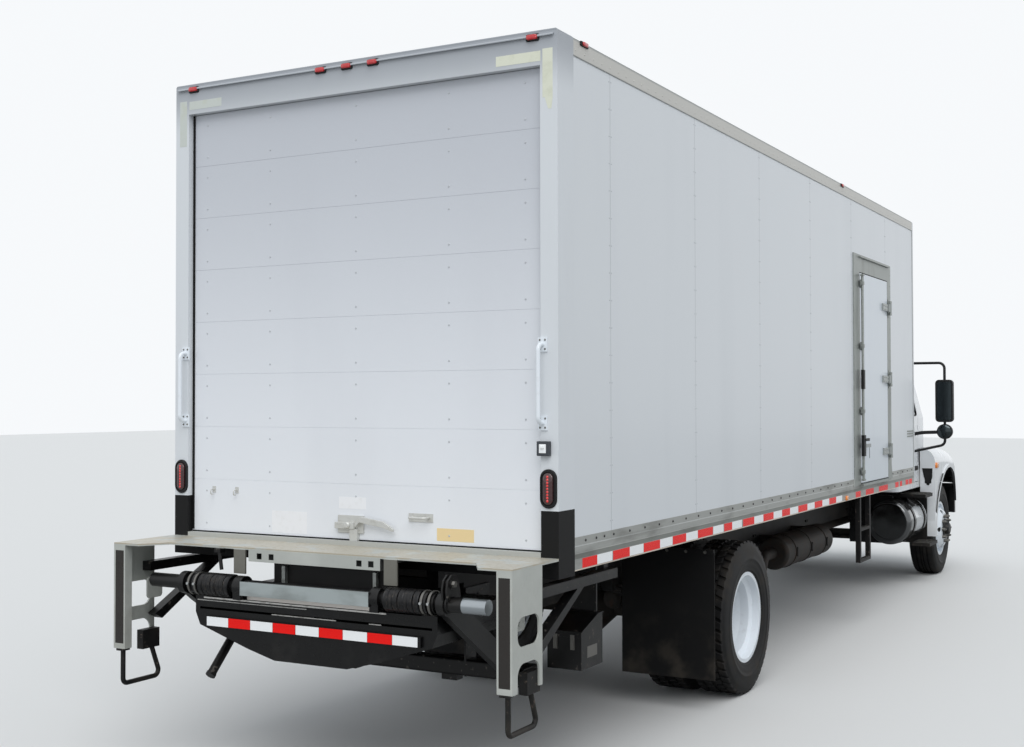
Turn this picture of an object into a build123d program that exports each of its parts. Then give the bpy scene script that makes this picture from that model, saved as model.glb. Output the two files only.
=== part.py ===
"""Box truck: conventional cab, 26 ft van body with a roll-up rear door and a
curbside door, and a tuck-under liftgate stowed beneath its deck plate.

Frame: +X forward, +Y to the vehicle's left, +Z up, origin on the ground at the
centre of the overall box. Distances called x below run forward from the body's
rear face, so REAR turns them into the vehicle's own X. Everything is in mm.
"""
from build123d import *
import os
from math import atan2, cos, degrees, hypot, pi, sin, sqrt

os.makedirs("parts", exist_ok=True)

# Running clearances between pieces
SEAT_GAP = 0.3
PIN_GAP = 0.4
DOOR_GAP = 8.0

# Layout along the truck
GATE_OVERHANG = 460.0
REAR_AXLE_X = 2860.0
BODY_LENGTH = 7925.0
CAB_GAP = 137.0
CAB_LENGTH = 1358.0
FRONT_AXLE_SETBACK = 1698.0
FRONT_OVERHANG = 1020.0
CAB_BACK_X = BODY_LENGTH + CAB_GAP
COWL_X = CAB_BACK_X + CAB_LENGTH
FRONT_AXLE_X = CAB_BACK_X + FRONT_AXLE_SETBACK
NOSE_X = FRONT_AXLE_X + FRONT_OVERHANG
REAR = GATE_OVERHANG - (GATE_OVERHANG + NOSE_X) / 2

# Wheels, 11 by 22.5 inch, single in front and twin behind
TYRE_RADIUS = 507.0
TYRE_WIDTH = 280.0
TREAD_WIDTH = 214.0
RIM_SEAT_RADIUS = 286.0
RIM_FLANGE_RADIUS = 300.0
RIM_WIDTH = 210.0
RIM_WALL = 10.0
WHEEL_OFFSET = 165.0
DISC_THICKNESS = 12.0
HUB_BORE_RADIUS = 110.0
HAND_HOLES = 5
HAND_HOLE_RADIUS = 27.0
HAND_HOLE_CIRCLE = 192.0
FRONT_TRACK = 1970.0
REAR_TRACK = 1780.0
KINGPIN_SPAN = 1580.0
KINGPIN_RADIUS = 19.0
SPINDLE_RADIUS = 40.0
REAR_SPINDLE_RADIUS = 45.0
DRUM_RADIUS = 200.0
STEERING_ARM = 190.0
TIE_ROD_Z = TYRE_RADIUS - 132.0

# Ladder frame
AXLE_TO_FRAME_TOP = 478.0
FRAME_RAIL_HEIGHT = 257.0
FRAME_RAIL_FLANGE = 78.0
FRAME_RAIL_WALL = 8.0
FRAME_WIDTH = 864.0
FRAME_REAR_X = 430.0
FRAME_TOP = TYRE_RADIUS + AXLE_TO_FRAME_TOP
FRAME_FRONT_X = NOSE_X - 180.0
LONG_SILL_WIDTH = 70.0
LONG_SILL_HEIGHT = 142.0
CROSS_MEMBER_LENGTH = 70.0
CROSS_MEMBER_HEIGHT = 127.0

# Van body
BODY_WIDTH = 2438.0
BODY_HEIGHT = 2528.0
FLOOR_THICKNESS = 35.0
CROSSMEMBER_HEIGHT = 60.0
CROSSMEMBER_WIDTH = 45.0
CROSSMEMBER_PITCH = 304.8
CROSSMEMBER_WALL = 6.0
WALL_THICKNESS = 20.0
RAIL_SKIN = 4.0
CROSSMEMBER_BOTTOM = FRAME_TOP + LONG_SILL_HEIGHT
FLOOR_BOTTOM = CROSSMEMBER_BOTTOM + CROSSMEMBER_HEIGHT
FLOOR_TOP = FLOOR_BOTTOM + FLOOR_THICKNESS
BODY_TOP = FLOOR_TOP + BODY_HEIGHT
LOWER_RAIL_BOTTOM = CROSSMEMBER_BOTTOM - 7.0
LOWER_RAIL_TOP = FLOOR_TOP + 62.0
UPPER_RAIL_HEIGHT = 95.0
UPPER_RAIL_FLANGE = 60.0
ROOF_THICKNESS = 25.0
ROOF_CROWN = 12.0
CORNER_POST_WIDTH = 70.0
CORNER_RADIUS = 35.0
FRONT_WALL_INSET = 25.0

# Rear frame and roll-up door
REAR_FRAME_DEPTH = 174.0
REAR_POST_WIDTH = 95.0
REAR_HEADER_HEIGHT = 170.0
REAR_SILL_HEIGHT = 122.0
REAR_OPENING_TOP = BODY_TOP - REAR_HEADER_HEIGHT
REAR_SILL_BOTTOM = FLOOR_TOP - REAR_SILL_HEIGHT
ROLL_DOOR_RECESS = 42.0
ROLL_DOOR_THICKNESS = 28.0
ROLL_DOOR_PANELS = 8
ROLL_DOOR_JOINT = 2.5
ROLL_DOOR_JOINT_DEPTH = 3.0

# Curbside door in the right wall
SIDE_DOOR_SETBACK = 1185.0
SIDE_DOOR_WIDTH = 1020.0
SIDE_DOOR_HEADROOM = 690.0
SIDE_DOOR_THICKNESS = 29.0
SIDE_DOOR_FRONT = BODY_LENGTH - SIDE_DOOR_SETBACK
SIDE_DOOR_REAR = SIDE_DOOR_FRONT - SIDE_DOOR_WIDTH
SIDE_DOOR_BOTTOM = FLOOR_TOP + 13.0
SIDE_DOOR_TOP = BODY_TOP - SIDE_DOOR_HEADROOM
SIDE_JAMB = 20.0
SIDE_POST_REAR_WIDTH = 190.0
SIDE_POST_FRONT_WIDTH = 130.0
SIDE_HEADER_HEIGHT = 150.0
SIDE_FLANGE = 6.0
SIDE_HINGE_END = 252.0
SIDE_HINGE_SETOFF = 34.0
SIDE_HINGE_PIN = 7.0

# Cab
CAB_WIDTH = 2030.0
CAB_HEIGHT = 1610.0
CAB_WALL = 50.0
CAB_FLOOR = FRAME_TOP + 25.0
CAB_ROOF = CAB_FLOOR + CAB_HEIGHT
CAB_BELT = CAB_FLOOR + 750.0
CAB_TUMBLEHOME = 110.0
CAB_CORNER = 110.0
COWL_TOP = CAB_BELT + 40.0
WINDSHIELD_RAKE = 410.0
WINDSHIELD_TOP_X = COWL_X - WINDSHIELD_RAKE
DOOR_WIDTH = 864.0
DOOR_REAR_X = CAB_BACK_X + 118.0
DOOR_FRONT_X = DOOR_REAR_X + DOOR_WIDTH
DOOR_BOTTOM = CAB_FLOOR + 60.0
DOOR_TOP = CAB_ROOF - 120.0
GLASS_THICKNESS = 6.0
GLASS_INSET = 20.0

# Hood, fenders and bumper
HOOD_SKIN = 12.0
HOOD_REAR_X = COWL_X + 20.0
HOOD_FRONT_X = NOSE_X - 140.0
FENDER_REAR_X = DOOR_FRONT_X + 20.0
FENDER_LEG_BOTTOM = TYRE_RADIUS - 27.0
FENDER_LEG_WIDTH = 85.0
ARCH_RADIUS = 672.0
ARCH_RISE = 20.0
ARCH_LIP = 14.0
BUMPER_HEIGHT = 310.0
BUMPER_TOP = FRAME_TOP - 55.0
BUMPER_BOTTOM = BUMPER_TOP - BUMPER_HEIGHT
HOOD_HINGE_X = NOSE_X - 145.0
HOOD_HINGE_Z = BUMPER_TOP - 15.0

# Liftgate
DECK_TOP = FLOOR_TOP - 22.0
DECK_THICKNESS = 12.0
DECK_MIDDLE = 320.0
GATE_POST_THICKNESS = 10.0
GATE_POST_WIDTH = 81.0
GATE_POST_FRONT_X = -170.0
GATE_POST_HEIGHT = 563.0
ARM_PIVOT_X = 360.0
ARM_PIVOT_Z = 530.0
ARM_EYE_X = -350.0
ARM_EYE_Z = 1002.0
ARM_Y = 800.0
ARM_THICKNESS = 40.0
ARM_DEPTH = 110.0
MAIN_TUBE_SIZE = 90.0
GATE_TUBE_RADIUS = 37.0
PLATFORM_HALF_WIDTH = 750.0
PLATFORM_HEIGHT = 305.0
PLATFORM_DROP = 57.0
PLATFORM_LENGTH = 670.0

HALF_WIDTH = BODY_WIDTH / 2
FRAME_BOTTOM = FRAME_TOP - FRAME_RAIL_HEIGHT
WALL_OUTER = HALF_WIDTH - RAIL_SKIN
WALL_INNER = WALL_OUTER - WALL_THICKNESS
AXLE_Z = TYRE_RADIUS
FRONT_WHEEL_Y = FRONT_TRACK / 2
DUAL_PLANE_Y = REAR_TRACK / 2
KINGPIN_Y = KINGPIN_SPAN / 2


def save(node, *solids):
    """Write one named piece, made of one or more separate solids."""
    flat = []
    for solid in solids:
        flat.extend(solid.solids())
    shape = flat[0] if len(flat) == 1 else Compound(children=flat)
    export_step(shape, f"parts/{node}.step")


def block(x0, x1, y0, y1, z0, z1):
    """Box between two corners, x measured forward from the body's rear face."""
    centre = (REAR + (x0 + x1) / 2, (y0 + y1) / 2, (z0 + z1) / 2)
    return Pos(*centre) * Box(x1 - x0, y1 - y0, z1 - z0)


def rect(u0, u1, v0, v1, radius=0.0):
    """Rectangle between two corners of a profile plane."""
    centre = Pos((u0 + u1) / 2, (v0 + v1) / 2)
    if radius:
        return centre * RectangleRounded(u1 - u0, v1 - v0, radius)
    return centre * Rectangle(u1 - u0, v1 - v0)


def outline(points, radius=0.0):
    """Closed polygon, all corners rounded alike."""
    face = Polygon(*points, align=None)
    if radius:
        face = fillet(face.vertices(), radius)
    return face


def along_x(profile, x0, x1):
    """Extrude a (y, z) profile from x0 to x1."""
    return extrude(Plane.YZ.offset(REAR + x0) * profile, x1 - x0, dir=(1, 0, 0))


def along_y(profile, y0, y1):
    """Extrude an (x, z) profile from y0 to y1."""
    return Pos(REAR, 0, 0) * extrude(Plane.XZ.offset(-y1) * profile, y1 - y0, dir=(0, -1, 0))


def along_z(profile, z0, z1):
    """Extrude an (x, y) profile from z0 to z1."""
    return Pos(REAR, 0, z0) * extrude(profile, z1 - z0, dir=(0, 0, 1))


def rod(start, end, radius):
    """Round bar between two points, x from the body's rear face."""
    a = Vector(REAR + start[0], start[1], start[2])
    b = Vector(REAR + end[0], end[1], end[2])
    plane = Plane(origin=a, z_dir=b - a)
    return extrude(plane * Circle(radius), (b - a).length)


def bent_bar(points, radius, bend):
    """Round bar that follows a route with equal bends."""
    route = FilletPolyline(*[(REAR + x, y, z) for x, y, z in points], radius=bend)
    return sweep((route ^ 0) * Circle(radius), path=route)


def turned(profile_points, x, z):
    """Revolve (y, radius) points about the line through (x, z) along Y."""
    face = Polygon(*profile_points, align=None)
    spun = revolve(Plane.XY * face, Axis.X)
    return Pos(REAR + x, 0, z) * Rot(0, 0, 90) * spun


def mirrored(solid):
    """The other side's twin."""
    return mirror(solid, about=Plane.XZ)


# Wheels: profiles are (y, radius) from the wheel's own centre, outboard positive

def tyre_at(x, y):
    half = TYRE_WIDTH / 2
    tread = TREAD_WIDTH / 2
    bead = RIM_WIDTH / 2 - SEAT_GAP
    lip = RIM_WIDTH / 2 + 12
    seat = RIM_SEAT_RADIUS + SEAT_GAP
    rim_edge = RIM_FLANGE_RADIUS + SEAT_GAP
    shoulder = TYRE_RADIUS - 14
    side = (TYRE_RADIUS + RIM_SEAT_RADIUS) / 2
    with BuildSketch() as section:
        with BuildLine():
            Polyline((-lip, rim_edge), (-bead, rim_edge), (-bead, seat), (bead, seat), (bead, rim_edge),
                     (lip, rim_edge))
            ThreePointArc((lip, rim_edge), (half, side), (tread + 14, shoulder))
            Polyline((tread + 14, shoulder), (tread - 12, TYRE_RADIUS), (12 - tread, TYRE_RADIUS),
                     (-tread - 14, shoulder))
            ThreePointArc((-tread - 14, shoulder), (-half, side), (-lip, rim_edge))
        make_face()
    spun = revolve(section.sketch, Axis.X)
    return Pos(REAR + x, y, AXLE_Z) * Rot(0, 0, 90) * spun


def rim_at(x, y, disc_side):
    """Steel rim and bell-shaped disc; disc_side is +1 where the disc stands outboard."""
    half = RIM_WIDTH / 2
    well = RIM_SEAT_RADIUS - 34
    lip = half + 12
    offset = WHEEL_OFFSET
    inner = offset - DISC_THICKNESS
    points = [
        (lip, RIM_FLANGE_RADIUS), (half, RIM_FLANGE_RADIUS), (half, RIM_SEAT_RADIUS),
        (half - 45, RIM_SEAT_RADIUS), (half - 60, well), (60 - half, well),
        (45 - half, RIM_SEAT_RADIUS), (-half, RIM_SEAT_RADIUS), (-half, RIM_FLANGE_RADIUS),
        (-lip, RIM_FLANGE_RADIUS), (-lip, RIM_SEAT_RADIUS - RIM_WALL),
        (40 - half, RIM_SEAT_RADIUS - RIM_WALL), (55 - half, well - RIM_WALL),
        (10, well - RIM_WALL), (inner - 45, 214), (inner - 8, 185), (inner, 168),
        (inner, HUB_BORE_RADIUS), (offset, HUB_BORE_RADIUS), (offset, 172), (offset - 8, 192),
        (offset - 42, 226), (half - 52, well - RIM_WALL), (half - 40, RIM_SEAT_RADIUS - RIM_WALL),
        (lip, RIM_SEAT_RADIUS - RIM_WALL),
    ]
    face = Polygon(*points, align=None)
    spun = revolve(face, Axis.X)
    for hole in range(HAND_HOLES):
        angle = 360 * hole / HAND_HOLES
        cutter = Rot(angle, 0, 0) * Pos(inner - 30, HAND_HOLE_CIRCLE, 0) * Rot(0, 90, 0)
        spun -= cutter * Cylinder(HAND_HOLE_RADIUS, 120)
    turn = Rot(0, 0, 90) if disc_side > 0 else Rot(0, 0, -90)
    return Pos(REAR + x, y, AXLE_Z) * turn * spun


def place_turned(points, x):
    """Revolve a hub profile given as (y from the centre line, radius)."""
    return turned(points, x, AXLE_Z)


def front_hub():
    face_y = FRONT_WHEEL_Y + WHEEL_OFFSET
    back_y = face_y - DISC_THICKNESS - SEAT_GAP
    bore = SPINDLE_RADIUS + PIN_GAP
    pilot = HUB_BORE_RADIUS - SEAT_GAP
    drum_open = FRONT_WHEEL_Y - 95
    points = [
        (KINGPIN_Y + 85, bore), (face_y + 20, bore), (face_y + 20, 0), (face_y + 62, 0), (face_y + 62, 48),
        (face_y + 54, 62), (face_y + 14, 66), (face_y + 14, pilot - 4), (face_y + 6, pilot),
        (back_y, pilot), (back_y, 168), (back_y - 16, 172), (back_y - 50, DRUM_RADIUS),
        (drum_open, DRUM_RADIUS), (drum_open, DRUM_RADIUS - 16), (back_y - 54, DRUM_RADIUS - 16),
        (back_y - 34, 150), (back_y - 30, 78), (KINGPIN_Y + 85, 70),
    ]
    return place_turned(points, FRONT_AXLE_X)


def rear_hub():
    back_y = DUAL_PLANE_Y - DISC_THICKNESS - SEAT_GAP
    bore = REAR_SPINDLE_RADIUS + PIN_GAP
    pilot = HUB_BORE_RADIUS - SEAT_GAP
    drum_open = DUAL_PLANE_Y - 245
    points = [
        (drum_open + 30, bore), (DUAL_PLANE_Y + 105, bore), (DUAL_PLANE_Y + 105, 0), (DUAL_PLANE_Y + 150, 0),
        (DUAL_PLANE_Y + 150, 52), (DUAL_PLANE_Y + 132, 60), (DUAL_PLANE_Y + 124, 98),
              (DUAL_PLANE_Y + 108, 98),
        (DUAL_PLANE_Y + 100, 78), (DUAL_PLANE_Y + 34, 88), (DUAL_PLANE_Y + 26, pilot), (back_y, pilot),
        (back_y, 168), (back_y - 18, 172), (back_y - 50, DRUM_RADIUS), (drum_open, DRUM_RADIUS),
        (drum_open, DRUM_RADIUS - 16), (back_y - 54, DRUM_RADIUS - 16), (back_y - 34, 150),
        (back_y - 30, 82), (drum_open + 30, 76),
    ]
    return place_turned(points, REAR_AXLE_X)


front_tyre = tyre_at(FRONT_AXLE_X, FRONT_WHEEL_Y)
front_rim = rim_at(FRONT_AXLE_X, FRONT_WHEEL_Y, 1)
outer_y = DUAL_PLANE_Y + WHEEL_OFFSET
inner_y = DUAL_PLANE_Y - WHEEL_OFFSET
rear_tyres = [tyre_at(REAR_AXLE_X, outer_y), tyre_at(REAR_AXLE_X, inner_y)]
rear_rims = [rim_at(REAR_AXLE_X, outer_y, -1), rim_at(REAR_AXLE_X, inner_y, 1)]
left_wheels = {
    "tyre_front": [front_tyre],
    "rim_front": [front_rim],
    "hub_front": [front_hub()],
    "tyres_rear": rear_tyres,
    "rims_rear": rear_rims,
    "hub_rear": [rear_hub()],
}
for name, solids in left_wheels.items():
    save(f"{name}_left", *solids)
    save(f"{name}_right", *[mirrored(solid) for solid in solids])


# Steering knuckles, tie rod and front axle

LUG_LOW = 46.0
LUG_HIGH = 82.0
LUG_RADIUS = 42.0
AXLE_EYE_RADIUS = 44.0
AXLE_EYE_HALF = 41.0


def knuckle():
    pin = rod((FRONT_AXLE_X, KINGPIN_Y, AXLE_Z - LUG_HIGH), (FRONT_AXLE_X, KINGPIN_Y, AXLE_Z + LUG_HIGH),
              KINGPIN_RADIUS)
    plate_y = KINGPIN_Y + AXLE_EYE_RADIUS + 8
    body = pin + block(FRONT_AXLE_X - LUG_RADIUS, FRONT_AXLE_X + LUG_RADIUS, plate_y, plate_y + 26,
                       AXLE_Z - LUG_HIGH, AXLE_Z + LUG_HIGH)
    for low, high in ((-LUG_HIGH, -LUG_LOW), (LUG_LOW, LUG_HIGH)):
        body += rod((FRONT_AXLE_X, KINGPIN_Y, AXLE_Z + low), (FRONT_AXLE_X, KINGPIN_Y, AXLE_Z + high),
                    LUG_RADIUS)
        body += block(FRONT_AXLE_X - LUG_RADIUS, FRONT_AXLE_X + LUG_RADIUS, KINGPIN_Y, plate_y + 4,
                      AXLE_Z + low, AXLE_Z + high)
    spindle_end = FRONT_WHEEL_Y + WHEEL_OFFSET + 10
    body += rod((FRONT_AXLE_X, plate_y + 20, AXLE_Z), (FRONT_AXLE_X, spindle_end, AXLE_Z), SPINDLE_RADIUS)
    arm_x = FRONT_AXLE_X - STEERING_ARM
    arm_low = AXLE_Z - LUG_HIGH - 20
    arm_high = AXLE_Z - LUG_LOW - 10
    arm = block(arm_x, FRONT_AXLE_X, KINGPIN_Y - 22, KINGPIN_Y + 22, arm_low, arm_high)
    arm += rod((arm_x, KINGPIN_Y, arm_low), (arm_x, KINGPIN_Y, arm_high), 30)
    arm -= rod((arm_x, KINGPIN_Y, arm_low - 5), (arm_x, KINGPIN_Y, arm_high + 5), 12 + PIN_GAP)
    return body + arm


knuckle_left = knuckle()
save("knuckle_left", knuckle_left)
save("knuckle_right", mirrored(knuckle_left))

tie_rod_x = FRONT_AXLE_X - STEERING_ARM
tie_rod = rod((tie_rod_x, -KINGPIN_Y, TIE_ROD_Z), (tie_rod_x, KINGPIN_Y, TIE_ROD_Z), 18)
for side in (-1, 1):
    end_y = side * KINGPIN_Y
    tie_rod += rod((tie_rod_x, end_y, TIE_ROD_Z - 20), (tie_rod_x, end_y, TIE_ROD_Z + 24), 27)
    tie_rod += rod((tie_rod_x, end_y, TIE_ROD_Z), (tie_rod_x, end_y, AXLE_Z - LUG_LOW - 6), 12)
save("tie_rod", tie_rod)

BEAM_TOP = AXLE_Z - 55.0
BEAM_BOTTOM = AXLE_Z - 155.0
beam_profile = outline([
    (-745, AXLE_Z + 38), (-640, AXLE_Z + 5), (-560, BEAM_TOP), (560, BEAM_TOP), (640, AXLE_Z + 5),
    (745, AXLE_Z + 38), (745, AXLE_Z - 38), (660, AXLE_Z - 60), (575, BEAM_BOTTOM), (-575, BEAM_BOTTOM),
    (-660, AXLE_Z - 60), (-745, AXLE_Z - 38),
])
front_axle = along_x(beam_profile, FRONT_AXLE_X - 45, FRONT_AXLE_X + 45)
for face_x in (FRONT_AXLE_X - 45, FRONT_AXLE_X + 20):
    front_axle -= block(face_x, face_x + 25, -540, 540, BEAM_BOTTOM + 18, BEAM_TOP - 18)
for side in (-1, 1):
    eye_y = side * KINGPIN_Y
    front_axle += rod((FRONT_AXLE_X, eye_y, AXLE_Z - AXLE_EYE_HALF),
                      (FRONT_AXLE_X, eye_y, AXLE_Z + AXLE_EYE_HALF),
                      AXLE_EYE_RADIUS)
    front_axle += block(FRONT_AXLE_X - 34, FRONT_AXLE_X + 34, min(side * 735, eye_y), max(side * 735, eye_y),
                        AXLE_Z - 38, AXLE_Z + 38)
for side in (-1, 1):
    eye_y = side * KINGPIN_Y
    front_axle -= rod((FRONT_AXLE_X, eye_y, AXLE_Z - LUG_HIGH), (FRONT_AXLE_X, eye_y, AXLE_Z + LUG_HIGH),
                      KINGPIN_RADIUS + PIN_GAP)
save("front_axle", front_axle)

# Rear axle: banjo housing, tubes and spindles

TUBE_RADIUS = 62.0
BANJO_RADIUS = 205.0
drum_inner_y = DUAL_PLANE_Y - 245
rear_axle = rod((REAR_AXLE_X, -drum_inner_y - 20, AXLE_Z), (REAR_AXLE_X, drum_inner_y + 20, AXLE_Z),
                TUBE_RADIUS)
rear_axle += rod((REAR_AXLE_X, -DUAL_PLANE_Y - 95, AXLE_Z), (REAR_AXLE_X, DUAL_PLANE_Y + 95, AXLE_Z),
                 REAR_SPINDLE_RADIUS)
banjo = [(0, -230), (TUBE_RADIUS - 4, -230), (BANJO_RADIUS - 40, -110), (BANJO_RADIUS, -60),
         (BANJO_RADIUS, 60), (BANJO_RADIUS - 40, 110), (TUBE_RADIUS - 4, 230), (0, 230)]
rear_axle += turned([(y, r) for r, y in banjo], REAR_AXLE_X, AXLE_Z)
PINION_X = REAR_AXLE_X + 330
PINION_Z = AXLE_Z + 20
rear_axle += rod((REAR_AXLE_X, 0, PINION_Z), (PINION_X, 0, PINION_Z), 72)
for side in (-1, 1):
    backing_y = side * (drum_inner_y + 8)
    rear_axle += rod((REAR_AXLE_X, backing_y, AXLE_Z), (REAR_AXLE_X, backing_y + side * 10, AXLE_Z),
                     DRUM_RADIUS - 22)
# Spring brake chambers behind the housing, each a pair of clamped cans on a bracket
CHAMBER_Y = 315.0
CHAMBER_Z = AXLE_Z + 95
CHAMBER_RADIUS = 74.0
chamber_profile = [(0, 0), (0, 40), (14, CHAMBER_RADIUS - 8), (78, CHAMBER_RADIUS - 4), (82, CHAMBER_RADIUS),
                   (94, CHAMBER_RADIUS), (98, CHAMBER_RADIUS - 4), (158, CHAMBER_RADIUS - 8), (176, 44),
                   (176, 0)]
for side in (-1, 1):
    can = revolve(Polygon(*chamber_profile, align=None), Axis.X)
    rear_axle += Pos(REAR + REAR_AXLE_X - 290, side * CHAMBER_Y, CHAMBER_Z) * can
    rear_axle += block(REAR_AXLE_X - 122, REAR_AXLE_X - 20, side * CHAMBER_Y - 30, side * CHAMBER_Y + 30,
                       AXLE_Z + TUBE_RADIUS - 12, AXLE_Z + TUBE_RADIUS + 40)
save("rear_axle", rear_axle)


# Leaf springs, each pack fused with its hangers

def leaf_pack(x, y, width, base_z, leaves, leaf_thickness, half_length, radius, hanger_top):
    """Nested leaves on one arc centre, the longest on top, with a hanger at each end."""
    pack = None
    for index in range(leaves):
        share = 1 - 0.16 * (leaves - 1 - index)
        reach = half_length * share
        low = radius - index * leaf_thickness
        high = low - leaf_thickness
        centre_z = base_z + radius
        low_z = centre_z - sqrt(low ** 2 - reach ** 2)
        high_z = centre_z - sqrt(high ** 2 - reach ** 2)
        with BuildSketch() as leaf:
            with BuildLine():
                ThreePointArc((x - reach, low_z), (x, centre_z - low), (x + reach, low_z))
                Line((x + reach, low_z), (x + reach, high_z))
                ThreePointArc((x + reach, high_z), (x, centre_z - high), (x - reach, high_z))
                Line((x - reach, high_z), (x - reach, low_z))
            make_face()
        solid = along_y(leaf.sketch, y - width / 2, y + width / 2)
        pack = solid if pack is None else pack + solid
        end_z = (low_z + high_z) / 2
    for end in (-1, 1):
        eye_x = x + end * half_length
        pack += rod((eye_x, y - width / 2, end_z), (eye_x, y + width / 2, end_z), 28)
        pack += block(eye_x - 30, eye_x + 30, y - width / 2, y + width / 2, end_z, hanger_top)
    return pack


FRONT_SPRING_Y = FRAME_WIDTH / 2
SPRING_WIDTH = 76.0
REAR_SPRING_Y = FRAME_WIDTH / 2 + 52
FRONT_SPRING_HALF = 640.0
REAR_SPRING_HALF = 700.0
rail_outer = FRAME_WIDTH / 2
rail_inner = rail_outer - FRAME_RAIL_FLANGE
front_pack = leaf_pack(FRONT_AXLE_X, FRONT_SPRING_Y, SPRING_WIDTH, BEAM_TOP, 3, 14, FRONT_SPRING_HALF, 1900,
                       FRAME_BOTTOM)
# Shock absorber between a foot on the spring seat and a bracket on the rail's web
SHOCK_X = FRONT_AXLE_X + 110
SHOCK_Y = rail_outer + 70
front_pack += block(SHOCK_X - 30, SHOCK_X + 30, FRONT_SPRING_Y, SHOCK_Y, BEAM_TOP + 8, BEAM_TOP + 34)
front_pack += rod((SHOCK_X, SHOCK_Y, BEAM_TOP + 10), (SHOCK_X, SHOCK_Y, FRAME_BOTTOM - 60), 28)
front_pack += rod((SHOCK_X, SHOCK_Y, FRAME_BOTTOM - 110), (SHOCK_X, SHOCK_Y, FRAME_BOTTOM + 90), 36)
front_pack += block(SHOCK_X - 34, SHOCK_X + 34, rail_outer + SEAT_GAP, SHOCK_Y + 30, FRAME_BOTTOM + 84,
                    FRAME_BOTTOM + 110)
rear_base = AXLE_Z + TUBE_RADIUS + 20
rear_pack = leaf_pack(REAR_AXLE_X, REAR_SPRING_Y, SPRING_WIDTH, rear_base, 5, 14, REAR_SPRING_HALF, 2600,
                      FRAME_BOTTOM + 120)
rear_outer = REAR_SPRING_Y + SPRING_WIDTH / 2
rear_pack += block(REAR_AXLE_X - 60, REAR_AXLE_X + 60, REAR_SPRING_Y - SPRING_WIDTH / 2, rear_outer,
                   AXLE_Z + TUBE_RADIUS - 2, rear_base + 1) - rod(
    (REAR_AXLE_X, 0, AXLE_Z), (REAR_AXLE_X, rear_outer + 5, AXLE_Z), TUBE_RADIUS + SEAT_GAP)
for end in (-1, 1):
    hanger_x = REAR_AXLE_X + end * REAR_SPRING_HALF
    rear_pack += block(hanger_x - 30, hanger_x + 30, rail_outer, rear_outer,
                       FRAME_BOTTOM + 20, FRAME_BOTTOM + 120)
save("springs", front_pack, mirrored(front_pack), rear_pack, mirrored(rear_pack))

# Ladder frame: two channel rails and crossmembers between them

rail_profile = outline([
    (rail_inner, FRAME_BOTTOM), (rail_outer, FRAME_BOTTOM), (rail_outer, FRAME_TOP), (rail_inner, FRAME_TOP),
    (rail_inner, FRAME_TOP - FRAME_RAIL_WALL), (rail_outer - FRAME_RAIL_WALL, FRAME_TOP - FRAME_RAIL_WALL),
    (rail_outer - FRAME_RAIL_WALL, FRAME_BOTTOM + FRAME_RAIL_WALL),
                        (rail_inner, FRAME_BOTTOM + FRAME_RAIL_WALL),
])
frame_rail = along_x(rail_profile, FRAME_REAR_X, FRAME_FRONT_X)
frame_solids = [frame_rail, mirrored(frame_rail)]
web_y = rail_outer - FRAME_RAIL_WALL
member_top = FRAME_TOP - FRAME_RAIL_WALL
member_bottom = member_top - CROSS_MEMBER_HEIGHT
# Crossmembers at the frame's rear, ahead of and behind the rear axle, at the two shaft bearings and at the cab
FIRST_BEARING_X = CAB_BACK_X - 1312
SECOND_BEARING_X = REAR_AXLE_X + 2340
CROSS_MEMBERS = (FRAME_REAR_X + 70, REAR_AXLE_X - 760, REAR_AXLE_X + 790, SECOND_BEARING_X, FIRST_BEARING_X,
                 CAB_BACK_X + 188)
for member_x in CROSS_MEMBERS:
    member = block(member_x, member_x + CROSS_MEMBER_LENGTH, -web_y, web_y, member_bottom, member_top)
    member -= block(member_x + 8, member_x + CROSS_MEMBER_LENGTH + 1, -web_y - 1, web_y + 1,
                    member_bottom + 8,
                    member_top - 8)
    frame_solids.append(member)
save("frame_rails", *frame_solids)

# Engine mass, gearbox with driveshaft, and radiator

ENGINE_LENGTH = 790.0
ENGINE_HEIGHT = 700.0
GEARBOX_LENGTH = 940.0
engine_rear = COWL_X + 20
engine_bottom = FRAME_BOTTOM + 12
engine_top = engine_bottom + ENGINE_HEIGHT
save("engine_block", block(engine_rear, engine_rear + ENGINE_LENGTH, -rail_inner, rail_inner, engine_bottom,
                           engine_top))
gearbox_rear = engine_rear - GEARBOX_LENGTH
shaft_z = FRAME_BOTTOM + 72
SHAFT_RADIUS = 45.0
BEARING_HALF = 25.0
gearbox = block(gearbox_rear, engine_rear, -190, 190, FRAME_BOTTOM - 38, FRAME_TOP - 25)
gearbox += rod((gearbox_rear - 60, 0, shaft_z), (gearbox_rear, 0, shaft_z), 60)
bearing_z = shaft_z - 12
bearing_shift = CROSS_MEMBER_LENGTH / 2
shaft_bends = ((gearbox_rear - 60, shaft_z), (FIRST_BEARING_X + bearing_shift, bearing_z),
               (SECOND_BEARING_X + bearing_shift, bearing_z), (PINION_X + 40, PINION_Z))
drive_solids = gearbox
for (front_x, front_z), (back_x, back_z) in zip(shaft_bends, shaft_bends[1:]):
    drive_solids += rod((front_x + 2, 0, front_z), (back_x - 2, 0, back_z), SHAFT_RADIUS)
for bearing_x, bearing_low in shaft_bends[1:3]:
    drive_solids += rod((bearing_x - BEARING_HALF, 0, bearing_low),
                        (bearing_x + BEARING_HALF, 0, bearing_low),
                        member_bottom - bearing_low)
drive_solids += rod((PINION_X, 0, PINION_Z), (PINION_X + 60, 0, PINION_Z), 56)
save("driveline", drive_solids)
RADIATOR_DEPTH = 90.0
radiator_rear = engine_rear + ENGINE_LENGTH + 80
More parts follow.
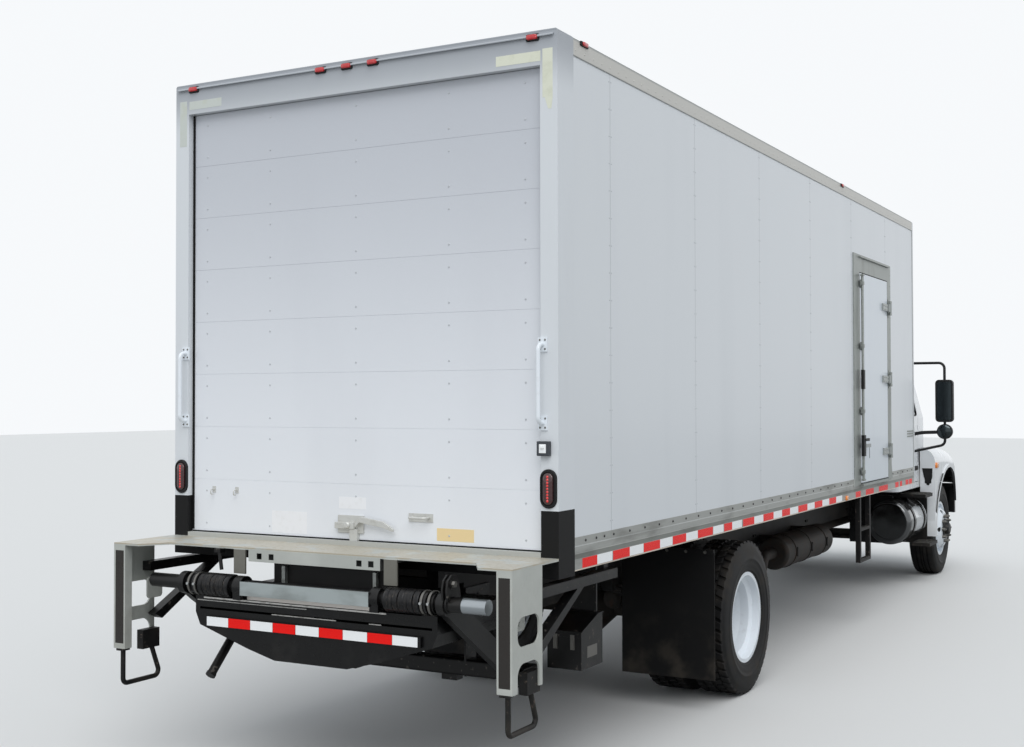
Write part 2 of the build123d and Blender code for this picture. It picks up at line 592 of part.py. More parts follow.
save("radiator", block(radiator_rear, radiator_rear + RADIATOR_DEPTH, -rail_inner, rail_inner,
                       FRAME_TOP - 155,
                       engine_top - 70)
     + block(radiator_rear + 20, radiator_rear + RADIATOR_DEPTH - 20, -rail_inner - 60, rail_inner + 60,
             FRAME_TOP,
             engine_top - 100))

# Fuel tank under the cab's right side

TANK_RADIUS = 225.0
TANK_LENGTH = 850.0
TANK_SETBACK = 730.0
TANK_OUTER_Y = 1110.0
TANK_END_RADIUS = 40.0
TANK_DISH_DEPTH = 14.0
STRAP_WIDTH = 60.0
STRAP_THICKNESS = 8.0
tank_front = FRONT_AXLE_X - TANK_SETBACK
tank_rear = tank_front - TANK_LENGTH
tank_y = -(TANK_OUTER_Y - TANK_RADIUS)
tank_z = FRAME_BOTTOM - 43
tank = rod((tank_rear, tank_y, tank_z), (tank_front, tank_y, tank_z), TANK_RADIUS)
tank = fillet(tank.edges().filter_by(GeomType.CIRCLE), TANK_END_RADIUS)
dish_radius = TANK_RADIUS - TANK_END_RADIUS - 15
tank -= rod((tank_rear - 5, tank_y, tank_z), (tank_rear + TANK_DISH_DEPTH, tank_y, tank_z), dish_radius)
tank -= rod((tank_front - TANK_DISH_DEPTH, tank_y, tank_z), (tank_front + 5, tank_y, tank_z), dish_radius)
tank_solids = [tank]
for strap_x in (tank_rear + 0.25 * TANK_LENGTH, tank_front - 0.18 * TANK_LENGTH):
    strap_end = strap_x + STRAP_WIDTH
    strap_radius = TANK_RADIUS + STRAP_THICKNESS
    ring = rod((strap_x, tank_y, tank_z), (strap_end, tank_y, tank_z), strap_radius)
    ring += block(strap_x, strap_end, tank_y, -rail_outer, tank_z - strap_radius, FRAME_TOP - 30)
    ring -= rod((strap_x - 1, tank_y, tank_z), (strap_end + 1, tank_y, tank_z), TANK_RADIUS + SEAT_GAP)
    tank_solids.append(ring)
save("fuel_tank", *tank_solids)

# Battery box on the left, and air reservoirs behind it in their bands

BOX_LENGTH = 660.0
BOX_DEPTH = 508.0
BOX_SETBACK = 1160.0
BOX_HEIGHT = 310.0
box_front = FRONT_AXLE_X - BOX_SETBACK
box_bottom = FRAME_TOP - 55 - BOX_HEIGHT
battery = block(box_front - BOX_LENGTH, box_front, rail_outer, rail_outer + BOX_DEPTH, box_bottom,
                box_bottom + BOX_HEIGHT)
battery += block(box_front - BOX_LENGTH - 8, box_front + 8, rail_outer + 40, rail_outer + BOX_DEPTH + 8,
                 box_bottom + BOX_HEIGHT - 46, box_bottom + BOX_HEIGHT + 8)
save("battery_box", battery)

RESERVOIR_RADIUS = 118.0
RESERVOIR_LENGTH = 700.0
RESERVOIR_GAP = 130.0
reservoir_y = rail_outer + RESERVOIR_RADIUS + 22
reservoir_z = FRAME_BOTTOM + 96
reservoirs = []
for index in range(2):
    reservoir_front = box_front - BOX_LENGTH - 320 - index * (RESERVOIR_LENGTH + RESERVOIR_GAP)
    reservoir_rear = reservoir_front - RESERVOIR_LENGTH
    can = rod((reservoir_rear, reservoir_y, reservoir_z), (reservoir_front, reservoir_y, reservoir_z),
              RESERVOIR_RADIUS)
    can = fillet(can.edges().filter_by(GeomType.CIRCLE), 45)
    for band_x in (reservoir_rear + 150, reservoir_front - 190):
        can += rod((band_x, reservoir_y, reservoir_z), (band_x + 40, reservoir_y, reservoir_z),
                   RESERVOIR_RADIUS + 5)
        can += block(band_x, band_x + 40, rail_outer, reservoir_y, reservoir_z - 30, reservoir_z + 90)
    reservoirs.append(can)
save("air_tanks", *reservoirs)

STEP_THICKNESS = 35.0
# Each tread: rear edge and length, inner and outer y, height of its underside
CAB_TREADS = (
    (FRONT_AXLE_X - 1130, 360.0, 900.0, 1175.0, tank_z + TANK_RADIUS + 12),
    (FRONT_AXLE_X - 1060, 400.0, 1010.0, 1200.0, tank_z - TANK_RADIUS - 55),
)


def cab_step(y_sign):
    """Two treads and their hanger plates below one door."""
    pieces = None
    for tread_x, length, inner, outer, low in CAB_TREADS:
        tread = block(tread_x, tread_x + length, inner, outer, low, low + STEP_THICKNESS)
        pieces = tread if pieces is None else pieces + tread
    plate_low = CAB_TREADS[1][4]
    plate_high = CAB_TREADS[0][4] + STEP_THICKNESS
    plate_x = tank_front + 8
    pieces += block(plate_x, plate_x + 12, rail_outer, 1100, plate_low, plate_high)
    for shelf_x in (CAB_TREADS[0][0] + 20, plate_x - 60):
        pieces += block(shelf_x, shelf_x + 30, rail_outer, 930, CAB_TREADS[0][4], plate_high)
    return pieces if y_sign > 0 else mirrored(pieces)


# Exhaust: a long canister under the floor, its inlet pipe from the engine and a turned-down outlet

EXHAUST_Y = -620.0
EXHAUST_RADIUS = 140.0
EXHAUST_LENGTH = 1400.0
PIPE_RADIUS = 45.0
exhaust_z = FRAME_BOTTOM - 63
exhaust_rear = REAR_AXLE_X + 2290
exhaust_front = exhaust_rear + EXHAUST_LENGTH
pipe_z = FRAME_BOTTOM - 78
muffler = rod((exhaust_rear, EXHAUST_Y, exhaust_z), (exhaust_front, EXHAUST_Y, exhaust_z), EXHAUST_RADIUS)
muffler = fillet(muffler.edges().filter_by(GeomType.CIRCLE), 32)
pipe_y = -290.0
inlet = bent_bar([(exhaust_front - 20, EXHAUST_Y, exhaust_z), (exhaust_front + 200, EXHAUST_Y, exhaust_z),
                  (exhaust_front + 600, pipe_y, pipe_z), (engine_rear + 120, pipe_y, pipe_z),
                  (engine_rear + 120, pipe_y, engine_bottom - SEAT_GAP)], PIPE_RADIUS, 70)
outlet = bent_bar([(exhaust_rear + 20, EXHAUST_Y, exhaust_z), (exhaust_rear - 230, EXHAUST_Y, exhaust_z),
                   (exhaust_rear - 330, EXHAUST_Y, exhaust_z - 170)], PIPE_RADIUS, 70)
exhaust = muffler + inlet + outlet
for band_x in (exhaust_rear + 220, exhaust_rear + 660, exhaust_front - 260):
    exhaust += rod((band_x, EXHAUST_Y, exhaust_z), (band_x + 40, EXHAUST_Y, exhaust_z), EXHAUST_RADIUS + 5)
for hanger_x in (exhaust_rear + 220, exhaust_front - 260):
    exhaust += block(hanger_x, hanger_x + 40, EXHAUST_Y, -rail_outer, exhaust_z + 70, exhaust_z + 130)
save("exhaust", exhaust)


# Van body: floor, its frame, walls, roof and the rails that join them

panel_start = REAR_FRAME_DEPTH
panel_end = BODY_LENGTH - CORNER_POST_WIDTH
front_skin = BODY_LENGTH - FRONT_WALL_INSET
front_inner = front_skin - WALL_THICKNESS
save("load_floor", block(panel_start, front_inner, -WALL_INNER, WALL_INNER, FLOOR_BOTTOM, FLOOR_TOP))

sill = block(panel_start, front_inner - 15, rail_outer - LONG_SILL_WIDTH, rail_outer, FRAME_TOP,
             CROSSMEMBER_BOTTOM)
save("long_sills", sill, mirrored(sill))

crossmembers = []
member_count = int((BODY_LENGTH - panel_start - 120) / CROSSMEMBER_PITCH) + 1
for index in range(member_count):
    member_x = panel_start + 30 + index * CROSSMEMBER_PITCH
    member = block(member_x, member_x + CROSSMEMBER_WIDTH, -WALL_INNER, WALL_INNER, CROSSMEMBER_BOTTOM,
                   FLOOR_BOTTOM)
    for face_x in (member_x - 1, member_x + CROSSMEMBER_WIDTH / 2 + CROSSMEMBER_WALL / 2):
        pocket_end = face_x + 1 + (CROSSMEMBER_WIDTH - CROSSMEMBER_WALL) / 2
        member -= block(face_x, pocket_end, -WALL_INNER - 1, WALL_INNER + 1,
                        CROSSMEMBER_BOTTOM + CROSSMEMBER_WALL, FLOOR_BOTTOM - CROSSMEMBER_WALL)
    crossmembers.append(member)
save("crossmembers", *crossmembers)

wall_base = CROSSMEMBER_BOTTOM + 10
wall_top = BODY_TOP - ROOF_THICKNESS - ROOF_CROWN
side_wall = block(panel_start, panel_end, WALL_INNER, WALL_OUTER, wall_base, wall_top)
save("side_wall_left", side_wall)
jamb_hole = block(SIDE_DOOR_REAR - SIDE_JAMB, SIDE_DOOR_FRONT + SIDE_JAMB, -WALL_OUTER - 5, -WALL_INNER + 5,
                  SIDE_DOOR_BOTTOM - SIDE_JAMB, SIDE_DOOR_TOP + SIDE_JAMB)
save("side_wall_right", mirrored(side_wall) - jamb_hole)
save("front_wall", block(front_inner, front_skin, 30 - WALL_OUTER, WALL_OUTER - 30, wall_base, wall_top))

roof_profile = outline([
    (-WALL_OUTER, wall_top), (WALL_OUTER, wall_top), (WALL_OUTER, wall_top + ROOF_THICKNESS),
    (WALL_OUTER / 2, BODY_TOP - 2), (0, BODY_TOP), (-WALL_OUTER / 2, BODY_TOP - 2),
    (-WALL_OUTER, wall_top + ROOF_THICKNESS),
])
save("roof", along_x(roof_profile, panel_start, panel_end))


rail_cut = block(SIDE_DOOR_REAR - SIDE_JAMB, SIDE_DOOR_FRONT + SIDE_JAMB, -HALF_WIDTH - 5, -WALL_INNER,
                 SIDE_DOOR_BOTTOM - SIDE_JAMB, LOWER_RAIL_TOP + 5)
lower_face = outline([
    (WALL_OUTER, LOWER_RAIL_TOP), (HALF_WIDTH, LOWER_RAIL_TOP), (HALF_WIDTH, LOWER_RAIL_TOP - 42),
    (HALF_WIDTH - 2, LOWER_RAIL_TOP - 44), (HALF_WIDTH - 2, LOWER_RAIL_TOP - 80),
    (HALF_WIDTH, LOWER_RAIL_TOP - 82), (HALF_WIDTH, LOWER_RAIL_BOTTOM),
    (HALF_WIDTH - 60, LOWER_RAIL_BOTTOM), (HALF_WIDTH - 60, CROSSMEMBER_BOTTOM),
                      (WALL_OUTER, CROSSMEMBER_BOTTOM),
])
lower_rail = along_x(lower_face, panel_start, panel_end)
roof_edge = wall_top + ROOF_THICKNESS
upper_rail_bottom = BODY_TOP - UPPER_RAIL_HEIGHT
upper_face = outline([
    (WALL_OUTER, upper_rail_bottom), (HALF_WIDTH, upper_rail_bottom), (HALF_WIDTH, roof_edge + 2),
    (HALF_WIDTH - 6, roof_edge + 8), (HALF_WIDTH - UPPER_RAIL_FLANGE, roof_edge + 8),
    (HALF_WIDTH - UPPER_RAIL_FLANGE, roof_edge + 3.5), (WALL_OUTER, roof_edge),
])
upper_rail = along_x(upper_face, panel_start, panel_end)
FRONT_CAP_HEIGHT = 150.0
post_lip_y = WALL_OUTER - 50
corner_face = make_face([
    Line((panel_end, WALL_INNER), (panel_end, HALF_WIDTH)),
    Line((panel_end, HALF_WIDTH), (BODY_LENGTH - CORNER_RADIUS, HALF_WIDTH)),
    ThreePointArc((BODY_LENGTH - CORNER_RADIUS, HALF_WIDTH),
                  (BODY_LENGTH - CORNER_RADIUS * (1 - cos(pi / 4)),
                   HALF_WIDTH - CORNER_RADIUS * (1 - sin(pi / 4))),
                  (BODY_LENGTH, HALF_WIDTH - CORNER_RADIUS)),
    Line((BODY_LENGTH, HALF_WIDTH - CORNER_RADIUS), (BODY_LENGTH, post_lip_y)),
    Line((BODY_LENGTH, post_lip_y), (front_skin, post_lip_y)),
    Line((front_skin, post_lip_y), (front_skin, WALL_INNER)),
    Line((front_skin, WALL_INNER), (panel_end, WALL_INNER)),
])
corner_post = along_z(corner_face, LOWER_RAIL_BOTTOM, roof_edge)
front_cap = block(front_skin, BODY_LENGTH, -post_lip_y, post_lip_y, BODY_TOP - FRONT_CAP_HEIGHT, roof_edge)
front_foot = block(front_skin, BODY_LENGTH, -post_lip_y, post_lip_y, LOWER_RAIL_BOTTOM, FLOOR_TOP + 38)
save("body_rails", lower_rail, mirrored(lower_rail) - rail_cut, upper_rail, mirrored(upper_rail),
     corner_post, mirrored(corner_post), front_cap, front_foot)

# Rear frame: posts, header and sill in one welded piece

opening_half = HALF_WIDTH - REAR_POST_WIDTH
rear_face = outline([
    (-HALF_WIDTH, REAR_SILL_BOTTOM), (HALF_WIDTH, REAR_SILL_BOTTOM), (HALF_WIDTH, BODY_TOP - 8),
    (HALF_WIDTH - 8, BODY_TOP), (8 - HALF_WIDTH, BODY_TOP), (-HALF_WIDTH, BODY_TOP - 8),
])
rear_frame = along_x(rear_face, 0, REAR_FRAME_DEPTH)
rear_frame -= block(-1, REAR_FRAME_DEPTH + 1, -opening_half, opening_half, FLOOR_TOP, REAR_OPENING_TOP)
rear_frame -= block(30, REAR_FRAME_DEPTH + 1, -opening_half, opening_half, REAR_SILL_BOTTOM - 1,
                    FLOOR_TOP - 60)
for side in (-1, 1):
    groove_y = sorted((side * opening_half, side * (opening_half + 22)))
    rear_frame -= block(ROLL_DOOR_RECESS - 3, ROLL_DOOR_RECESS + ROLL_DOOR_THICKNESS + 3, groove_y[0],
                        groove_y[1],
                        FLOOR_TOP, REAR_OPENING_TOP)
save("rear_frame", rear_frame)

door_low = FLOOR_TOP + 0.3
door_high = REAR_OPENING_TOP - 3
groove_x = ROLL_DOOR_RECESS + ROLL_DOOR_JOINT_DEPTH
panel_height = (door_high - door_low) / ROLL_DOOR_PANELS
panel_y = opening_half + 16
roll_door = block(groove_x, ROLL_DOOR_RECESS + ROLL_DOOR_THICKNESS, -panel_y, panel_y, door_low, door_high)
for index in range(ROLL_DOOR_PANELS):
    low = door_low + index * panel_height
    lift = ROLL_DOOR_JOINT if index else 0
    roll_door += block(ROLL_DOOR_RECESS, groove_x + 1, -panel_y, panel_y, low + lift, low + panel_height)
save("roll_up_door", roll_door)

# Curbside door frame: jambs through the wall, flanges and header outside it

flange_out = HALF_WIDTH + SIDE_FLANGE
frame_low = SIDE_DOOR_BOTTOM - SIDE_JAMB
post_rear_x = SIDE_DOOR_REAR - SIDE_POST_REAR_WIDTH
post_front_x = SIDE_DOOR_FRONT + SIDE_POST_FRONT_WIDTH
header_z = SIDE_DOOR_TOP + SIDE_HEADER_HEIGHT
side_frame = block(SIDE_DOOR_REAR - SIDE_JAMB, SIDE_DOOR_FRONT + SIDE_JAMB, -HALF_WIDTH, -WALL_INNER,
                   frame_low, SIDE_DOOR_TOP + SIDE_JAMB)
flange_face = outline([
    (post_rear_x, LOWER_RAIL_TOP + 1), (post_front_x, LOWER_RAIL_TOP + 1), (post_front_x, header_z),
    (post_rear_x, header_z),
])
side_frame += along_y(flange_face, -flange_out, -WALL_OUTER)
side_frame += along_y(outline([
    (post_rear_x - 30, LOWER_RAIL_TOP - 60), (SIDE_DOOR_REAR, LOWER_RAIL_TOP - 60),
    (SIDE_DOOR_REAR, LOWER_RAIL_TOP + 140), (post_rear_x + 60, LOWER_RAIL_TOP + 140),
]), -flange_out, -HALF_WIDTH)
side_frame += along_y(outline([
    (SIDE_DOOR_FRONT, LOWER_RAIL_TOP - 60), (post_front_x + 40, LOWER_RAIL_TOP - 60),
    (post_front_x - 20, LOWER_RAIL_TOP + 140), (SIDE_DOOR_FRONT, LOWER_RAIL_TOP + 140),
]), -flange_out, -HALF_WIDTH)
side_frame += block(SIDE_DOOR_REAR, SIDE_DOOR_FRONT, -flange_out - 24, -HALF_WIDTH, frame_low,
                    SIDE_DOOR_BOTTOM - 2)
side_frame += block(SIDE_DOOR_REAR - 30, SIDE_DOOR_FRONT + 30, -flange_out - 20, -flange_out,
                    header_z - 26, header_z - 14)
side_frame -= block(SIDE_DOOR_REAR, SIDE_DOOR_FRONT, -flange_out - 1, -WALL_INNER + 1, SIDE_DOOR_BOTTOM,
                    SIDE_DOOR_TOP)
hinge_x = SIDE_DOOR_FRONT + SIDE_HINGE_SETOFF
hinge_y = -flange_out - 20
HINGE_LUG = 22.0
HINGE_EYE_HALF = 42.0
hinge_low = SIDE_DOOR_BOTTOM + SIDE_HINGE_END
hinge_high = SIDE_DOOR_TOP - SIDE_HINGE_END
SIDE_HINGE_HEIGHTS = (hinge_low, (hinge_low + hinge_high) / 2, hinge_high)
for hinge_z in SIDE_HINGE_HEIGHTS:
    side_frame += block(hinge_x - 8, hinge_x + 42, -flange_out - 4, -flange_out, hinge_z - 85, hinge_z + 85)
    for low in (hinge_z - HINGE_EYE_HALF - 2 - HINGE_LUG, hinge_z + HINGE_EYE_HALF + 2):
        side_frame += rod((hinge_x, hinge_y, low), (hinge_x, hinge_y, low + HINGE_LUG), 14)
        side_frame += block(hinge_x - 10, hinge_x + 10, hinge_y, -flange_out, low, low + HINGE_LUG)
    side_frame += rod((hinge_x, hinge_y, hinge_z - 60), (hinge_x, hinge_y, hinge_z + 60), SIDE_HINGE_PIN)
save("side_door_frame", side_frame)

leaf_out = flange_out
leaf_in = leaf_out - SIDE_DOOR_THICKNESS
side_door = block(SIDE_DOOR_REAR + DOOR_GAP, SIDE_DOOR_FRONT - DOOR_GAP, -leaf_out, -leaf_in,
                  SIDE_DOOR_BOTTOM + DOOR_GAP, SIDE_DOOR_TOP - DOOR_GAP)
for hinge_z in SIDE_HINGE_HEIGHTS:
    strap = block(hinge_x - 260, SIDE_DOOR_FRONT - DOOR_GAP, -leaf_out - 16, -leaf_out, hinge_z - 32,
                  hinge_z + 32)
    strap += block(hinge_x - 60, hinge_x, hinge_y - 6, hinge_y + 6, hinge_z - HINGE_EYE_HALF + 6,
                   hinge_z + HINGE_EYE_HALF - 6)
    strap += rod((hinge_x, hinge_y, hinge_z - HINGE_EYE_HALF), (hinge_x, hinge_y, hinge_z + HINGE_EYE_HALF),
                 13)
    strap -= rod((hinge_x, hinge_y, hinge_z - 70), (hinge_x, hinge_y, hinge_z + 70), SIDE_HINGE_PIN + PIN_GAP)
    side_door += strap
# Lever handle on its boss
LEVER_Z = SIDE_DOOR_BOTTOM + 325
side_door += block(SIDE_DOOR_REAR + 60, SIDE_DOOR_REAR + 100, -leaf_out - 34, -leaf_out, LEVER_Z - 15,
                   LEVER_Z + 15)
side_door += block(SIDE_DOOR_REAR + 60, SIDE_DOOR_REAR + 230, -leaf_out - 34, -leaf_out - 22, LEVER_Z - 15,
                   LEVER_Z + 15)
save("side_door", side_door)

# Deck plate with end posts, fused as welded

post_outer = HALF_WIDTH
post_inner = HALF_WIDTH - GATE_POST_WIDTH
deck_bottom = DECK_TOP - DECK_THICKNESS
post_bottom = DECK_TOP - GATE_POST_HEIGHT
NOTCH_OUTER_Y = post_inner - 98
NOTCH_INNER_Y = post_inner - 188
gate_deck = along_z(outline([
    (-GATE_OVERHANG, -HALF_WIDTH), (0, -HALF_WIDTH), (0, HALF_WIDTH), (-GATE_OVERHANG, HALF_WIDTH),
    (-GATE_OVERHANG, NOTCH_OUTER_Y), (-DECK_MIDDLE, NOTCH_INNER_Y), (-DECK_MIDDLE, -NOTCH_INNER_Y),
    (-GATE_OVERHANG, -NOTCH_OUTER_Y),
]), deck_bottom, DECK_TOP)
side_plate_face = outline([
    (-GATE_OVERHANG, post_bottom), (GATE_POST_FRONT_X, post_bottom), (GATE_POST_FRONT_X, deck_bottom + 2),
    (-GATE_OVERHANG, deck_bottom + 2),
])
slot_rear = -GATE_OVERHANG + 50
slot_front = GATE_POST_FRONT_X - 30
SLOT_TOP = DECK_TOP - 224
SLOT_BOTTOM = DECK_TOP - 360
NOTCH_TOP = DECK_TOP - 434
side_plate_face -= rect(slot_rear, slot_front, SLOT_BOTTOM, SLOT_TOP, 50)
side_plate_face -= rect(slot_rear, slot_front, post_bottom - 100, NOTCH_TOP, 60)
side_plate = along_y(side_plate_face, post_outer - GATE_POST_THICKNESS, post_outer)
rear_plate = block(-GATE_OVERHANG, -GATE_OVERHANG + GATE_POST_THICKNESS, post_inner, post_outer, post_bottom,
                   deck_bottom + 2)
inner_plate = block(-GATE_OVERHANG, -GATE_OVERHANG + 50, post_inner, post_inner + 8, post_bottom,
                    deck_bottom + 2)
end_post = side_plate + rear_plate + inner_plate
gate_deck += end_post
gate_deck += mirrored(end_post)
# Slotted beam under the deck's rear edge, open below, with four square holes in its face
BEAM_HALF = 410.0
BEAM_DEPTH = 90.0
BEAM_HEIGHT = 58.0
beam_rear = -DECK_MIDDLE - 2
deck_beam = block(beam_rear, beam_rear + BEAM_DEPTH, -BEAM_HALF, BEAM_HALF, deck_bottom - BEAM_HEIGHT,
                  deck_bottom + 2)
deck_beam -= block(beam_rear + 8, beam_rear + BEAM_DEPTH - 8, 8 - BEAM_HALF, BEAM_HALF - 8,
                   deck_bottom - BEAM_HEIGHT - 1, deck_bottom)
for hole_y in (-356.0, -285.0, 262.0, 340.0):
    deck_beam -= block(beam_rear - 1, beam_rear + 9, hole_y - 16, hole_y + 16, deck_bottom - 44,
                       deck_bottom - 14)
gate_deck += deck_beam
# Two plates hang from the deck beside the beam
for plate_y in (-470.0, 470.0):
    gate_deck += block(beam_rear, beam_rear + BEAM_DEPTH, plate_y - 38, plate_y + 38, deck_bottom - 14,
                       deck_bottom + 1)
    gate_deck += block(beam_rear, beam_rear + 10, plate_y - 38, plate_y + 38, deck_bottom - 125,
                       deck_bottom + 1)
save("gate_deck", gate_deck)

# Braces from the end posts to the floor's frame
BRACE_TOP = CROSSMEMBER_BOTTOM - 47
BRACE_DEPTH = 50.0
BRACE_FRONT_X = 700.0
brace_y = (post_outer - 70, post_outer - GATE_POST_THICKNESS - SEAT_GAP)
brace_bar = block(GATE_POST_FRONT_X - 90, BRACE_FRONT_X, brace_y[0], brace_y[1], BRACE_TOP - BRACE_DEPTH,
                  BRACE_TOP)
brace_bar += along_y(outline([(330, BRACE_TOP), (395, BRACE_TOP), (GATE_POST_FRONT_X, BRACE_TOP - 320),
                              (GATE_POST_FRONT_X - 55, BRACE_TOP - 290)]), brace_y[0], brace_y[1] - 4)
for tab_x in (BRACE_FRONT_X - 450, BRACE_FRONT_X - 60):
    brace_bar += block(tab_x, tab_x + 50, brace_y[0] - 20, brace_y[0] + 8, BRACE_TOP - 48, CROSSMEMBER_BOTTOM)

# Gate main frame: cross tube hung from the ladder frame, with an ear each side of each arm

MAIN_TUBE_X = ARM_PIVOT_X + 72
EAR_THICKNESS = 12.0
EAR_GAP = 8.0
tube_half = MAIN_TUBE_SIZE / 2
arm_inner = ARM_Y - ARM_THICKNESS / 2
arm_outer = ARM_Y + ARM_THICKNESS / 2
ear_end = arm_outer + EAR_GAP + EAR_THICKNESS
gate_frame = along_y(rect(MAIN_TUBE_X, MAIN_TUBE_X + MAIN_TUBE_SIZE, ARM_PIVOT_Z - tube_half,
                          ARM_PIVOT_Z + tube_half,
                          14), -ear_end, ear_end)
ear_face = outline([
    (MAIN_TUBE_X + 40, ARM_PIVOT_Z - tube_half), (MAIN_TUBE_X + 40, ARM_PIVOT_Z + tube_half),
    (ARM_PIVOT_X, ARM_PIVOT_Z + tube_half), (ARM_PIVOT_X, ARM_PIVOT_Z - tube_half),
]) + Pos(ARM_PIVOT_X, ARM_PIVOT_Z) * Circle(tube_half)
hanger_face = outline([
    (MAIN_TUBE_X, ARM_PIVOT_Z - tube_half), (MAIN_TUBE_X + MAIN_TUBE_SIZE, ARM_PIVOT_Z - tube_half),
    (MAIN_TUBE_X + MAIN_TUBE_SIZE + 30, FRAME_BOTTOM - 40), (MAIN_TUBE_X + 250, FRAME_BOTTOM + 30),
    (MAIN_TUBE_X + 250, FRAME_TOP - 30), (FRAME_REAR_X, FRAME_TOP - 30), (MAIN_TUBE_X, FRAME_BOTTOM - 60),
])
ARM_PIN_RADIUS = 18.0
for side in (-1, 1):
    hanger_y = sorted((side * rail_outer, side * (rail_outer + 12)))
    gate_frame += along_y(hanger_face, hanger_y[0], hanger_y[1])
    for inner, outer in ((arm_inner - EAR_GAP - EAR_THICKNESS, arm_inner - EAR_GAP),
                         (arm_outer + EAR_GAP, ear_end)):
        ear_y = sorted((side * inner, side * outer))
        gate_frame += along_y(ear_face, ear_y[0], ear_y[1])
    pin_y = sorted((side * (ARM_Y - 45), side * (ARM_Y + 45)))
    gate_frame += rod((ARM_PIVOT_X, pin_y[0], ARM_PIVOT_Z), (ARM_PIVOT_X, pin_y[1], ARM_PIVOT_Z),
                      ARM_PIN_RADIUS)
for foot_y in (-730.0, -330.0, 330.0, 730.0):
    gate_frame += block(MAIN_TUBE_X + 12, MAIN_TUBE_X + MAIN_TUBE_SIZE - 12, foot_y - 47, foot_y + 47,
                        ARM_PIVOT_Z - tube_half - 30, ARM_PIVOT_Z - tube_half + 2)

# Power unit housing with its sloping lid, hung from a floor crossmember
POWER_REAR_X = 590.0
POWER_FRONT_X = 850.0
POWER_Y = (-1050.0, -850.0)
power_box = along_y(outline([
    (POWER_REAR_X, 545), (POWER_FRONT_X, 545), (POWER_FRONT_X, 815), (POWER_FRONT_X - 60, 815),
                             (POWER_REAR_X, 740),
]), POWER_Y[0], POWER_Y[1])
power_member = panel_start + 30 + 2 * CROSSMEMBER_PITCH
power_box += block(power_member, power_member + 14, POWER_Y[0] + 20, POWER_Y[1] - 20, 760, CROSSMEMBER_BOTTOM)
gate_frame_solids = [gate_frame, brace_bar, mirrored(brace_bar), power_box]
save("gate_frame", *gate_frame_solids)

arm_dx = ARM_EYE_X - ARM_PIVOT_X
arm_dz = ARM_EYE_Z - ARM_PIVOT_Z
arm_length = hypot(arm_dx, arm_dz)
arm_tilt = degrees(atan2(arm_dz, arm_dx))
ARM_EYE_RADIUS = 58.0
ARM_BOSS_RADIUS = 43.0


def lift_arm():
    """Flat bar between its two eyes, drawn level and then tilted onto its pivots."""
    half = ARM_DEPTH / 2
    face = outline([(0, -ARM_BOSS_RADIUS), (120, -half), (arm_length - 90, -half),
                    (arm_length, -ARM_EYE_RADIUS + 8),
                    (arm_length, ARM_EYE_RADIUS - 8), (arm_length - 90, half), (120, half),
                    (0, ARM_BOSS_RADIUS)])
    face += Circle(ARM_BOSS_RADIUS) + Pos(arm_length, 0) * Circle(ARM_EYE_RADIUS)
    face -= Circle(ARM_PIN_RADIUS + PIN_GAP)
    solid = extrude(Plane.XZ.offset(-ARM_Y - ARM_THICKNESS / 2) * face, ARM_THICKNESS, dir=(0, -1, 0))
    return Pos(REAR + ARM_PIVOT_X, 0, ARM_PIVOT_Z) * Rot(0, -arm_tilt, 0) * solid


# The gate tube carries a torsion spring between two collars each side
SPRING_SPAN = (480.0, 680.0)
SPRING_COILS = 7
SPRING_WIRE = 11.0
gate_tube = rod((ARM_EYE_X, -1035, ARM_EYE_Z), (ARM_EYE_X, 1035, ARM_EYE_Z), GATE_TUBE_RADIUS)
coil_pitch = (SPRING_SPAN[1] - SPRING_SPAN[0]) / SPRING_COILS
for side in (-1, 1):
    for index in range(SPRING_COILS):
        coil_y = side * (SPRING_SPAN[0] + (index + 0.5) * coil_pitch)
        gate_tube += rod((ARM_EYE_X, coil_y - SPRING_WIRE, ARM_EYE_Z),
                         (ARM_EYE_X, coil_y + SPRING_WIRE, ARM_EYE_Z),
                         GATE_TUBE_RADIUS + 2 * SPRING_WIRE)
    for inner, outer, radius in ((690, 722, 56), (730, 760, 50)):
        collar_y = sorted((side * inner, side * outer))
        gate_tube += rod((ARM_EYE_X, collar_y[0], ARM_EYE_Z), (ARM_EYE_X, collar_y[1], ARM_EYE_Z), radius)
arm_left = lift_arm()
stub_low = (-170, ARM_Y, 480)
stub_high = (50, ARM_Y, 705)
gate_arms = arm_left + mirrored(arm_left) + gate_tube + rod(stub_high, stub_low, 20)
save("gate_arms", gate_arms)

platform_top = ARM_EYE_Z - PLATFORM_DROP
platform_bottom = platform_top - PLATFORM_HEIGHT
PLATFORM_REAR_X = ARM_EYE_X + 10
PLATFORM_FRONT_X = PLATFORM_REAR_X + PLATFORM_LENGTH
platform_face = outline([
    (-PLATFORM_HALF_WIDTH, platform_top), (PLATFORM_HALF_WIDTH, platform_top),
    (PLATFORM_HALF_WIDTH, platform_top - 95), (PLATFORM_HALF_WIDTH - 30, platform_top - 160),
    (400, platform_bottom + 45), (225, platform_bottom), (-225, platform_bottom),
                         (-400, platform_bottom + 45),
    (30 - PLATFORM_HALF_WIDTH, platform_top - 160), (-PLATFORM_HALF_WIDTH, platform_top - 95),
])
platform = along_x(platform_face, PLATFORM_REAR_X, PLATFORM_FRONT_X)
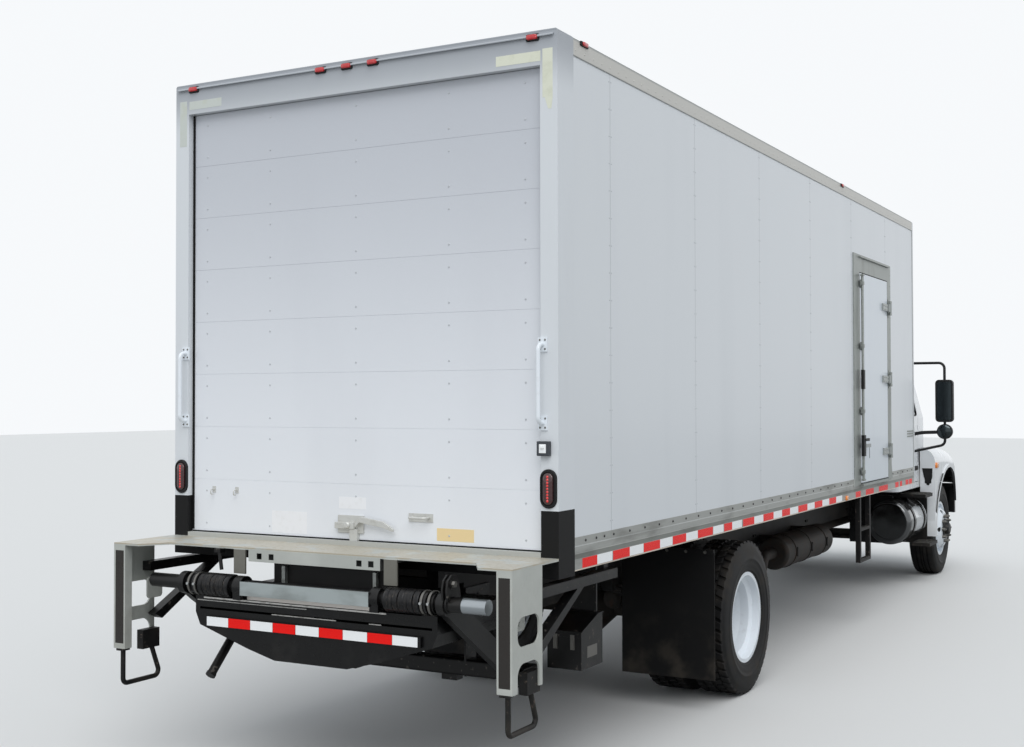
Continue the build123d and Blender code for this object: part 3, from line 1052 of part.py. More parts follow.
# The fold between platform and flip-over shows as a slit
platform -= block(PLATFORM_REAR_X - 1, PLATFORM_FRONT_X + 1, 30 - PLATFORM_HALF_WIDTH,
                  PLATFORM_HALF_WIDTH - 30,
                  platform_top - 77, platform_top - 65)
platform += block(ARM_EYE_X - 6, PLATFORM_REAR_X + 2, -665, 665, platform_top - 160, platform_top - 110)
platform += block(ARM_EYE_X - 12, PLATFORM_REAR_X + 2, -665, 665, platform_top - 9, platform_top + 14)
LUG_Y = (400.0, 450.0)
HEEL_GAP = 9.0
for side in (-1, 1):
    lug_y = sorted((side * LUG_Y[0], side * LUG_Y[1]))
    lug = block(ARM_EYE_X - 48, ARM_EYE_X + 60, lug_y[0], lug_y[1], platform_top - 5, ARM_EYE_Z)
    lug += rod((ARM_EYE_X, lug_y[0], ARM_EYE_Z), (ARM_EYE_X, lug_y[1], ARM_EYE_Z), GATE_TUBE_RADIUS + 19)
    platform += lug
# The heel plate stands behind the gate tube and joins the lugs
heel_x = ARM_EYE_X - GATE_TUBE_RADIUS - HEEL_GAP
platform += block(heel_x - 8, heel_x, -LUG_Y[0] - 5, LUG_Y[0] + 5, ARM_EYE_Z - 36, ARM_EYE_Z + 34)
platform -= rod((ARM_EYE_X, -PLATFORM_HALF_WIDTH, ARM_EYE_Z), (ARM_EYE_X, PLATFORM_HALF_WIDTH, ARM_EYE_Z),
                GATE_TUBE_RADIUS + PIN_GAP)
for side in (-1, 1):
    spring_y = sorted((side * (LUG_Y[1] + 5), side * PLATFORM_HALF_WIDTH))
    platform -= rod((ARM_EYE_X, spring_y[0], ARM_EYE_Z), (ARM_EYE_X, spring_y[1], ARM_EYE_Z),
                    GATE_TUBE_RADIUS + 2 * SPRING_WIRE + 6)
save("gate_platform", platform)

# Steps: cab steps, the ladder below the curbside door, and loops below the gate posts

LADDER_X = (5800.0 - 5720.0, 6133.0 - 5720.0)
LADDER_Y = HALF_WIDTH - 39
LADDER_TUBE = 40.0
LADDER_BOTTOM = CROSSMEMBER_BOTTOM - 577
ladder_half = LADDER_TUBE / 2
ladder_rear, ladder_front = (SIDE_DOOR_REAR + offset for offset in LADDER_X)
ladder = None
for leg_x in (ladder_rear, ladder_front):
    leg = block(leg_x - ladder_half, leg_x + ladder_half, -LADDER_Y - ladder_half, -LADDER_Y + ladder_half,
                LADDER_BOTTOM, LOWER_RAIL_BOTTOM)
    ladder = leg if ladder is None else ladder + leg
for rung_z in (LADDER_BOTTOM, LADDER_BOTTOM + 270):
    ladder += block(ladder_rear, ladder_front, -LADDER_Y - ladder_half, -LADDER_Y + ladder_half, rung_z,
                    rung_z + 25)
LOOP_BOTTOM = post_bottom - 192
loop_y = post_outer - 39
loop_rear = -GATE_OVERHANG + 30
loop = bent_bar([(loop_rear, loop_y, post_bottom), (loop_rear, loop_y, LOOP_BOTTOM),
                 (-155, loop_y, LOOP_BOTTOM),
                 (-240, loop_y, post_bottom + 25)], 13, 30)
loop += block(-300, GATE_POST_FRONT_X - 5, loop_y - 15, post_outer - GATE_POST_THICKNESS - SEAT_GAP,
              post_bottom - 30, post_bottom + 73)
loop += block(-GATE_OVERHANG, loop_rear + 20, loop_y - 30, loop_y + 20, post_bottom - 12, post_bottom)
save("steps", cab_step(1), cab_step(-1), ladder, loop, mirrored(loop))

# Mudflaps behind the twin wheels

FLAP_SETBACK = 660.0
FLAP_BOTTOM = 205.0
flap_x = REAR_AXLE_X - FLAP_SETBACK
flap_inner = DUAL_PLANE_Y - 330
flap = block(flap_x, flap_x + 8, flap_inner, flap_inner + 630, FLAP_BOTTOM, FRAME_TOP + 15)
flap += block(flap_x - 4, flap_x + 26, rail_outer, flap_inner + 625, FRAME_TOP, FRAME_TOP + 35)
save("mudflaps", flap, mirrored(flap))


# Cab: one loft through rounded plans from floor to roof, hollowed by the same loft set in

def cab_form(inset):
    """Cab body; inset moves every face inwards. Plans are height, front, back, half width, corner."""
    half = CAB_WIDTH / 2
    plans = (
        (CAB_FLOOR + inset, COWL_X, CAB_BACK_X, half, CAB_CORNER),
        (CAB_BELT, COWL_X, CAB_BACK_X, half, CAB_CORNER),
        (COWL_TOP + 0.4 * inset, COWL_X - 40, CAB_BACK_X, half - 3, CAB_CORNER),
        (CAB_ROOF - 120 - 0.6 * inset, WINDSHIELD_TOP_X + 20, CAB_BACK_X + 12, half - CAB_TUMBLEHOME,
         CAB_CORNER),
        (CAB_ROOF - 40 - inset, WINDSHIELD_TOP_X - 50, CAB_BACK_X + 50, half - CAB_TUMBLEHOME - 50,
         CAB_CORNER),
        (CAB_ROOF - inset, WINDSHIELD_TOP_X - 150, CAB_BACK_X + 130, half - CAB_TUMBLEHOME - 140,
         CAB_CORNER - 10),
    )
    sections = []
    for height, front, back, plan_half, radius in plans:
        plan = RectangleRounded(front - back - 2 * inset, 2 * (plan_half - inset), radius - inset)
        sections.append(Pos(REAR + (front + back) / 2, 0, height) * plan)
    return loft(sections, ruled=True)


def door_outline(inset):
    return outline([
        (DOOR_REAR_X + inset, DOOR_BOTTOM + inset), (DOOR_FRONT_X - inset, DOOR_BOTTOM + inset),
        (DOOR_FRONT_X - inset, COWL_TOP), (DOOR_FRONT_X - 210 - inset, DOOR_TOP - inset),
        (DOOR_REAR_X + inset, DOOR_TOP - inset),
    ])


def window_outline(inset):
    return outline([
        (DOOR_REAR_X + 90 + inset, CAB_BELT + 30 + inset), (DOOR_FRONT_X - 90 - inset, CAB_BELT + 30 + inset),
        (DOOR_FRONT_X - 100 - inset, COWL_TOP + 40), (DOOR_FRONT_X - 280 - inset, DOOR_TOP - 70 - inset),
        (DOOR_REAR_X + 90 + inset, DOOR_TOP - 70 - inset),
    ], 35)


half_cab = CAB_WIDTH / 2
WINDSHIELD = outline([
    (155 - half_cab, COWL_TOP + 60), (half_cab - 155, COWL_TOP + 60), (half_cab - 255, DOOR_TOP - 60),
    (255 - half_cab, DOOR_TOP - 60),
], 60)
REAR_WINDOW = rect(-620, 620, COWL_TOP + 40, DOOR_TOP - 200, 60)
outer_form = cab_form(0)
inner_form = cab_form(CAB_WALL)
pane_form = cab_form(GLASS_INSET) - cab_form(GLASS_INSET + GLASS_THICKNESS)
shell = outer_form - inner_form
windshield_tool = along_x(WINDSHIELD, COWL_X - 720, COWL_X + 50)
rear_window_tool = along_x(REAR_WINDOW, CAB_BACK_X - 50, CAB_BACK_X + 200)
cab_shell = shell - windshield_tool - rear_window_tool
opening_tool = along_y(door_outline(0), -half_cab - 10, half_cab + 10)
cab_shell -= opening_tool
MOUNT_HALF = 450.0
cab_shell += block(CAB_BACK_X + 5, COWL_X - 5, -MOUNT_HALF, MOUNT_HALF, FRAME_TOP, CAB_FLOOR + 5) - block(
    CAB_BACK_X + 200, COWL_X - 200, 110 - MOUNT_HALF, MOUNT_HALF - 110, FRAME_TOP - 1, CAB_FLOOR - 1)
DOOR_HINGE_X = DOOR_FRONT_X - 14
DOOR_HINGE_Y = half_cab - 6
DOOR_PIN_RADIUS = 6.0
DOOR_HINGE_HEIGHTS = (CAB_FLOOR + 220, CAB_BELT - 140)

door_tool = along_y(door_outline(DOOR_GAP), half_cab - 400, half_cab + 10)
window_tool = along_y(window_outline(0), half_cab - 400, half_cab + 10)
glass_tool = along_y(window_outline(SEAT_GAP), half_cab - 400, half_cab + 10)
door_left = (outer_form & door_tool) - inner_form - window_tool
door_glass = pane_form & glass_tool
for hinge_z in DOOR_HINGE_HEIGHTS:
    low = (DOOR_HINGE_X, DOOR_HINGE_Y, hinge_z - 50)
    high = (DOOR_HINGE_X, DOOR_HINGE_Y, hinge_z + 50)
    pocket = block(DOOR_HINGE_X - 14, DOOR_FRONT_X + 1, half_cab - CAB_WALL - 5, half_cab + 1, hinge_z - 60,
                   hinge_z + 60)
    door_left -= pocket
    eye = rod((DOOR_HINGE_X, DOOR_HINGE_Y, hinge_z - 22), (DOOR_HINGE_X, DOOR_HINGE_Y, hinge_z + 22), 13)
    eye += block(DOOR_HINGE_X - 26, DOOR_HINGE_X, DOOR_HINGE_Y - 12, DOOR_HINGE_Y, hinge_z - 22, hinge_z + 22)
    eye -= rod((DOOR_HINGE_X, DOOR_HINGE_Y, hinge_z - 30), (DOOR_HINGE_X, DOOR_HINGE_Y, hinge_z + 30),
               DOOR_PIN_RADIUS + PIN_GAP)
    door_left += eye
    jamb_pin = rod(low, high, DOOR_PIN_RADIUS)
    for lug_low in (hinge_z - 50, hinge_z + 28):
        jamb_pin += rod((DOOR_HINGE_X, DOOR_HINGE_Y, lug_low), (DOOR_HINGE_X, DOOR_HINGE_Y, lug_low + 22), 12)
        jamb_pin += block(DOOR_HINGE_X, DOOR_FRONT_X + 8, DOOR_HINGE_Y - 30, DOOR_HINGE_Y - 2, lug_low,
                          lug_low + 22)
    cab_shell += jamb_pin
    cab_shell += mirrored(jamb_pin)
save("cab_shell", cab_shell)
save("cab_glass", pane_form & windshield_tool, pane_form & rear_window_tool)
save("cab_door_left", door_left)
save("cab_door_right", mirrored(door_left))
save("door_glass_left", door_glass)
save("door_glass_right", mirrored(door_glass))

# Mirrors on their door arms

MIRROR_X = DOOR_FRONT_X - 214
MIRROR_Y = half_cab + 325
MIRROR_HALF = 90.0
MIRROR_ARM_RADIUS = 14.0
mirror_low = CAB_BELT - 40
mirror_high = DOOR_TOP - 330
head_face = rect(MIRROR_Y - MIRROR_HALF, MIRROR_Y + MIRROR_HALF, mirror_low, mirror_high, 40)
mirror_head = along_x(head_face, MIRROR_X - 40, MIRROR_X + 30)
round_head = rod((MIRROR_X - 30, MIRROR_Y, mirror_low - 100), (MIRROR_X + 20, MIRROR_Y, mirror_low - 100), 80)
arm = bent_bar([(MIRROR_X, half_cab - 120, DOOR_TOP - 150), (MIRROR_X, MIRROR_Y, DOOR_TOP - 150),
                (MIRROR_X, MIRROR_Y, mirror_low - 240), (MIRROR_X, half_cab - 20, mirror_low - 320)],
               MIRROR_ARM_RADIUS, 60)
mirror_left = mirror_head + round_head + arm
mirror_left -= cab_form(-SEAT_GAP)
mirror_left = mirror_left.solids().sort_by(Axis.Y)[-1]
save("mirror_left", mirror_left)
save("mirror_right", mirrored(mirror_left))

# Cab interior: dash, seats, column and wheel

dash_rear = COWL_X - 340
dash_front = COWL_X - CAB_WALL
dash_low = CAB_FLOOR + 370
dash_high = COWL_TOP - 100
SEAT_Y = 450.0
STEERING_WHEEL_RADIUS = 225.0
dash = along_y(outline([(dash_rear, dash_low), (dash_front, dash_low), (dash_front, dash_high),
                        (dash_rear + 40, dash_high), (dash_rear - 30, dash_high - 80)], 20),
               CAB_CORNER - half_cab, half_cab - CAB_CORNER)
column = rod((dash_rear + 40, SEAT_Y, dash_low + 120), (dash_rear - 163, SEAT_Y, dash_low + 291), 32)
steering = Torus(STEERING_WHEEL_RADIUS, 16) + Cylinder(50, 30)
steering += Box(2 * STEERING_WHEEL_RADIUS - 10, 36, 16) + Box(36, 2 * STEERING_WHEEL_RADIUS - 10, 16)
steering = Pos(REAR + dash_rear - 165, SEAT_Y, dash_low + 292) * Rot(0, -50, 0) * steering
save("cab_interior", dash + column + steering)

seat_rear = CAB_BACK_X + 138
SEAT_HALF = 250.0
cushion_low = CAB_FLOOR + 290
seat_solids = []
for seat_y in (SEAT_Y, -SEAT_Y):
    base = block(seat_rear + 130, seat_rear + 580, seat_y - SEAT_HALF, seat_y + SEAT_HALF,
                 CAB_FLOOR + CAB_WALL,
                 cushion_low)
    cushion = along_y(rect(seat_rear + 90, seat_rear + 610, cushion_low, cushion_low + 140, 55),
                      seat_y - SEAT_HALF - 10, seat_y + SEAT_HALF + 10)
    back = along_y(outline([(seat_rear + 90, cushion_low + 90), (seat_rear + 200, cushion_low + 90),
                            (seat_rear + 100, cushion_low + 780), (seat_rear, cushion_low + 780)], 40),
                   seat_y - SEAT_HALF, seat_y + SEAT_HALF)
    seat_solids.append(base + cushion + back)
save("seats", *seat_solids)


# Hood and fenders: one tilting shell. Two lofts along the truck, the low wide one over the wheels and the
# narrow high one over the engine, are fused and then hollowed by the same lofts set in.
# Each section: x from the front axle, half width, top, corner radius
FENDER_SECTIONS = (
    (FENDER_REAR_X - FRONT_AXLE_X, 1188.0, 1430.0, 150.0), (-400.0, 1198.0, 1432.0, 160.0),
    (0.0, 1200.0, 1418.0, 165.0), (330.0, 1190.0, 1378.0, 165.0), (620.0, 1155.0, 1300.0, 150.0),
    (790.0, 1100.0, 1222.0, 130.0), (HOOD_FRONT_X - FRONT_AXLE_X, 1030.0, 1145.0, 115.0),
)
CENTRE_SECTIONS = (
    (HOOD_REAR_X - FRONT_AXLE_X, 800.0, 1800.0, 220.0), (240.0, 740.0, 1705.0, 200.0),
    (660.0, 665.0, 1540.0, 165.0), (820.0, 620.0, 1440.0, 140.0),
                   (HOOD_FRONT_X - FRONT_AXLE_X, 585.0, 1350.0, 110.0),
)
# The heights above were set on a wheel of this radius
SECTION_DATUM = 507.0


def hood_section(x, half, top, radius, bottom):
    """Upright section with two rounded top corners."""
    with BuildSketch() as section:
        with BuildLine():
            Polyline((radius - half, top), (half - radius, top))
            RadiusArc((half - radius, top), (half, top - radius), radius)
            Polyline((half, top - radius), (half, bottom), (-half, bottom), (-half, top - radius))
            RadiusArc((-half, top - radius), (radius - half, top), radius)
        make_face()
    return Plane.YZ.offset(REAR + x) * section.sketch


def hood_form(inset):
    """Both lofts fused; inset moves the skin inwards."""
    bottom = FENDER_LEG_BOTTOM - (80 if inset > 0 else 0)
    shapes = []
    for table in (FENDER_SECTIONS, CENTRE_SECTIONS):
        sections = []
        for index, (offset, half, top, radius) in enumerate(table):
            shift = inset if index == 0 else -inset if index == len(table) - 1 else 0
            if index == 0 and table is CENTRE_SECTIONS:
                shift = 0
            height = top + TYRE_RADIUS - SECTION_DATUM
            sections.append(hood_section(FRONT_AXLE_X + offset + shift, half - inset, height - inset,
                                         radius - inset, bottom))
        shapes.append(loft(sections, ruled=True))
    return shapes[0] + shapes[1]


arch_z = AXLE_Z + ARCH_RISE


def arch_tool(radius):
    """Wheel opening: a half round on straight sides, right through."""
    face = Pos(FRONT_AXLE_X, arch_z) * Circle(radius) + rect(FRONT_AXLE_X - radius, FRONT_AXLE_X + radius,
                                                            FENDER_LEG_BOTTOM - 150, arch_z)
    return along_y(face, -HALF_WIDTH, HALF_WIDTH)


inner_hood = hood_form(HOOD_SKIN)
hood = hood_form(0) - inner_hood
flare = hood_form(-ARCH_LIP) & (arch_tool(ARCH_RADIUS + 34) - arch_tool(ARCH_RADIUS - 5))
hood = hood + (flare - inner_hood)
hood -= arch_tool(ARCH_RADIUS)
NOSE_BOTTOM = FRAME_TOP - 10
hood -= along_y(outline([
    (FRONT_AXLE_X, 200), (FRONT_AXLE_X, NOSE_BOTTOM - 195), (HOOD_FRONT_X - 200, NOSE_BOTTOM - 195),
    (HOOD_FRONT_X - 100, NOSE_BOTTOM), (HOOD_FRONT_X + 30, NOSE_BOTTOM), (HOOD_FRONT_X + 30, 200),
]), -HALF_WIDTH, HALF_WIDTH)
# The cab stands inside the rear of the hood, clear of its skin, and the rear wall stops above the steps
cab_side = half_cab + 15
leg_inner = FENDER_SECTIONS[0][1] - FENDER_LEG_WIDTH
wall_bottom = FRAME_TOP - 85
hood -= block(FENDER_REAR_X - 50, HOOD_REAR_X, -cab_side, cab_side, FENDER_LEG_BOTTOM - 150, CAB_ROOF)
for side in (-1, 1):
    cut_y = sorted((side * (cab_side - 1), side * leg_inner))
    hood -= block(FENDER_REAR_X - 50, FENDER_REAR_X + 60, cut_y[0], cut_y[1], FENDER_LEG_BOTTOM - 150,
                  wall_bottom)
    vent_y = sorted((side * (leg_inner - 25), side * (leg_inner + 45)))
    hood -= block(FENDER_REAR_X - 5, FENDER_REAR_X + 40, vent_y[0], vent_y[1], wall_bottom + 150,
                  wall_bottom + 285)
hood = hood.solids().sort_by(SortBy.VOLUME)[-1]


# Grille, headlamps and bumper

GRILLE_HALF = 430.0
GRILLE_Z = (NOSE_BOTTOM + 35, NOSE_BOTTOM + 315)
GRILLE_BARS = 4
grille_hole = along_x(rect(-GRILLE_HALF, GRILLE_HALF, GRILLE_Z[0], GRILLE_Z[1], 40), HOOD_FRONT_X - 60,
                      HOOD_FRONT_X + 20)
LAMP_Y = (640.0, 900.0)
LAMP_Z = (NOSE_BOTTOM + 25, NOSE_BOTTOM + 115)
lamp_hole = along_x(rect(LAMP_Y[0], LAMP_Y[1], LAMP_Z[0], LAMP_Z[1], 30), HOOD_FRONT_X - 60,
                    HOOD_FRONT_X + 20)
hood = hood - grille_hole - lamp_hole - mirrored(lamp_hole)
hinge_arm_y = (300.0, 340.0)
HOOD_PIN_RADIUS = 10.0
for side in (-1, 1):
    arm_y = sorted((side * hinge_arm_y[0], side * hinge_arm_y[1]))
    hood_arm = block(HOOD_FRONT_X - HOOD_SKIN - 14, HOOD_FRONT_X - 1, arm_y[0], arm_y[1], HOOD_HINGE_Z,
                     GRILLE_Z[0])
    hood_arm += rod((HOOD_HINGE_X, arm_y[0], HOOD_HINGE_Z), (HOOD_HINGE_X, arm_y[1], HOOD_HINGE_Z), 22)
    hood += hood_arm
    hood -= rod((HOOD_HINGE_X, arm_y[0] - 1, HOOD_HINGE_Z), (HOOD_HINGE_X, arm_y[1] + 1, HOOD_HINGE_Z),
                HOOD_PIN_RADIUS + PIN_GAP)
save("hood", hood)

GRILLE_FRAME = 26.0
grille_ring = rect(SEAT_GAP - GRILLE_HALF, GRILLE_HALF - SEAT_GAP, GRILLE_Z[0] + SEAT_GAP,
                   GRILLE_Z[1] - SEAT_GAP, 40)
grille_ring -= rect(GRILLE_FRAME - GRILLE_HALF, GRILLE_HALF - GRILLE_FRAME, GRILLE_Z[0] + GRILLE_FRAME,
                    GRILLE_Z[1] - GRILLE_FRAME, 20)
grille = along_x(grille_ring, HOOD_FRONT_X - 34, HOOD_FRONT_X - 2)
grille_step = (GRILLE_Z[1] - GRILLE_Z[0] - 2 * GRILLE_FRAME) / (GRILLE_BARS + 1)
for bar_index in range(1, GRILLE_BARS + 1):
    bar_z = GRILLE_Z[0] + GRILLE_FRAME + bar_index * grille_step
    grille += block(HOOD_FRONT_X - 30, HOOD_FRONT_X - 8, 20 - GRILLE_HALF, GRILLE_HALF - 20, bar_z - 9,
                    bar_z + 9)
save("grille", grille)

headlamp = along_x(rect(LAMP_Y[0] + SEAT_GAP, LAMP_Y[1] - SEAT_GAP, LAMP_Z[0] + SEAT_GAP,
                        LAMP_Z[1] - SEAT_GAP, 30),
                   HOOD_FRONT_X - 50, HOOD_FRONT_X - 3)
save("headlamps", headlamp, mirrored(headlamp))

BUMPER_HALF = 1105.0
BUMPER_FLAT_HALF = 720.0
bumper_plan = outline([
    (HOOD_HINGE_X + 65, -BUMPER_FLAT_HALF), (HOOD_HINGE_X + 65, BUMPER_FLAT_HALF),
                       (NOSE_X - 170, BUMPER_HALF),
    (NOSE_X - 110, BUMPER_HALF), (NOSE_X, BUMPER_FLAT_HALF), (NOSE_X, -BUMPER_FLAT_HALF),
    (NOSE_X - 110, -BUMPER_HALF), (NOSE_X - 170, -BUMPER_HALF),
])
bumper_inner = outline([
    (HOOD_HINGE_X - 60, 60 - BUMPER_HALF), (HOOD_HINGE_X - 60, BUMPER_HALF - 60),
                        (NOSE_X - 112, BUMPER_HALF - 60),
    (NOSE_X - 10, BUMPER_FLAT_HALF - 5), (NOSE_X - 10, 5 - BUMPER_FLAT_HALF),
                        (NOSE_X - 112, 60 - BUMPER_HALF),
])
bumper = along_z(bumper_plan, BUMPER_BOTTOM, BUMPER_TOP)
bumper -= along_z(bumper_inner, BUMPER_BOTTOM + 12, BUMPER_TOP - 12)
# Pressed rib along the bumper's face
bumper += block(NOSE_X - 8, NOSE_X, 40 - BUMPER_FLAT_HALF, BUMPER_FLAT_HALF - 40, BUMPER_TOP - 120,
                BUMPER_TOP - 60)
for side in (-1, 1):
    horn_y = sorted((side * rail_inner, side * (rail_outer - FRAME_RAIL_WALL)))
    bumper += block(FRAME_FRONT_X, NOSE_X - 8, horn_y[0], horn_y[1], BUMPER_BOTTOM + 110, BUMPER_TOP - 80)
    for ear in ((hinge_arm_y[0] - 18, hinge_arm_y[0] - 6), (hinge_arm_y[1] + 6, hinge_arm_y[1] + 18)):
        ear_y = sorted((side * ear[0], side * ear[1]))
        bumper += block(HOOD_HINGE_X - 20, NOSE_X - 8, ear_y[0], ear_y[1], HOOD_HINGE_Z - 60,
                        HOOD_HINGE_Z - 24)
        bumper += block(HOOD_HINGE_X - 20, HOOD_HINGE_X + 20, ear_y[0], ear_y[1], HOOD_HINGE_Z - 60,
                        HOOD_HINGE_Z + 18)
    pin_y = sorted((side * (hinge_arm_y[0] - 18), side * (hinge_arm_y[1] + 18)))
    bumper += rod((HOOD_HINGE_X, pin_y[0], HOOD_HINGE_Z), (HOOD_HINGE_X, pin_y[1], HOOD_HINGE_Z),
                  HOOD_PIN_RADIUS)
save("front_bumper", bumper)

# Grab handles and lamps

HANDLE_Y = HALF_WIDTH - 82
HANDLE_Z = (DECK_TOP + 647, DECK_TOP + 1025)
handle = bent_bar([(-2, HANDLE_Y, HANDLE_Z[0]), (-52, HANDLE_Y, HANDLE_Z[0]), (-52, HANDLE_Y, HANDLE_Z[1]),
                   (-2, HANDLE_Y, HANDLE_Z[1])], 11, 30)
for pad_z in HANDLE_Z:
    handle += block(-7, -SEAT_GAP, HANDLE_Y - 25, HANDLE_Y + 25, pad_z - 35, pad_z + 35)
save("grab_handles", handle, mirrored(handle))

TAIL_LAMP_Y = HALF_WIDTH - 52
TAIL_LAMP_Z = (DECK_TOP + 237, DECK_TOP + 426)
header_lamp_z = BODY_TOP - 32
MARKER_LENGTH = 60.0
lamp_solids = []
for side in (-1, 1):
    lamp_solids.append(along_x(rect(side * TAIL_LAMP_Y - 43, side * TAIL_LAMP_Y + 43, TAIL_LAMP_Z[0],
                                    TAIL_LAMP_Z[1],
                                    42), -22, -SEAT_GAP))
for lamp_y in (134 - HALF_WIDTH, -143.0, 23.0, 194.0, HALF_WIDTH - 134):
    lamp_solids.append(along_x(rect(lamp_y - 32, lamp_y + 32, header_lamp_z - 13, header_lamp_z + 13, 12),
                               -16,
                               -SEAT_GAP))
marker_places = ((294.0, BODY_TOP - 24), (REAR_AXLE_X + 2335, BODY_TOP - 24),
                 (REAR_AXLE_X + 2408, LOWER_RAIL_BOTTOM + 24))
for lamp_x, lamp_z in marker_places:
    marker = along_y(rect(lamp_x - MARKER_LENGTH / 2, lamp_x + MARKER_LENGTH / 2, lamp_z - 12, lamp_z + 12,
                          11),
                     HALF_WIDTH + SEAT_GAP, HALF_WIDTH + 15)
    lamp_solids.append(marker)
    lamp_solids.append(mirrored(marker))
save("lamps", *lamp_solids)
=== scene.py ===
"""Looks for the box truck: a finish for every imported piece, and the tread, fasteners, tape,
lamps, door furniture and gate hardware that the solids leave out. Everything is in metres
in the truck's own frame: X forward, Y to its left, Z up, the ground at zero."""
import math

import bmesh
import bpy
from mathutils import Matrix, Vector


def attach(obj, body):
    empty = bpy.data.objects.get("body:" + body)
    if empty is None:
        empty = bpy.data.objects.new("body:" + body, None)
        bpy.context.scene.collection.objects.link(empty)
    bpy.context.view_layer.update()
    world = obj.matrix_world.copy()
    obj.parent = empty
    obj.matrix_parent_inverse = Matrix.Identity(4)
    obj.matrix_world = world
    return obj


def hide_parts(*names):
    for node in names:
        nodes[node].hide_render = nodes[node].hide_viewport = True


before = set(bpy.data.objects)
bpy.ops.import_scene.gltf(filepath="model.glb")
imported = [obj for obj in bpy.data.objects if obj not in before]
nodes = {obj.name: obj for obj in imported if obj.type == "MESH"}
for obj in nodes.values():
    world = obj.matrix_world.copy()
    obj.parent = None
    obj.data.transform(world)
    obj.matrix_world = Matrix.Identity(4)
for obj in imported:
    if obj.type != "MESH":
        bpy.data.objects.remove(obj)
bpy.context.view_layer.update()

# Viewpoint: behind the truck on its right, at standing height, with a lens of about 46 mm
# on full frame. Yaw turns from straight ahead towards the truck's left.
REAR = -5.160  # the body's rear face; places below are written forward from it
EYE = Vector((REAR - 5.593, -4.058, 1.953))
YAW, PITCH, ROLL = 0.505, 0.021, -0.002
FOCAL_PIXELS = 1310.8
PICTURE_WIDTH = 1024
ahead = Vector((math.cos(PITCH) * math.cos(YAW), math.cos(PITCH) * math.sin(YAW), math.sin(PITCH)))
level = ahead.cross(Vector((0, 0, 1))).normalized()
upright = level.cross(ahead)
camera_right = level * math.cos(ROLL) + upright * math.sin(ROLL)
camera_up = upright * math.cos(ROLL) - level * math.sin(ROLL)
camera_data = bpy.data.cameras.new("viewpoint")
camera_data.sensor_width = 36.0
camera_data.lens = FOCAL_PIXELS / PICTURE_WIDTH * camera_data.sensor_width
camera = bpy.data.objects.new("viewpoint", camera_data)
turn = Matrix((camera_right, camera_up, -ahead)).transposed().to_4x4()
camera.matrix_world = Matrix.Translation(EYE) @ turn
bpy.context.scene.collection.objects.link(camera)
bpy.context.scene.camera = camera
bpy.context.scene.view_settings.view_transform = "Standard"


# Ground and light: a plain pale floor under an even pale sky, with one broad soft lamp high
# behind the truck's right rear corner. The sky is white where the camera, a gloss or a glass
# sees it, and softer where it lights the truck.
class Reading:
    """A number that changes over a surface, so that a mask is written as a sum."""

    def __init__(self, finish, socket):
        self.finish = finish
        self.socket = socket

    def __add__(self, other):
        return self.finish.maths("ADD", self, other)

    def __sub__(self, other):
        return self.finish.maths("SUBTRACT", self, other)

    def __rsub__(self, other):
        return self.finish.maths("SUBTRACT", other, self)

    def __mul__(self, other):
        return self.finish.maths("MULTIPLY", self, other)

    def __gt__(self, other):
        return self.finish.maths("GREATER_THAN", self, other)

    def __lt__(self, other):
        return self.finish.maths("LESS_THAN", self, other)

    __radd__ = __add__
    __rmul__ = __mul__

    def size(self):
        return self.finish.maths("ABSOLUTE", self)

    def wave(self):
        return self.finish.maths("SINE", self)

    def repeat(self, pitch):
        """Distance from the nearest whole multiple of the pitch."""
        return self.finish.maths("PINGPONG", self, pitch / 2)

    def higher(self, other):
        return self.finish.maths("MAXIMUM", self, other)

    def rise(self, low, high):
        """0 below low, 1 above high, smooth between; low may be the larger."""
        settings = {"interpolation_type": "SMOOTHSTEP"}
        values = {"Value": self, "From Min": low, "From Max": high}
        made = self.finish.node("ShaderNodeMapRange", settings, values)
        return Reading(self.finish, made.outputs[0])


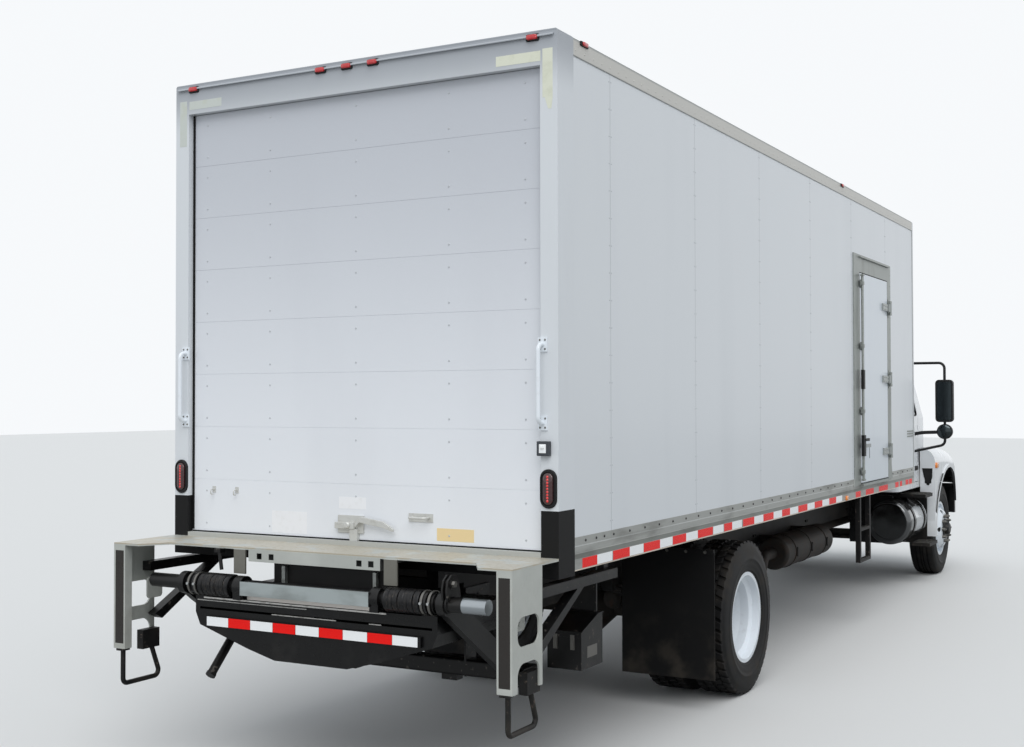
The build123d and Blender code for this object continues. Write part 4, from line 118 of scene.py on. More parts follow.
class Finish:
    """One finish: the Principled shader, and the nodes that vary it over the surface."""

    def __init__(self, name, colour, roughness, metallic=0.0, **steady):
        self.material = bpy.data.materials.new(name)
        self.material.use_nodes = True
        self.tree = self.material.node_tree
        self.shader = self.tree.nodes["Principled BSDF"]
        self.colour = colour
        self.relief = None
        self.set("Base Color", colour)
        self.set("Roughness", roughness)
        self.set("Metallic", metallic)
        for label, value in steady.items():
            self.set(label.replace("_", " ").title().replace("Ior", "IOR"), value)

    def node(self, kind, settings=None, values=None):
        """A node with its settings made first, then the values or links of its sockets."""
        made = self.tree.nodes.new(kind)
        for label, value in (settings or {}).items():
            setattr(made, label, value)
        for label, value in (values or {}).items():
            self.feed(made.inputs[label], value)
        return made

    def feed(self, socket, value):
        if isinstance(value, Reading):
            value = value.socket
        if isinstance(value, bpy.types.NodeSocket):
            self.tree.links.new(value, socket)
        else:
            socket.default_value = value

    def set(self, label, value):
        self.feed(self.shader.inputs[label], value)

    def maths(self, operation, first, second=0.0):
        made = self.node("ShaderNodeMath", {"operation": operation}, {0: first, 1: second})
        return Reading(self, made.outputs[0])

    def place(self, stretch=(1.0, 1.0, 1.0)):
        """Where a point lies on the truck, squeezed along an axis for streaks."""
        here = self.node("ShaderNodeTexCoord").outputs["Object"]
        if stretch == (1.0, 1.0, 1.0):
            return here
        scaled = self.node("ShaderNodeVectorMath", {"operation": "MULTIPLY"}, {0: here, 1: stretch})
        return scaled.outputs[0]

    def along(self, axis):
        """Distance along X, Y or Z."""
        parts = self.node("ShaderNodeSeparateXYZ", None, {"Vector": self.place()})
        return Reading(self, parts.outputs[axis])

    def cloud(self, scale, detail=3.0, stretch=(1.0, 1.0, 1.0)):
        """Soft noise between 0 and 1."""
        values = {"Vector": self.place(stretch), "Scale": scale, "Detail": detail}
        return Reading(self, self.node("ShaderNodeTexNoise", None, values).outputs["Fac"])

    def cells(self, scale):
        """Distance within a pattern of cells."""
        values = {"Vector": self.place(), "Scale": scale}
        made = self.node("ShaderNodeTexVoronoi", None, values)
        return Reading(self, made.outputs["Distance"])

    def mix(self, share, first, second):
        """The second colour over the first by the share."""
        made = self.node("ShaderNodeMix", {"data_type": "RGBA"}, {0: share, 6: first, 7: second})
        return made.outputs[2]

    def tint(self, share, colour):
        """Lay another colour over what the finish has so far."""
        self.colour = self.mix(share, self.colour, colour)
        self.set("Base Color", self.colour)

    def bump(self, height, distance, strength=1.0):
        """Raise the surface by the height times the distance in metres."""
        values = {"Height": height, "Distance": distance, "Strength": strength}
        if self.relief:
            values["Normal"] = self.relief
        self.relief = self.node("ShaderNodeBump", None, values).outputs[0]
        self.set("Normal", self.relief)


FLOOR_HALF = 60.0
FLOOR_LIT = (0.42, 0.42, 0.41, 1)
FLOOR_SEEN = (0.74, 0.735, 0.72, 1)
floor_mesh = bpy.data.meshes.new("floor")
floor_mesh.from_pydata([(-FLOOR_HALF, -FLOOR_HALF, 0), (FLOOR_HALF, -FLOOR_HALF, 0),
                        (FLOOR_HALF, FLOOR_HALF, 0), (-FLOOR_HALF, FLOOR_HALF, 0)], [], [(0, 1, 2, 3)])
floor = bpy.data.objects.new("floor", floor_mesh)
bpy.context.scene.collection.objects.link(floor)
floor_finish = Finish("pale floor", FLOOR_LIT, 0.9)
seen = Reading(floor_finish, floor_finish.node("ShaderNodeLightPath").outputs["Is Camera Ray"])
floor_finish.tint(seen, FLOOR_SEEN)
floor.data.materials.append(floor_finish.material)

SKY_LIGHT = (0.86, 0.93, 1.0, 1.0)
SKY_SEEN = (0.93, 0.95, 0.97, 1.0)
SKY_STRENGTH = 0.65
SUN_STRENGTH = 1.6
SUN_SPREAD = math.radians(50)
SUN_FROM = Vector((-0.55, -0.30, 0.78))
sky = bpy.data.worlds.new("pale sky")
sky.use_nodes = True
bpy.context.scene.world = sky
sky_nodes, sky_links = sky.node_tree.nodes, sky.node_tree.links
lit = sky_nodes["Background"]
lit.inputs["Color"].default_value = SKY_LIGHT
lit.inputs["Strength"].default_value = SKY_STRENGTH
shown = sky_nodes.new("ShaderNodeBackground")
shown.inputs["Color"].default_value = SKY_SEEN
ray = sky_nodes.new("ShaderNodeLightPath")
either = sky_nodes.new("ShaderNodeMath")
either.operation = "MAXIMUM"
any_view = sky_nodes.new("ShaderNodeMath")
any_view.operation = "MAXIMUM"
blend = sky_nodes.new("ShaderNodeMixShader")
sky_links.new(ray.outputs["Is Camera Ray"], either.inputs[0])
sky_links.new(ray.outputs["Is Glossy Ray"], either.inputs[1])
sky_links.new(either.outputs[0], any_view.inputs[0])
sky_links.new(ray.outputs["Is Transmission Ray"], any_view.inputs[1])
sky_links.new(any_view.outputs[0], blend.inputs[0])
sky_links.new(lit.outputs[0], blend.inputs[1])
sky_links.new(shown.outputs[0], blend.inputs[2])
sky_links.new(blend.outputs[0], sky_nodes["World Output"].inputs["Surface"])

sun_data = bpy.data.lights.new("soft lamp", "SUN")
sun_data.energy = SUN_STRENGTH
sun_data.angle = SUN_SPREAD
sun = bpy.data.objects.new("soft lamp", sun_data)
sun.rotation_mode = "QUATERNION"
sun.rotation_quaternion = SUN_FROM.to_track_quat("Z", "Y")
bpy.context.scene.collection.objects.link(sun)


# Ladder frame: two pressed steel channel rails with members riveted between them, long
# sills of the body clamped on top, all brush-painted black and greyed by road dust.
RAIL_OUTER = 0.432
SIDES = ((1, "left"), (-1, "right"))


def linear(red, green, blue):
    """A colour read as 0 to 255 from a screen, as the shader's linear numbers."""
    def channel(value):
        share = value / 255
        return share / 12.92 if share <= 0.04045 else ((share + 0.055) / 1.055) ** 2.4
    return channel(red), channel(green), channel(blue), 1.0


def dress(finish, *names):
    """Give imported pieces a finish; their meshes stay as they are."""
    for name in names:
        mesh = nodes[name].data
        mesh.materials.clear()
        mesh.materials.append(finish.material)


ROAD_DUST = linear(96, 88, 78)


def dusty(finish, height, amount):
    """Road dust, thickest near the ground and broken up by noise."""
    low = finish.along("Z").rise(height, 0.1)
    share = low * finish.cloud(6.0, 5.0).rise(0.35, 0.75) * amount
    finish.tint(share, ROAD_DUST)
    return share


chassis_black = Finish("chassis black", linear(17, 17, 18), 0.58, specular_ior_level=0.3)
dust = dusty(chassis_black, 1.4, 0.35)
chassis_black.set("Roughness", dust * 0.6 + 0.5)
chassis_black.bump(chassis_black.cloud(90.0), 0.0012, 0.35)
dress(chassis_black, "frame_rails", "long_sills", "crossmembers", "springs", "battery_box", "air_tanks")


def finished(piece, finish, body, bevel=0.0, angle=35):
    """Edges eased, faces smoothed, finish and body given."""
    mesh = piece.data
    mesh.materials.clear()
    mesh.materials.append(finish.material)
    mesh.shade_smooth()
    mesh.set_sharp_from_angle(angle=math.radians(angle))
    if bevel:
        eased = piece.modifiers.new("eased edges", "BEVEL")
        eased.width = bevel
        eased.segments = 2
        eased.limit_method = "ANGLE"
        eased.harden_normals = True
    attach(piece, body)
    return piece


def heads_tree():
    """Geometry Nodes: a bevelled head, round or with flats, at every point of a layout."""
    tree = bpy.data.node_groups.new("fastener heads", "GeometryNodeTree")
    face = tree.interface
    face.new_socket("Geometry", in_out="INPUT", socket_type="NodeSocketGeometry")
    for label, kind in (("Radius", "NodeSocketFloat"), ("Height", "NodeSocketFloat"),
                        ("Crown", "NodeSocketFloat"), ("Sides", "NodeSocketInt"),
                        ("Facing", "NodeSocketVector"), ("Metal", "NodeSocketMaterial")):
        face.new_socket(label, in_out="INPUT", socket_type=kind)
    face.new_socket("Geometry", in_out="OUTPUT", socket_type="NodeSocketGeometry")
    new, join = tree.nodes.new, tree.links.new
    given, made = new("NodeGroupInput"), new("NodeGroupOutput")
    head, lift = new("GeometryNodeMeshCone"), new("GeometryNodeTransform")
    place = new("GeometryNodeInstanceOnPoints")
    crown, aim = new("ShaderNodeMath"), new("FunctionNodeAlignRotationToVector")
    real, paint = new("GeometryNodeRealizeInstances"), new("GeometryNodeSetMaterial")
    crown.operation = "MULTIPLY"
    aim.axis = "Z"
    join(given.outputs["Radius"], crown.inputs[0])
    join(given.outputs["Crown"], crown.inputs[1])
    join(given.outputs["Sides"], head.inputs["Vertices"])
    join(crown.outputs[0], head.inputs["Radius Top"])
    join(given.outputs["Radius"], head.inputs["Radius Bottom"])
    join(given.outputs["Height"], head.inputs["Depth"])
    join(head.outputs["Mesh"], lift.inputs["Geometry"])
    join(given.outputs["Facing"], aim.inputs["Vector"])
    join(given.outputs["Geometry"], place.inputs["Points"])
    join(lift.outputs[0], place.inputs["Instance"])
    join(aim.outputs[0], place.inputs["Rotation"])
    join(place.outputs[0], real.inputs[0])
    join(real.outputs[0], paint.inputs["Geometry"])
    join(given.outputs["Metal"], paint.inputs["Material"])
    join(paint.outputs[0], made.inputs[0])
    return tree


HEADS = heads_tree()


def harvest(piece):
    """Keep what the modifiers make as a plain mesh."""
    graph = bpy.context.evaluated_depsgraph_get()
    mesh = bpy.data.meshes.new_from_object(piece.evaluated_get(graph), depsgraph=graph)
    piece.modifiers.clear()
    piece.data = mesh


def heads(name, places, facing, radius, height, finish, body, sides=8, crown=0.6):
    """Fastener heads at the places, all facing one way."""
    layout = bpy.data.meshes.new(name)
    layout.from_pydata(places, [], [])
    piece = bpy.data.objects.new(name, layout)
    bpy.context.scene.collection.objects.link(piece)
    maker = piece.modifiers.new("heads", "NODES")
    maker.node_group = HEADS
    given = {"Radius": radius, "Height": height, "Crown": crown, "Sides": sides,
             "Facing": Vector(facing), "Metal": finish.material}
    for item in HEADS.interface.items_tree:
        if item.item_type == "SOCKET" and item.name in given:
            maker[item.identifier] = given[item.name]
    harvest(piece)
    return finished(piece, finish, body, angle=30)


MEMBERS_X = (0.500, 2.100, 3.650, 5.200, 6.750, 8.250)
MEMBER_BOLTS_X = (0.015, 0.055)
RAIL_BOLT_ROWS = (0.80, 0.91)
rail_bolts = []
for member_x in MEMBERS_X:
    for bolt_z in RAIL_BOLT_ROWS:
        for bolt_x in MEMBER_BOLTS_X:
            rail_bolts.append((REAR + member_x + bolt_x, bolt_z))
for side, label in SIDES:
    heads(f"frame_bolts_{label}", [(x, side * RAIL_OUTER, z) for x, z in rail_bolts], (0, side, 0),
          0.013, 0.012, chassis_black, "chassis", sides=6, crown=0.85)


# Axles, engine and driveline: rough castings and forgings, black or rusty brown, oily and
# covered in road dust. The springs are clamped to the axles with U-bolts.
cast_iron = Finish("cast iron", linear(34, 31, 29), 0.72)
dusty(cast_iron, 1.2, 0.45)
cast_iron.tint(cast_iron.cloud(14.0, 4.0).rise(0.56, 0.72) * 0.6, linear(70, 44, 28))
cast_iron.bump(cast_iron.cloud(140.0, 4.0), 0.002, 0.5)
dress(cast_iron, "front_axle", "rear_axle", "engine_block", "driveline", "knuckle_left", "knuckle_right",
      "tie_rod")
core = Finish("radiator core", linear(30, 31, 33), 0.6, 0.3)
core.bump((core.along("Z") * 900.0).wave(), 0.002)
dress(core, "radiator")


def frames_along(points):
    """Each point with two directions square to its run, turned as little as possible."""
    rows = []
    side = None
    for index, point in enumerate(points):
        before = points[max(index - 1, 0)]
        after = points[min(index + 1, len(points) - 1)]
        run = (after - before).normalized()
        if side is None:
            side = run.orthogonal().normalized()
        side = (side - run * side.dot(run)).normalized()
        rows.append((point, side, run.cross(side)))
    return rows


def piped(bm, route, radius, steps=10, flat=1.0):
    """A closed tube along a route; flat squeezes it across its second direction."""
    points = [Vector(point) for point in route]
    rings = []
    for point, side, lift in frames_along(points):
        ring = []
        for step in range(steps):
            angle = 2 * math.pi * step / steps
            across = side * math.cos(angle) * radius
            ring.append(bm.verts.new(point + across + lift * math.sin(angle) * radius * flat))
        rings.append(ring)
    for first, second in zip(rings, rings[1:]):
        for step in range(steps):
            after = (step + 1) % steps
            bm.faces.new((first[step], first[after], second[after], second[step]))
    bm.faces.new(rings[0][::-1])
    bm.faces.new(rings[-1])


BEND_STEPS = 5


def rounded(route, bend):
    """A route of straight runs with each corner turned on an arc of points."""
    points = [Vector(point) for point in route]
    made = [points[0]]
    for before, corner, after in zip(points, points[1:], points[2:]):
        into = (before - corner).normalized()
        out = (after - corner).normalized()
        reach = min(bend, (before - corner).length / 2, (after - corner).length / 2)
        start, end = corner + into * reach, corner + out * reach
        for step in range(BEND_STEPS + 1):
            share = step / BEND_STEPS
            made.append(start.lerp(corner, share).lerp(corner.lerp(end, share), share))
    made.append(points[-1])
    return made


def fitted(name, bm, finish, body, bevel=0.0, angle=35):
    """Turn a built mesh into a piece that rides on a body."""
    bmesh.ops.recalc_face_normals(bm, faces=bm.faces)
    mesh = bpy.data.meshes.new(name)
    bm.to_mesh(mesh)
    bm.free()
    piece = bpy.data.objects.new(name, mesh)
    bpy.context.scene.collection.objects.link(piece)
    return finished(piece, finish, body, bevel, angle)


TYRE_RADIUS = 0.507
FRONT_AXLE = (REAR + 9.760, TYRE_RADIUS)
REAR_AXLE = (REAR + 2.860, TYRE_RADIUS)
CLAMP_HALF = 0.044
# Axle, the spring's middle in Y, the clamp's foot and top, and its reach fore and aft.
SPRING_CLAMPS = ((FRONT_AXLE[0], 0.432, 0.34, 0.515, 0.056),
                 (REAR_AXLE[0], 0.484, 0.43, 0.690, 0.075))
clamps = bmesh.new()
for axle_x, spring_y, low, high, reach in SPRING_CLAMPS:
    for side in (-1, 1):
        for step in (-1, 1):
            x = axle_x + step * reach
            inner, outer = side * (spring_y - CLAMP_HALF), side * (spring_y + CLAMP_HALF)
            legs = [(x, inner, low), (x, inner, high), (x, outer, high), (x, outer, low)]
            piped(clamps, rounded(legs, 0.03), 0.009, 8)
fitted("spring_clamps", clamps, cast_iron, "chassis")


# Wheels: 11 by 22.5 inch tyres, single in front and twin behind, on white enamelled steel
# disc wheels held by ten nuts. The front tyres have straight ribs, the rear ones lugs.
rubber = Finish("tyre rubber", linear(16, 16, 17), 0.66, specular_ior_level=0.3)
rubber_dust = rubber.cloud(9.0, 5.0).rise(0.42, 0.8) * 0.22
rubber.tint(rubber_dust, ROAD_DUST)
rubber.set("Roughness", rubber_dust * 0.8 + 0.6)
rubber.bump(rubber.cloud(160.0, 2.0), 0.0008, 0.4)

FRONT_TREAD = [(-0.107, 0.4985), (-0.097, 0.505), (-0.066, 0.506), (-0.062, 0.493), (-0.054, 0.493),
               (-0.050, 0.506), (-0.021, 0.507), (-0.017, 0.493), (-0.009, 0.493), (-0.005, 0.507)]
REAR_TREAD = [(-0.107, 0.494), (-0.02, 0.495), (0.0, 0.495)]
SIDEWALL = [(-0.104, 0.3003), (-0.117, 0.3003), (-0.121, 0.309), (-0.1275, 0.314), (-0.1275, 0.321),
            (-0.133, 0.333), (-0.138, 0.358), (-0.1395, 0.380), (-0.1415, 0.382), (-0.1415, 0.392),
            (-0.140, 0.395), (-0.138, 0.425), (-0.133, 0.452), (-0.127, 0.474), (-0.1225, 0.478),
            (-0.121, 0.492), (-0.115, 0.497)]


def spun(bm, profile, centre, axis=(0, 1, 0), steps=48, closed=False):
    """Turn a profile of (distance along the axis, radius) about an axis through the centre."""
    along = Vector(axis).normalized()
    first = along.orthogonal().normalized()
    second = along.cross(first)
    rings = []
    for step in range(steps):
        angle = 2 * math.pi * step / steps
        out = first * math.cos(angle) + second * math.sin(angle)
        ring = [bm.verts.new(Vector(centre) + along * reach + out * radius) for reach, radius in profile]
        rings.append(ring)
    count = len(profile)
    spans = range(count if closed else count - 1)
    for step in range(steps):
        here, there = rings[step], rings[(step + 1) % steps]
        for index in spans:
            after = (index + 1) % count
            bm.faces.new((here[index], here[after], there[after], there[index]))
    bmesh.ops.remove_doubles(bm, verts=[v for ring in rings for v in ring], dist=1e-6)


# A lug's levels, as radius and share of its full size; its share of the pitch and its slant.
LUG_LEVELS = ((0.490, 1.0), (0.5035, 0.93), (0.5068, 0.82))
LUG_FILL, LUG_SLANT, LUG_STAGGER = 0.36, 0.12, 0.25
LUG_HALF = 0.026
LUG_ROWS = ((0.094, 1), (0.036, -1), (-0.036, 1), (-0.094, -1))
LUG_COUNT = 46
LUG_PITCH = 2 * math.pi / LUG_COUNT


def lug(bm, centre, angle, y, lean):
    """One tread block: a tapered bar that stands on the groove floor."""
    rows = []
    for radius, shrink in LUG_LEVELS:
        row = []
        for along, across in ((-1, -1), (1, -1), (1, 1), (-1, 1)):
            swing = along * LUG_PITCH * LUG_FILL * shrink + lean * across * LUG_PITCH * LUG_SLANT
            reach = y + across * LUG_HALF * shrink
            out = Vector((math.cos(angle + swing) * radius, reach, math.sin(angle + swing) * radius))
            row.append(bm.verts.new(Vector(centre) + out))
        rows.append(row)
    for low, high in zip(rows, rows[1:]):
        for index in range(4):
            after = (index + 1) % 4
            bm.faces.new((low[index], low[after], high[after], high[index]))
    bm.faces.new(rows[-1])
    bm.faces.new(rows[0][::-1])


def tyre(bm, axle, y, tread):
    """A tyre's shell from one half of its section, with lugs on a rear one."""
    half = SIDEWALL + tread
    profile = half + [(-reach, radius) for reach, radius in reversed(half) if reach < -0.001]
    spun(bm, profile, (axle[0], y, axle[1]), steps=96, closed=True)
    if tread is REAR_TREAD:
        for row_y, lean in LUG_ROWS:
            for index in range(LUG_COUNT):
                angle = LUG_PITCH * (index + LUG_STAGGER * lean)
                lug(bm, (axle[0], y, axle[1]), angle, row_y, lean)


rim_white = Finish("rim enamel", linear(238, 243, 248), 0.32, coat_weight=0.4)
rim_white.tint(rim_white.cloud(18.0, 4.0).rise(0.55, 0.85) * 0.25, linear(150, 140, 128))
rim_white.bump(rim_white.cloud(60.0), 0.0006, 0.3)
hub_black = Finish("hub black", linear(30, 30, 31), 0.45)
hub_black.tint(hub_black.cloud(30.0, 4.0).rise(0.5, 0.75) * 0.5, linear(84, 70, 56))
nut_steel = Finish("wheel nuts", linear(120, 118, 114), 0.4, 0.8)
FRONT_WHEEL_Y = 0.985
REAR_WHEEL_Y = 0.890
TWIN_OFFSET = 0.165
NUT_CIRCLE = 0.143
NUT_COUNT = 10
FRONT_NUTS_Y, REAR_NUTS_Y = FRONT_WHEEL_Y + 0.165, REAR_WHEEL_Y + 0.012
# Name, height over the disc, radius, thickness and sides of each part of a wheel nut.
NUT_PARTS = (("washers", 0.003, 0.021, 0.008, 16), ("nuts", 0.014, 0.0185, 0.024, 6),
             ("studs", 0.032, 0.0105, 0.018, 10))
for side, label in SIDES:
    front = bmesh.new()
    tyre(front, FRONT_AXLE, side * FRONT_WHEEL_Y, FRONT_TREAD)
    piece = fitted(f"front_tyre_{label}", front, rubber, f"front_wheel_{label}", angle=50)
    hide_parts(f"tyre_front_{label}")
    twins = bmesh.new()
    for twin_y in (REAR_WHEEL_Y - TWIN_OFFSET, REAR_WHEEL_Y + TWIN_OFFSET):
        tyre(twins, REAR_AXLE, side * twin_y, REAR_TREAD)
    piece = fitted(f"rear_tyres_{label}", twins, rubber, f"rear_wheels_{label}", angle=50)
    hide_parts(f"tyres_rear_{label}")
    dress(rim_white, f"rim_front_{label}", f"rims_rear_{label}")
    dress(hub_black, f"hub_front_{label}", f"hub_rear_{label}")
    for axle, face_y, body in ((FRONT_AXLE, FRONT_NUTS_Y, f"front_wheel_{label}"),
                               (REAR_AXLE, REAR_NUTS_Y, f"rear_wheels_{label}")):
        for kind, reach, radius, height, sides in NUT_PARTS:
            places = []
            for index in range(NUT_COUNT):
                angle = 2 * math.pi * index / NUT_COUNT
                places.append((axle[0] + NUT_CIRCLE * math.cos(angle), side * (face_y + reach),
                               axle[1] + NUT_CIRCLE * math.sin(angle)))
            heads(f"{body}_{kind}", places, (0, side, 0), radius, height, nut_steel, body,
                  sides=sides, crown=0.88)


# Van body walls: smooth white faced panels 1.22 m wide, butted on hat-shaped posts and held
# by a row of small flush rivets each side of every joint; plywood lining inside.
BODY_LENGTH = 7.925
WALL_FACE = 1.215
PANEL_WIDTH = 1.219
FIRST_SEAM = 0.611
FRONT_WALL_X = 7.895
RIVET_ROWS, RIVET_FOOT = 17, 1.335
DOOR_CUTOUT, DOOR_CUTOUT_TOP = (5.52, 6.88), 3.25
panel_white = Finish("body panels", linear(222, 225, 228), 0.34, coat_weight=0.15, coat_roughness=0.1)
seam = (panel_white.along("X") - (REAR + FIRST_SEAM)).repeat(PANEL_WIDTH)
outside = panel_white.along("Y").size() > WALL_FACE - 0.004
outside = outside.higher(panel_white.along("X") > REAR + FRONT_WALL_X)
streaks = panel_white.cloud(2.2, 4.0, (1.0, 1.0, 0.10)).rise(0.45, 0.8) * 0.10
panel_white.tint(streaks, linear(176, 182, 188))
panel_white.tint(seam.rise(0.0045, 0.001) * 0.5, linear(150, 153, 156))
panel_white.tint(1 - outside, linear(176, 140, 98))
panel_white.bump(seam.rise(0.003, 0.0), -0.0012)
panel_white.bump(panel_white.cloud(1.3, 1.0), 0.004, 0.35)
dress(panel_white, "side_wall_left", "side_wall_right", "front_wall")
rivet_white = Finish("painted rivets", linear(196, 199, 202), 0.4)
wall_rivets = []
seam_x = FIRST_SEAM
while seam_x < BODY_LENGTH:
    for step in range(RIVET_ROWS):
        for shift in (-0.013, 0.013):
            wall_rivets.append((REAR + seam_x + shift, RIVET_FOOT + step * 0.1425))
    seam_x += PANEL_WIDTH
for side, label in SIDES:
    places = [(x, side * WALL_FACE, z) for x, z in wall_rivets
              if side > 0 or z > DOOR_CUTOUT_TOP or not REAR + DOOR_CUTOUT[0] < x < REAR + DOOR_CUTOUT[1]]
    heads(f"wall_rivets_{label}", places, (0, side, 0), 0.0042, 0.0022, rivet_white,
          "chassis", sides=8, crown=0.55)
roof_white = Finish("roof sheet", linear(214, 217, 220), 0.4)
roof_seam = (roof_white.along("X") - (REAR + FIRST_SEAM)).repeat(0.61)
roof_white.tint(roof_seam.rise(0.006, 0.001) * 0.35, linear(140, 142, 145))
roof_white.tint(roof_white.cloud(1.6, 5.0).rise(0.4, 0.8) * 0.25, linear(160, 158, 152))
roof_white.bump(roof_seam.rise(0.012, 0.0), 0.002)
dress(roof_white, "roof")
floor_wood = Finish("floor boards", linear(120, 84, 52), 0.55)
board = floor_wood.along("Y").repeat(0.15)
floor_wood.tint(floor_wood.cloud(5.0, 5.0, (0.06, 1.0, 1.0)).rise(0.35, 0.7), linear(88, 58, 36))
floor_wood.bump(board.rise(0.003, 0.0), -0.002)
dress(floor_wood, "load_floor")


# Fuel tank: a spun and welded cylinder of bright aluminium, darkened towards its rear end,
# held by two dark coated straps. The filler cap faces up and out.
TANK_Y, TANK_Z, TANK_RADIUS = -0.885, 0.685, 0.225
TANK_ENDS = (8.180, 9.030)
TANK_STRAPS = (8.3925, 8.877)
STRAP_WIDTH = 0.060
bright_metal = Finish("bright aluminium", linear(206, 209, 211), 0.14, 1.0)
from_axis_y = bright_metal.along("Y") - TANK_Y
from_axis_z = bright_metal.along("Z") - TANK_Z
strap_mask = (from_axis_y * from_axis_y + from_axis_z * from_axis_z) > (TANK_RADIUS + 0.0015) ** 2
# The tank's colour darkens towards its rear end.
tank_rear_dark = bright_metal.along("X").rise(REAR + 8.50, REAR + 8.24) * 0.8
bright_metal.tint(tank_rear_dark, linear(34, 34, 35))
bright_metal.tint(strap_mask, linear(26, 26, 27))
brushed = bright_metal.cloud(30.0, 4.0, (0.15, 1.0, 1.0))
bright_metal.set("Roughness", brushed * 0.12 + bright_metal.cloud(5.0, 3.0).rise(0.45, 0.8) * 0.12 + 0.08)
bright_metal.set("Metallic", 1 - strap_mask * 0.9)
bright_metal.bump(brushed, 0.0004, 0.3)
dress(bright_metal, "fuel_tank")
liners = bmesh.new()
for strap_x in TANK_STRAPS:
    for edge in (-0.006, STRAP_WIDTH - 0.002):
        ring = [(edge, 0.2252), (edge + 0.008, 0.2252), (edge + 0.008, 0.2312), (edge, 0.2312)]
        spun(liners, ring, (REAR + strap_x, TANK_Y, TANK_Z), (1, 0, 0), 64, closed=True)
fitted("tank_liners", liners, rubber, "chassis")
seams = bmesh.new()
for end_x, inward in zip(TANK_ENDS, (1, -1)):
    bead = [(0.0, 0.2245), (0.003, 0.2275), (0.009, 0.2275), (0.012, 0.2245)]
    spun(seams, bead, (REAR + end_x + inward * 0.046, TANK_Y, TANK_Z), (1, 0, 0), 64, closed=True)
fitted("tank_weld_beads", seams, bright_metal, "chassis")
FILLER_LEAN = (0, -0.62, 0.78)
filler = bmesh.new()
neck_profile = [(0.210, 0.0), (0.210, 0.052), (0.241, 0.050), (0.243, 0.060), (0.259, 0.060),
                (0.264, 0.054), (0.266, 0.020), (0.266, 0.0)]
spun(filler, neck_profile, (REAR + 8.55, TANK_Y, TANK_Z), FILLER_LEAN, 32)
fitted("filler_cap", filler, bright_metal, "chassis", 0.001)
strap_nuts = [(REAR + strap_x + STRAP_WIDTH / 2, -0.560, 0.923) for strap_x in TANK_STRAPS]
heads("tank_strap_nuts", strap_nuts, (0, 0, 1), 0.014, 0.03, chassis_black, "chassis",
      sides=6)


# Exhaust: a sooty steel canister in its bands between the axles, with a turned-down outlet
# pipe. Each band is drawn tight by an upright bolt on the canister's outer side.
EXHAUST_BANDS = (5.370, 5.810, 6.290)
pipe_steel = Finish("exhaust steel", linear(44, 41, 38), 0.62, 0.35)
pipe_steel.tint(pipe_steel.cloud(12.0, 6.0).rise(0.45, 0.7) * 0.6, linear(58, 40, 28))
pipe_steel.bump(pipe_steel.cloud(80.0), 0.001, 0.4)
dress(pipe_steel, "exhaust")


def prism(bm, outline, axis, low, high):
    """A flat outline given thickness along X, Y or Z; outlines are (y,z), (x,z) or (x,y)."""
    def corner(u, v, w):
        return {"X": (w, u, v), "Y": (u, w, v), "Z": (u, v, w)}[axis]
    rings = [[bm.verts.new(corner(u, v, w)) for u, v in outline] for w in (low, high)]
    for ring in rings:
        bm.faces.new(ring)
    count = len(outline)
    for index in range(count):
        after = (index + 1) % count
        bm.faces.new((rings[0][index], rings[0][after], rings[1][after], rings[1][index]))


def bar(bm, x, y, z):
    """A straight bar between two corners, given as (low, high) along each axis."""
    prism(bm, [(x[0], y[0]), (x[1], y[0]), (x[1], y[1]), (x[0], y[1])], "Z", z[0], z[1])


band_clamps = bmesh.new()
for band_x in EXHAUST_BANDS:
    x = REAR + band_x
    bar(band_clamps, (x + 0.008, x + 0.032), (-0.770, -0.762), (0.640, 0.690))
    piped(band_clamps, [(x + 0.020, -0.7665, 0.625), (x + 0.020, -0.7665, 0.705)], 0.006, 8)
fitted("exhaust_band_clamps", band_clamps, chassis_black, "chassis", 0.001)


# Battery box, air tanks and steps: a folded black steel box with a chequer-plate lid held by
# two spring latches, two reservoirs with drain valves, and black steps with worn raised grip
# bars.
BOX_X, BOX_Y = (7.940, 8.600), (0.472, 0.948)
lid = bmesh.new()
bar(lid, (REAR + BOX_X[0] - 0.005, REAR + BOX_X[1] + 0.005), (BOX_Y[0] + 0.003, BOX_Y[1] - 0.003),
    (0.9375, 0.9405))
chequer = Finish("chequer plate", linear(150, 153, 156), 0.35, 0.9)
ribs_one_way = (chequer.along("X") + chequer.along("Y")).repeat(0.03)
ribs_other_way = (chequer.along("X") - chequer.along("Y")).repeat(0.03)
chequer.bump(ribs_one_way.rise(0.004, 0.001) * ribs_other_way.rise(0.013, 0.010), 0.0015)
chequer.tint(chequer.cloud(9.0, 4.0).rise(0.4, 0.7) * 0.4, linear(92, 88, 82))
fitted("battery_lid", lid, chequer, "chassis", 0.001)
latches = bmesh.new()
for latch_x in (8.08, 8.44):
    x = REAR + latch_x
    bar(latches, (x - 0.022, x + 0.022), (BOX_Y[1], BOX_Y[1] + 0.005), (0.888, 0.932))
    bar(latches, (x - 0.012, x + 0.012), (BOX_Y[1] - 0.008, BOX_Y[1] + 0.004), (0.79, 0.892))
    bar(latches, (x - 0.018, x + 0.018), (BOX_Y[1] - 0.008, BOX_Y[1] + 0.008), (0.775, 0.80))
fitted("battery_latches", latches, nut_steel, "chassis", 0.0015)
AIR_TANK_Y = 0.572
AIR_TANK_FRONTS = (7.620, 6.790)
drains = bmesh.new()
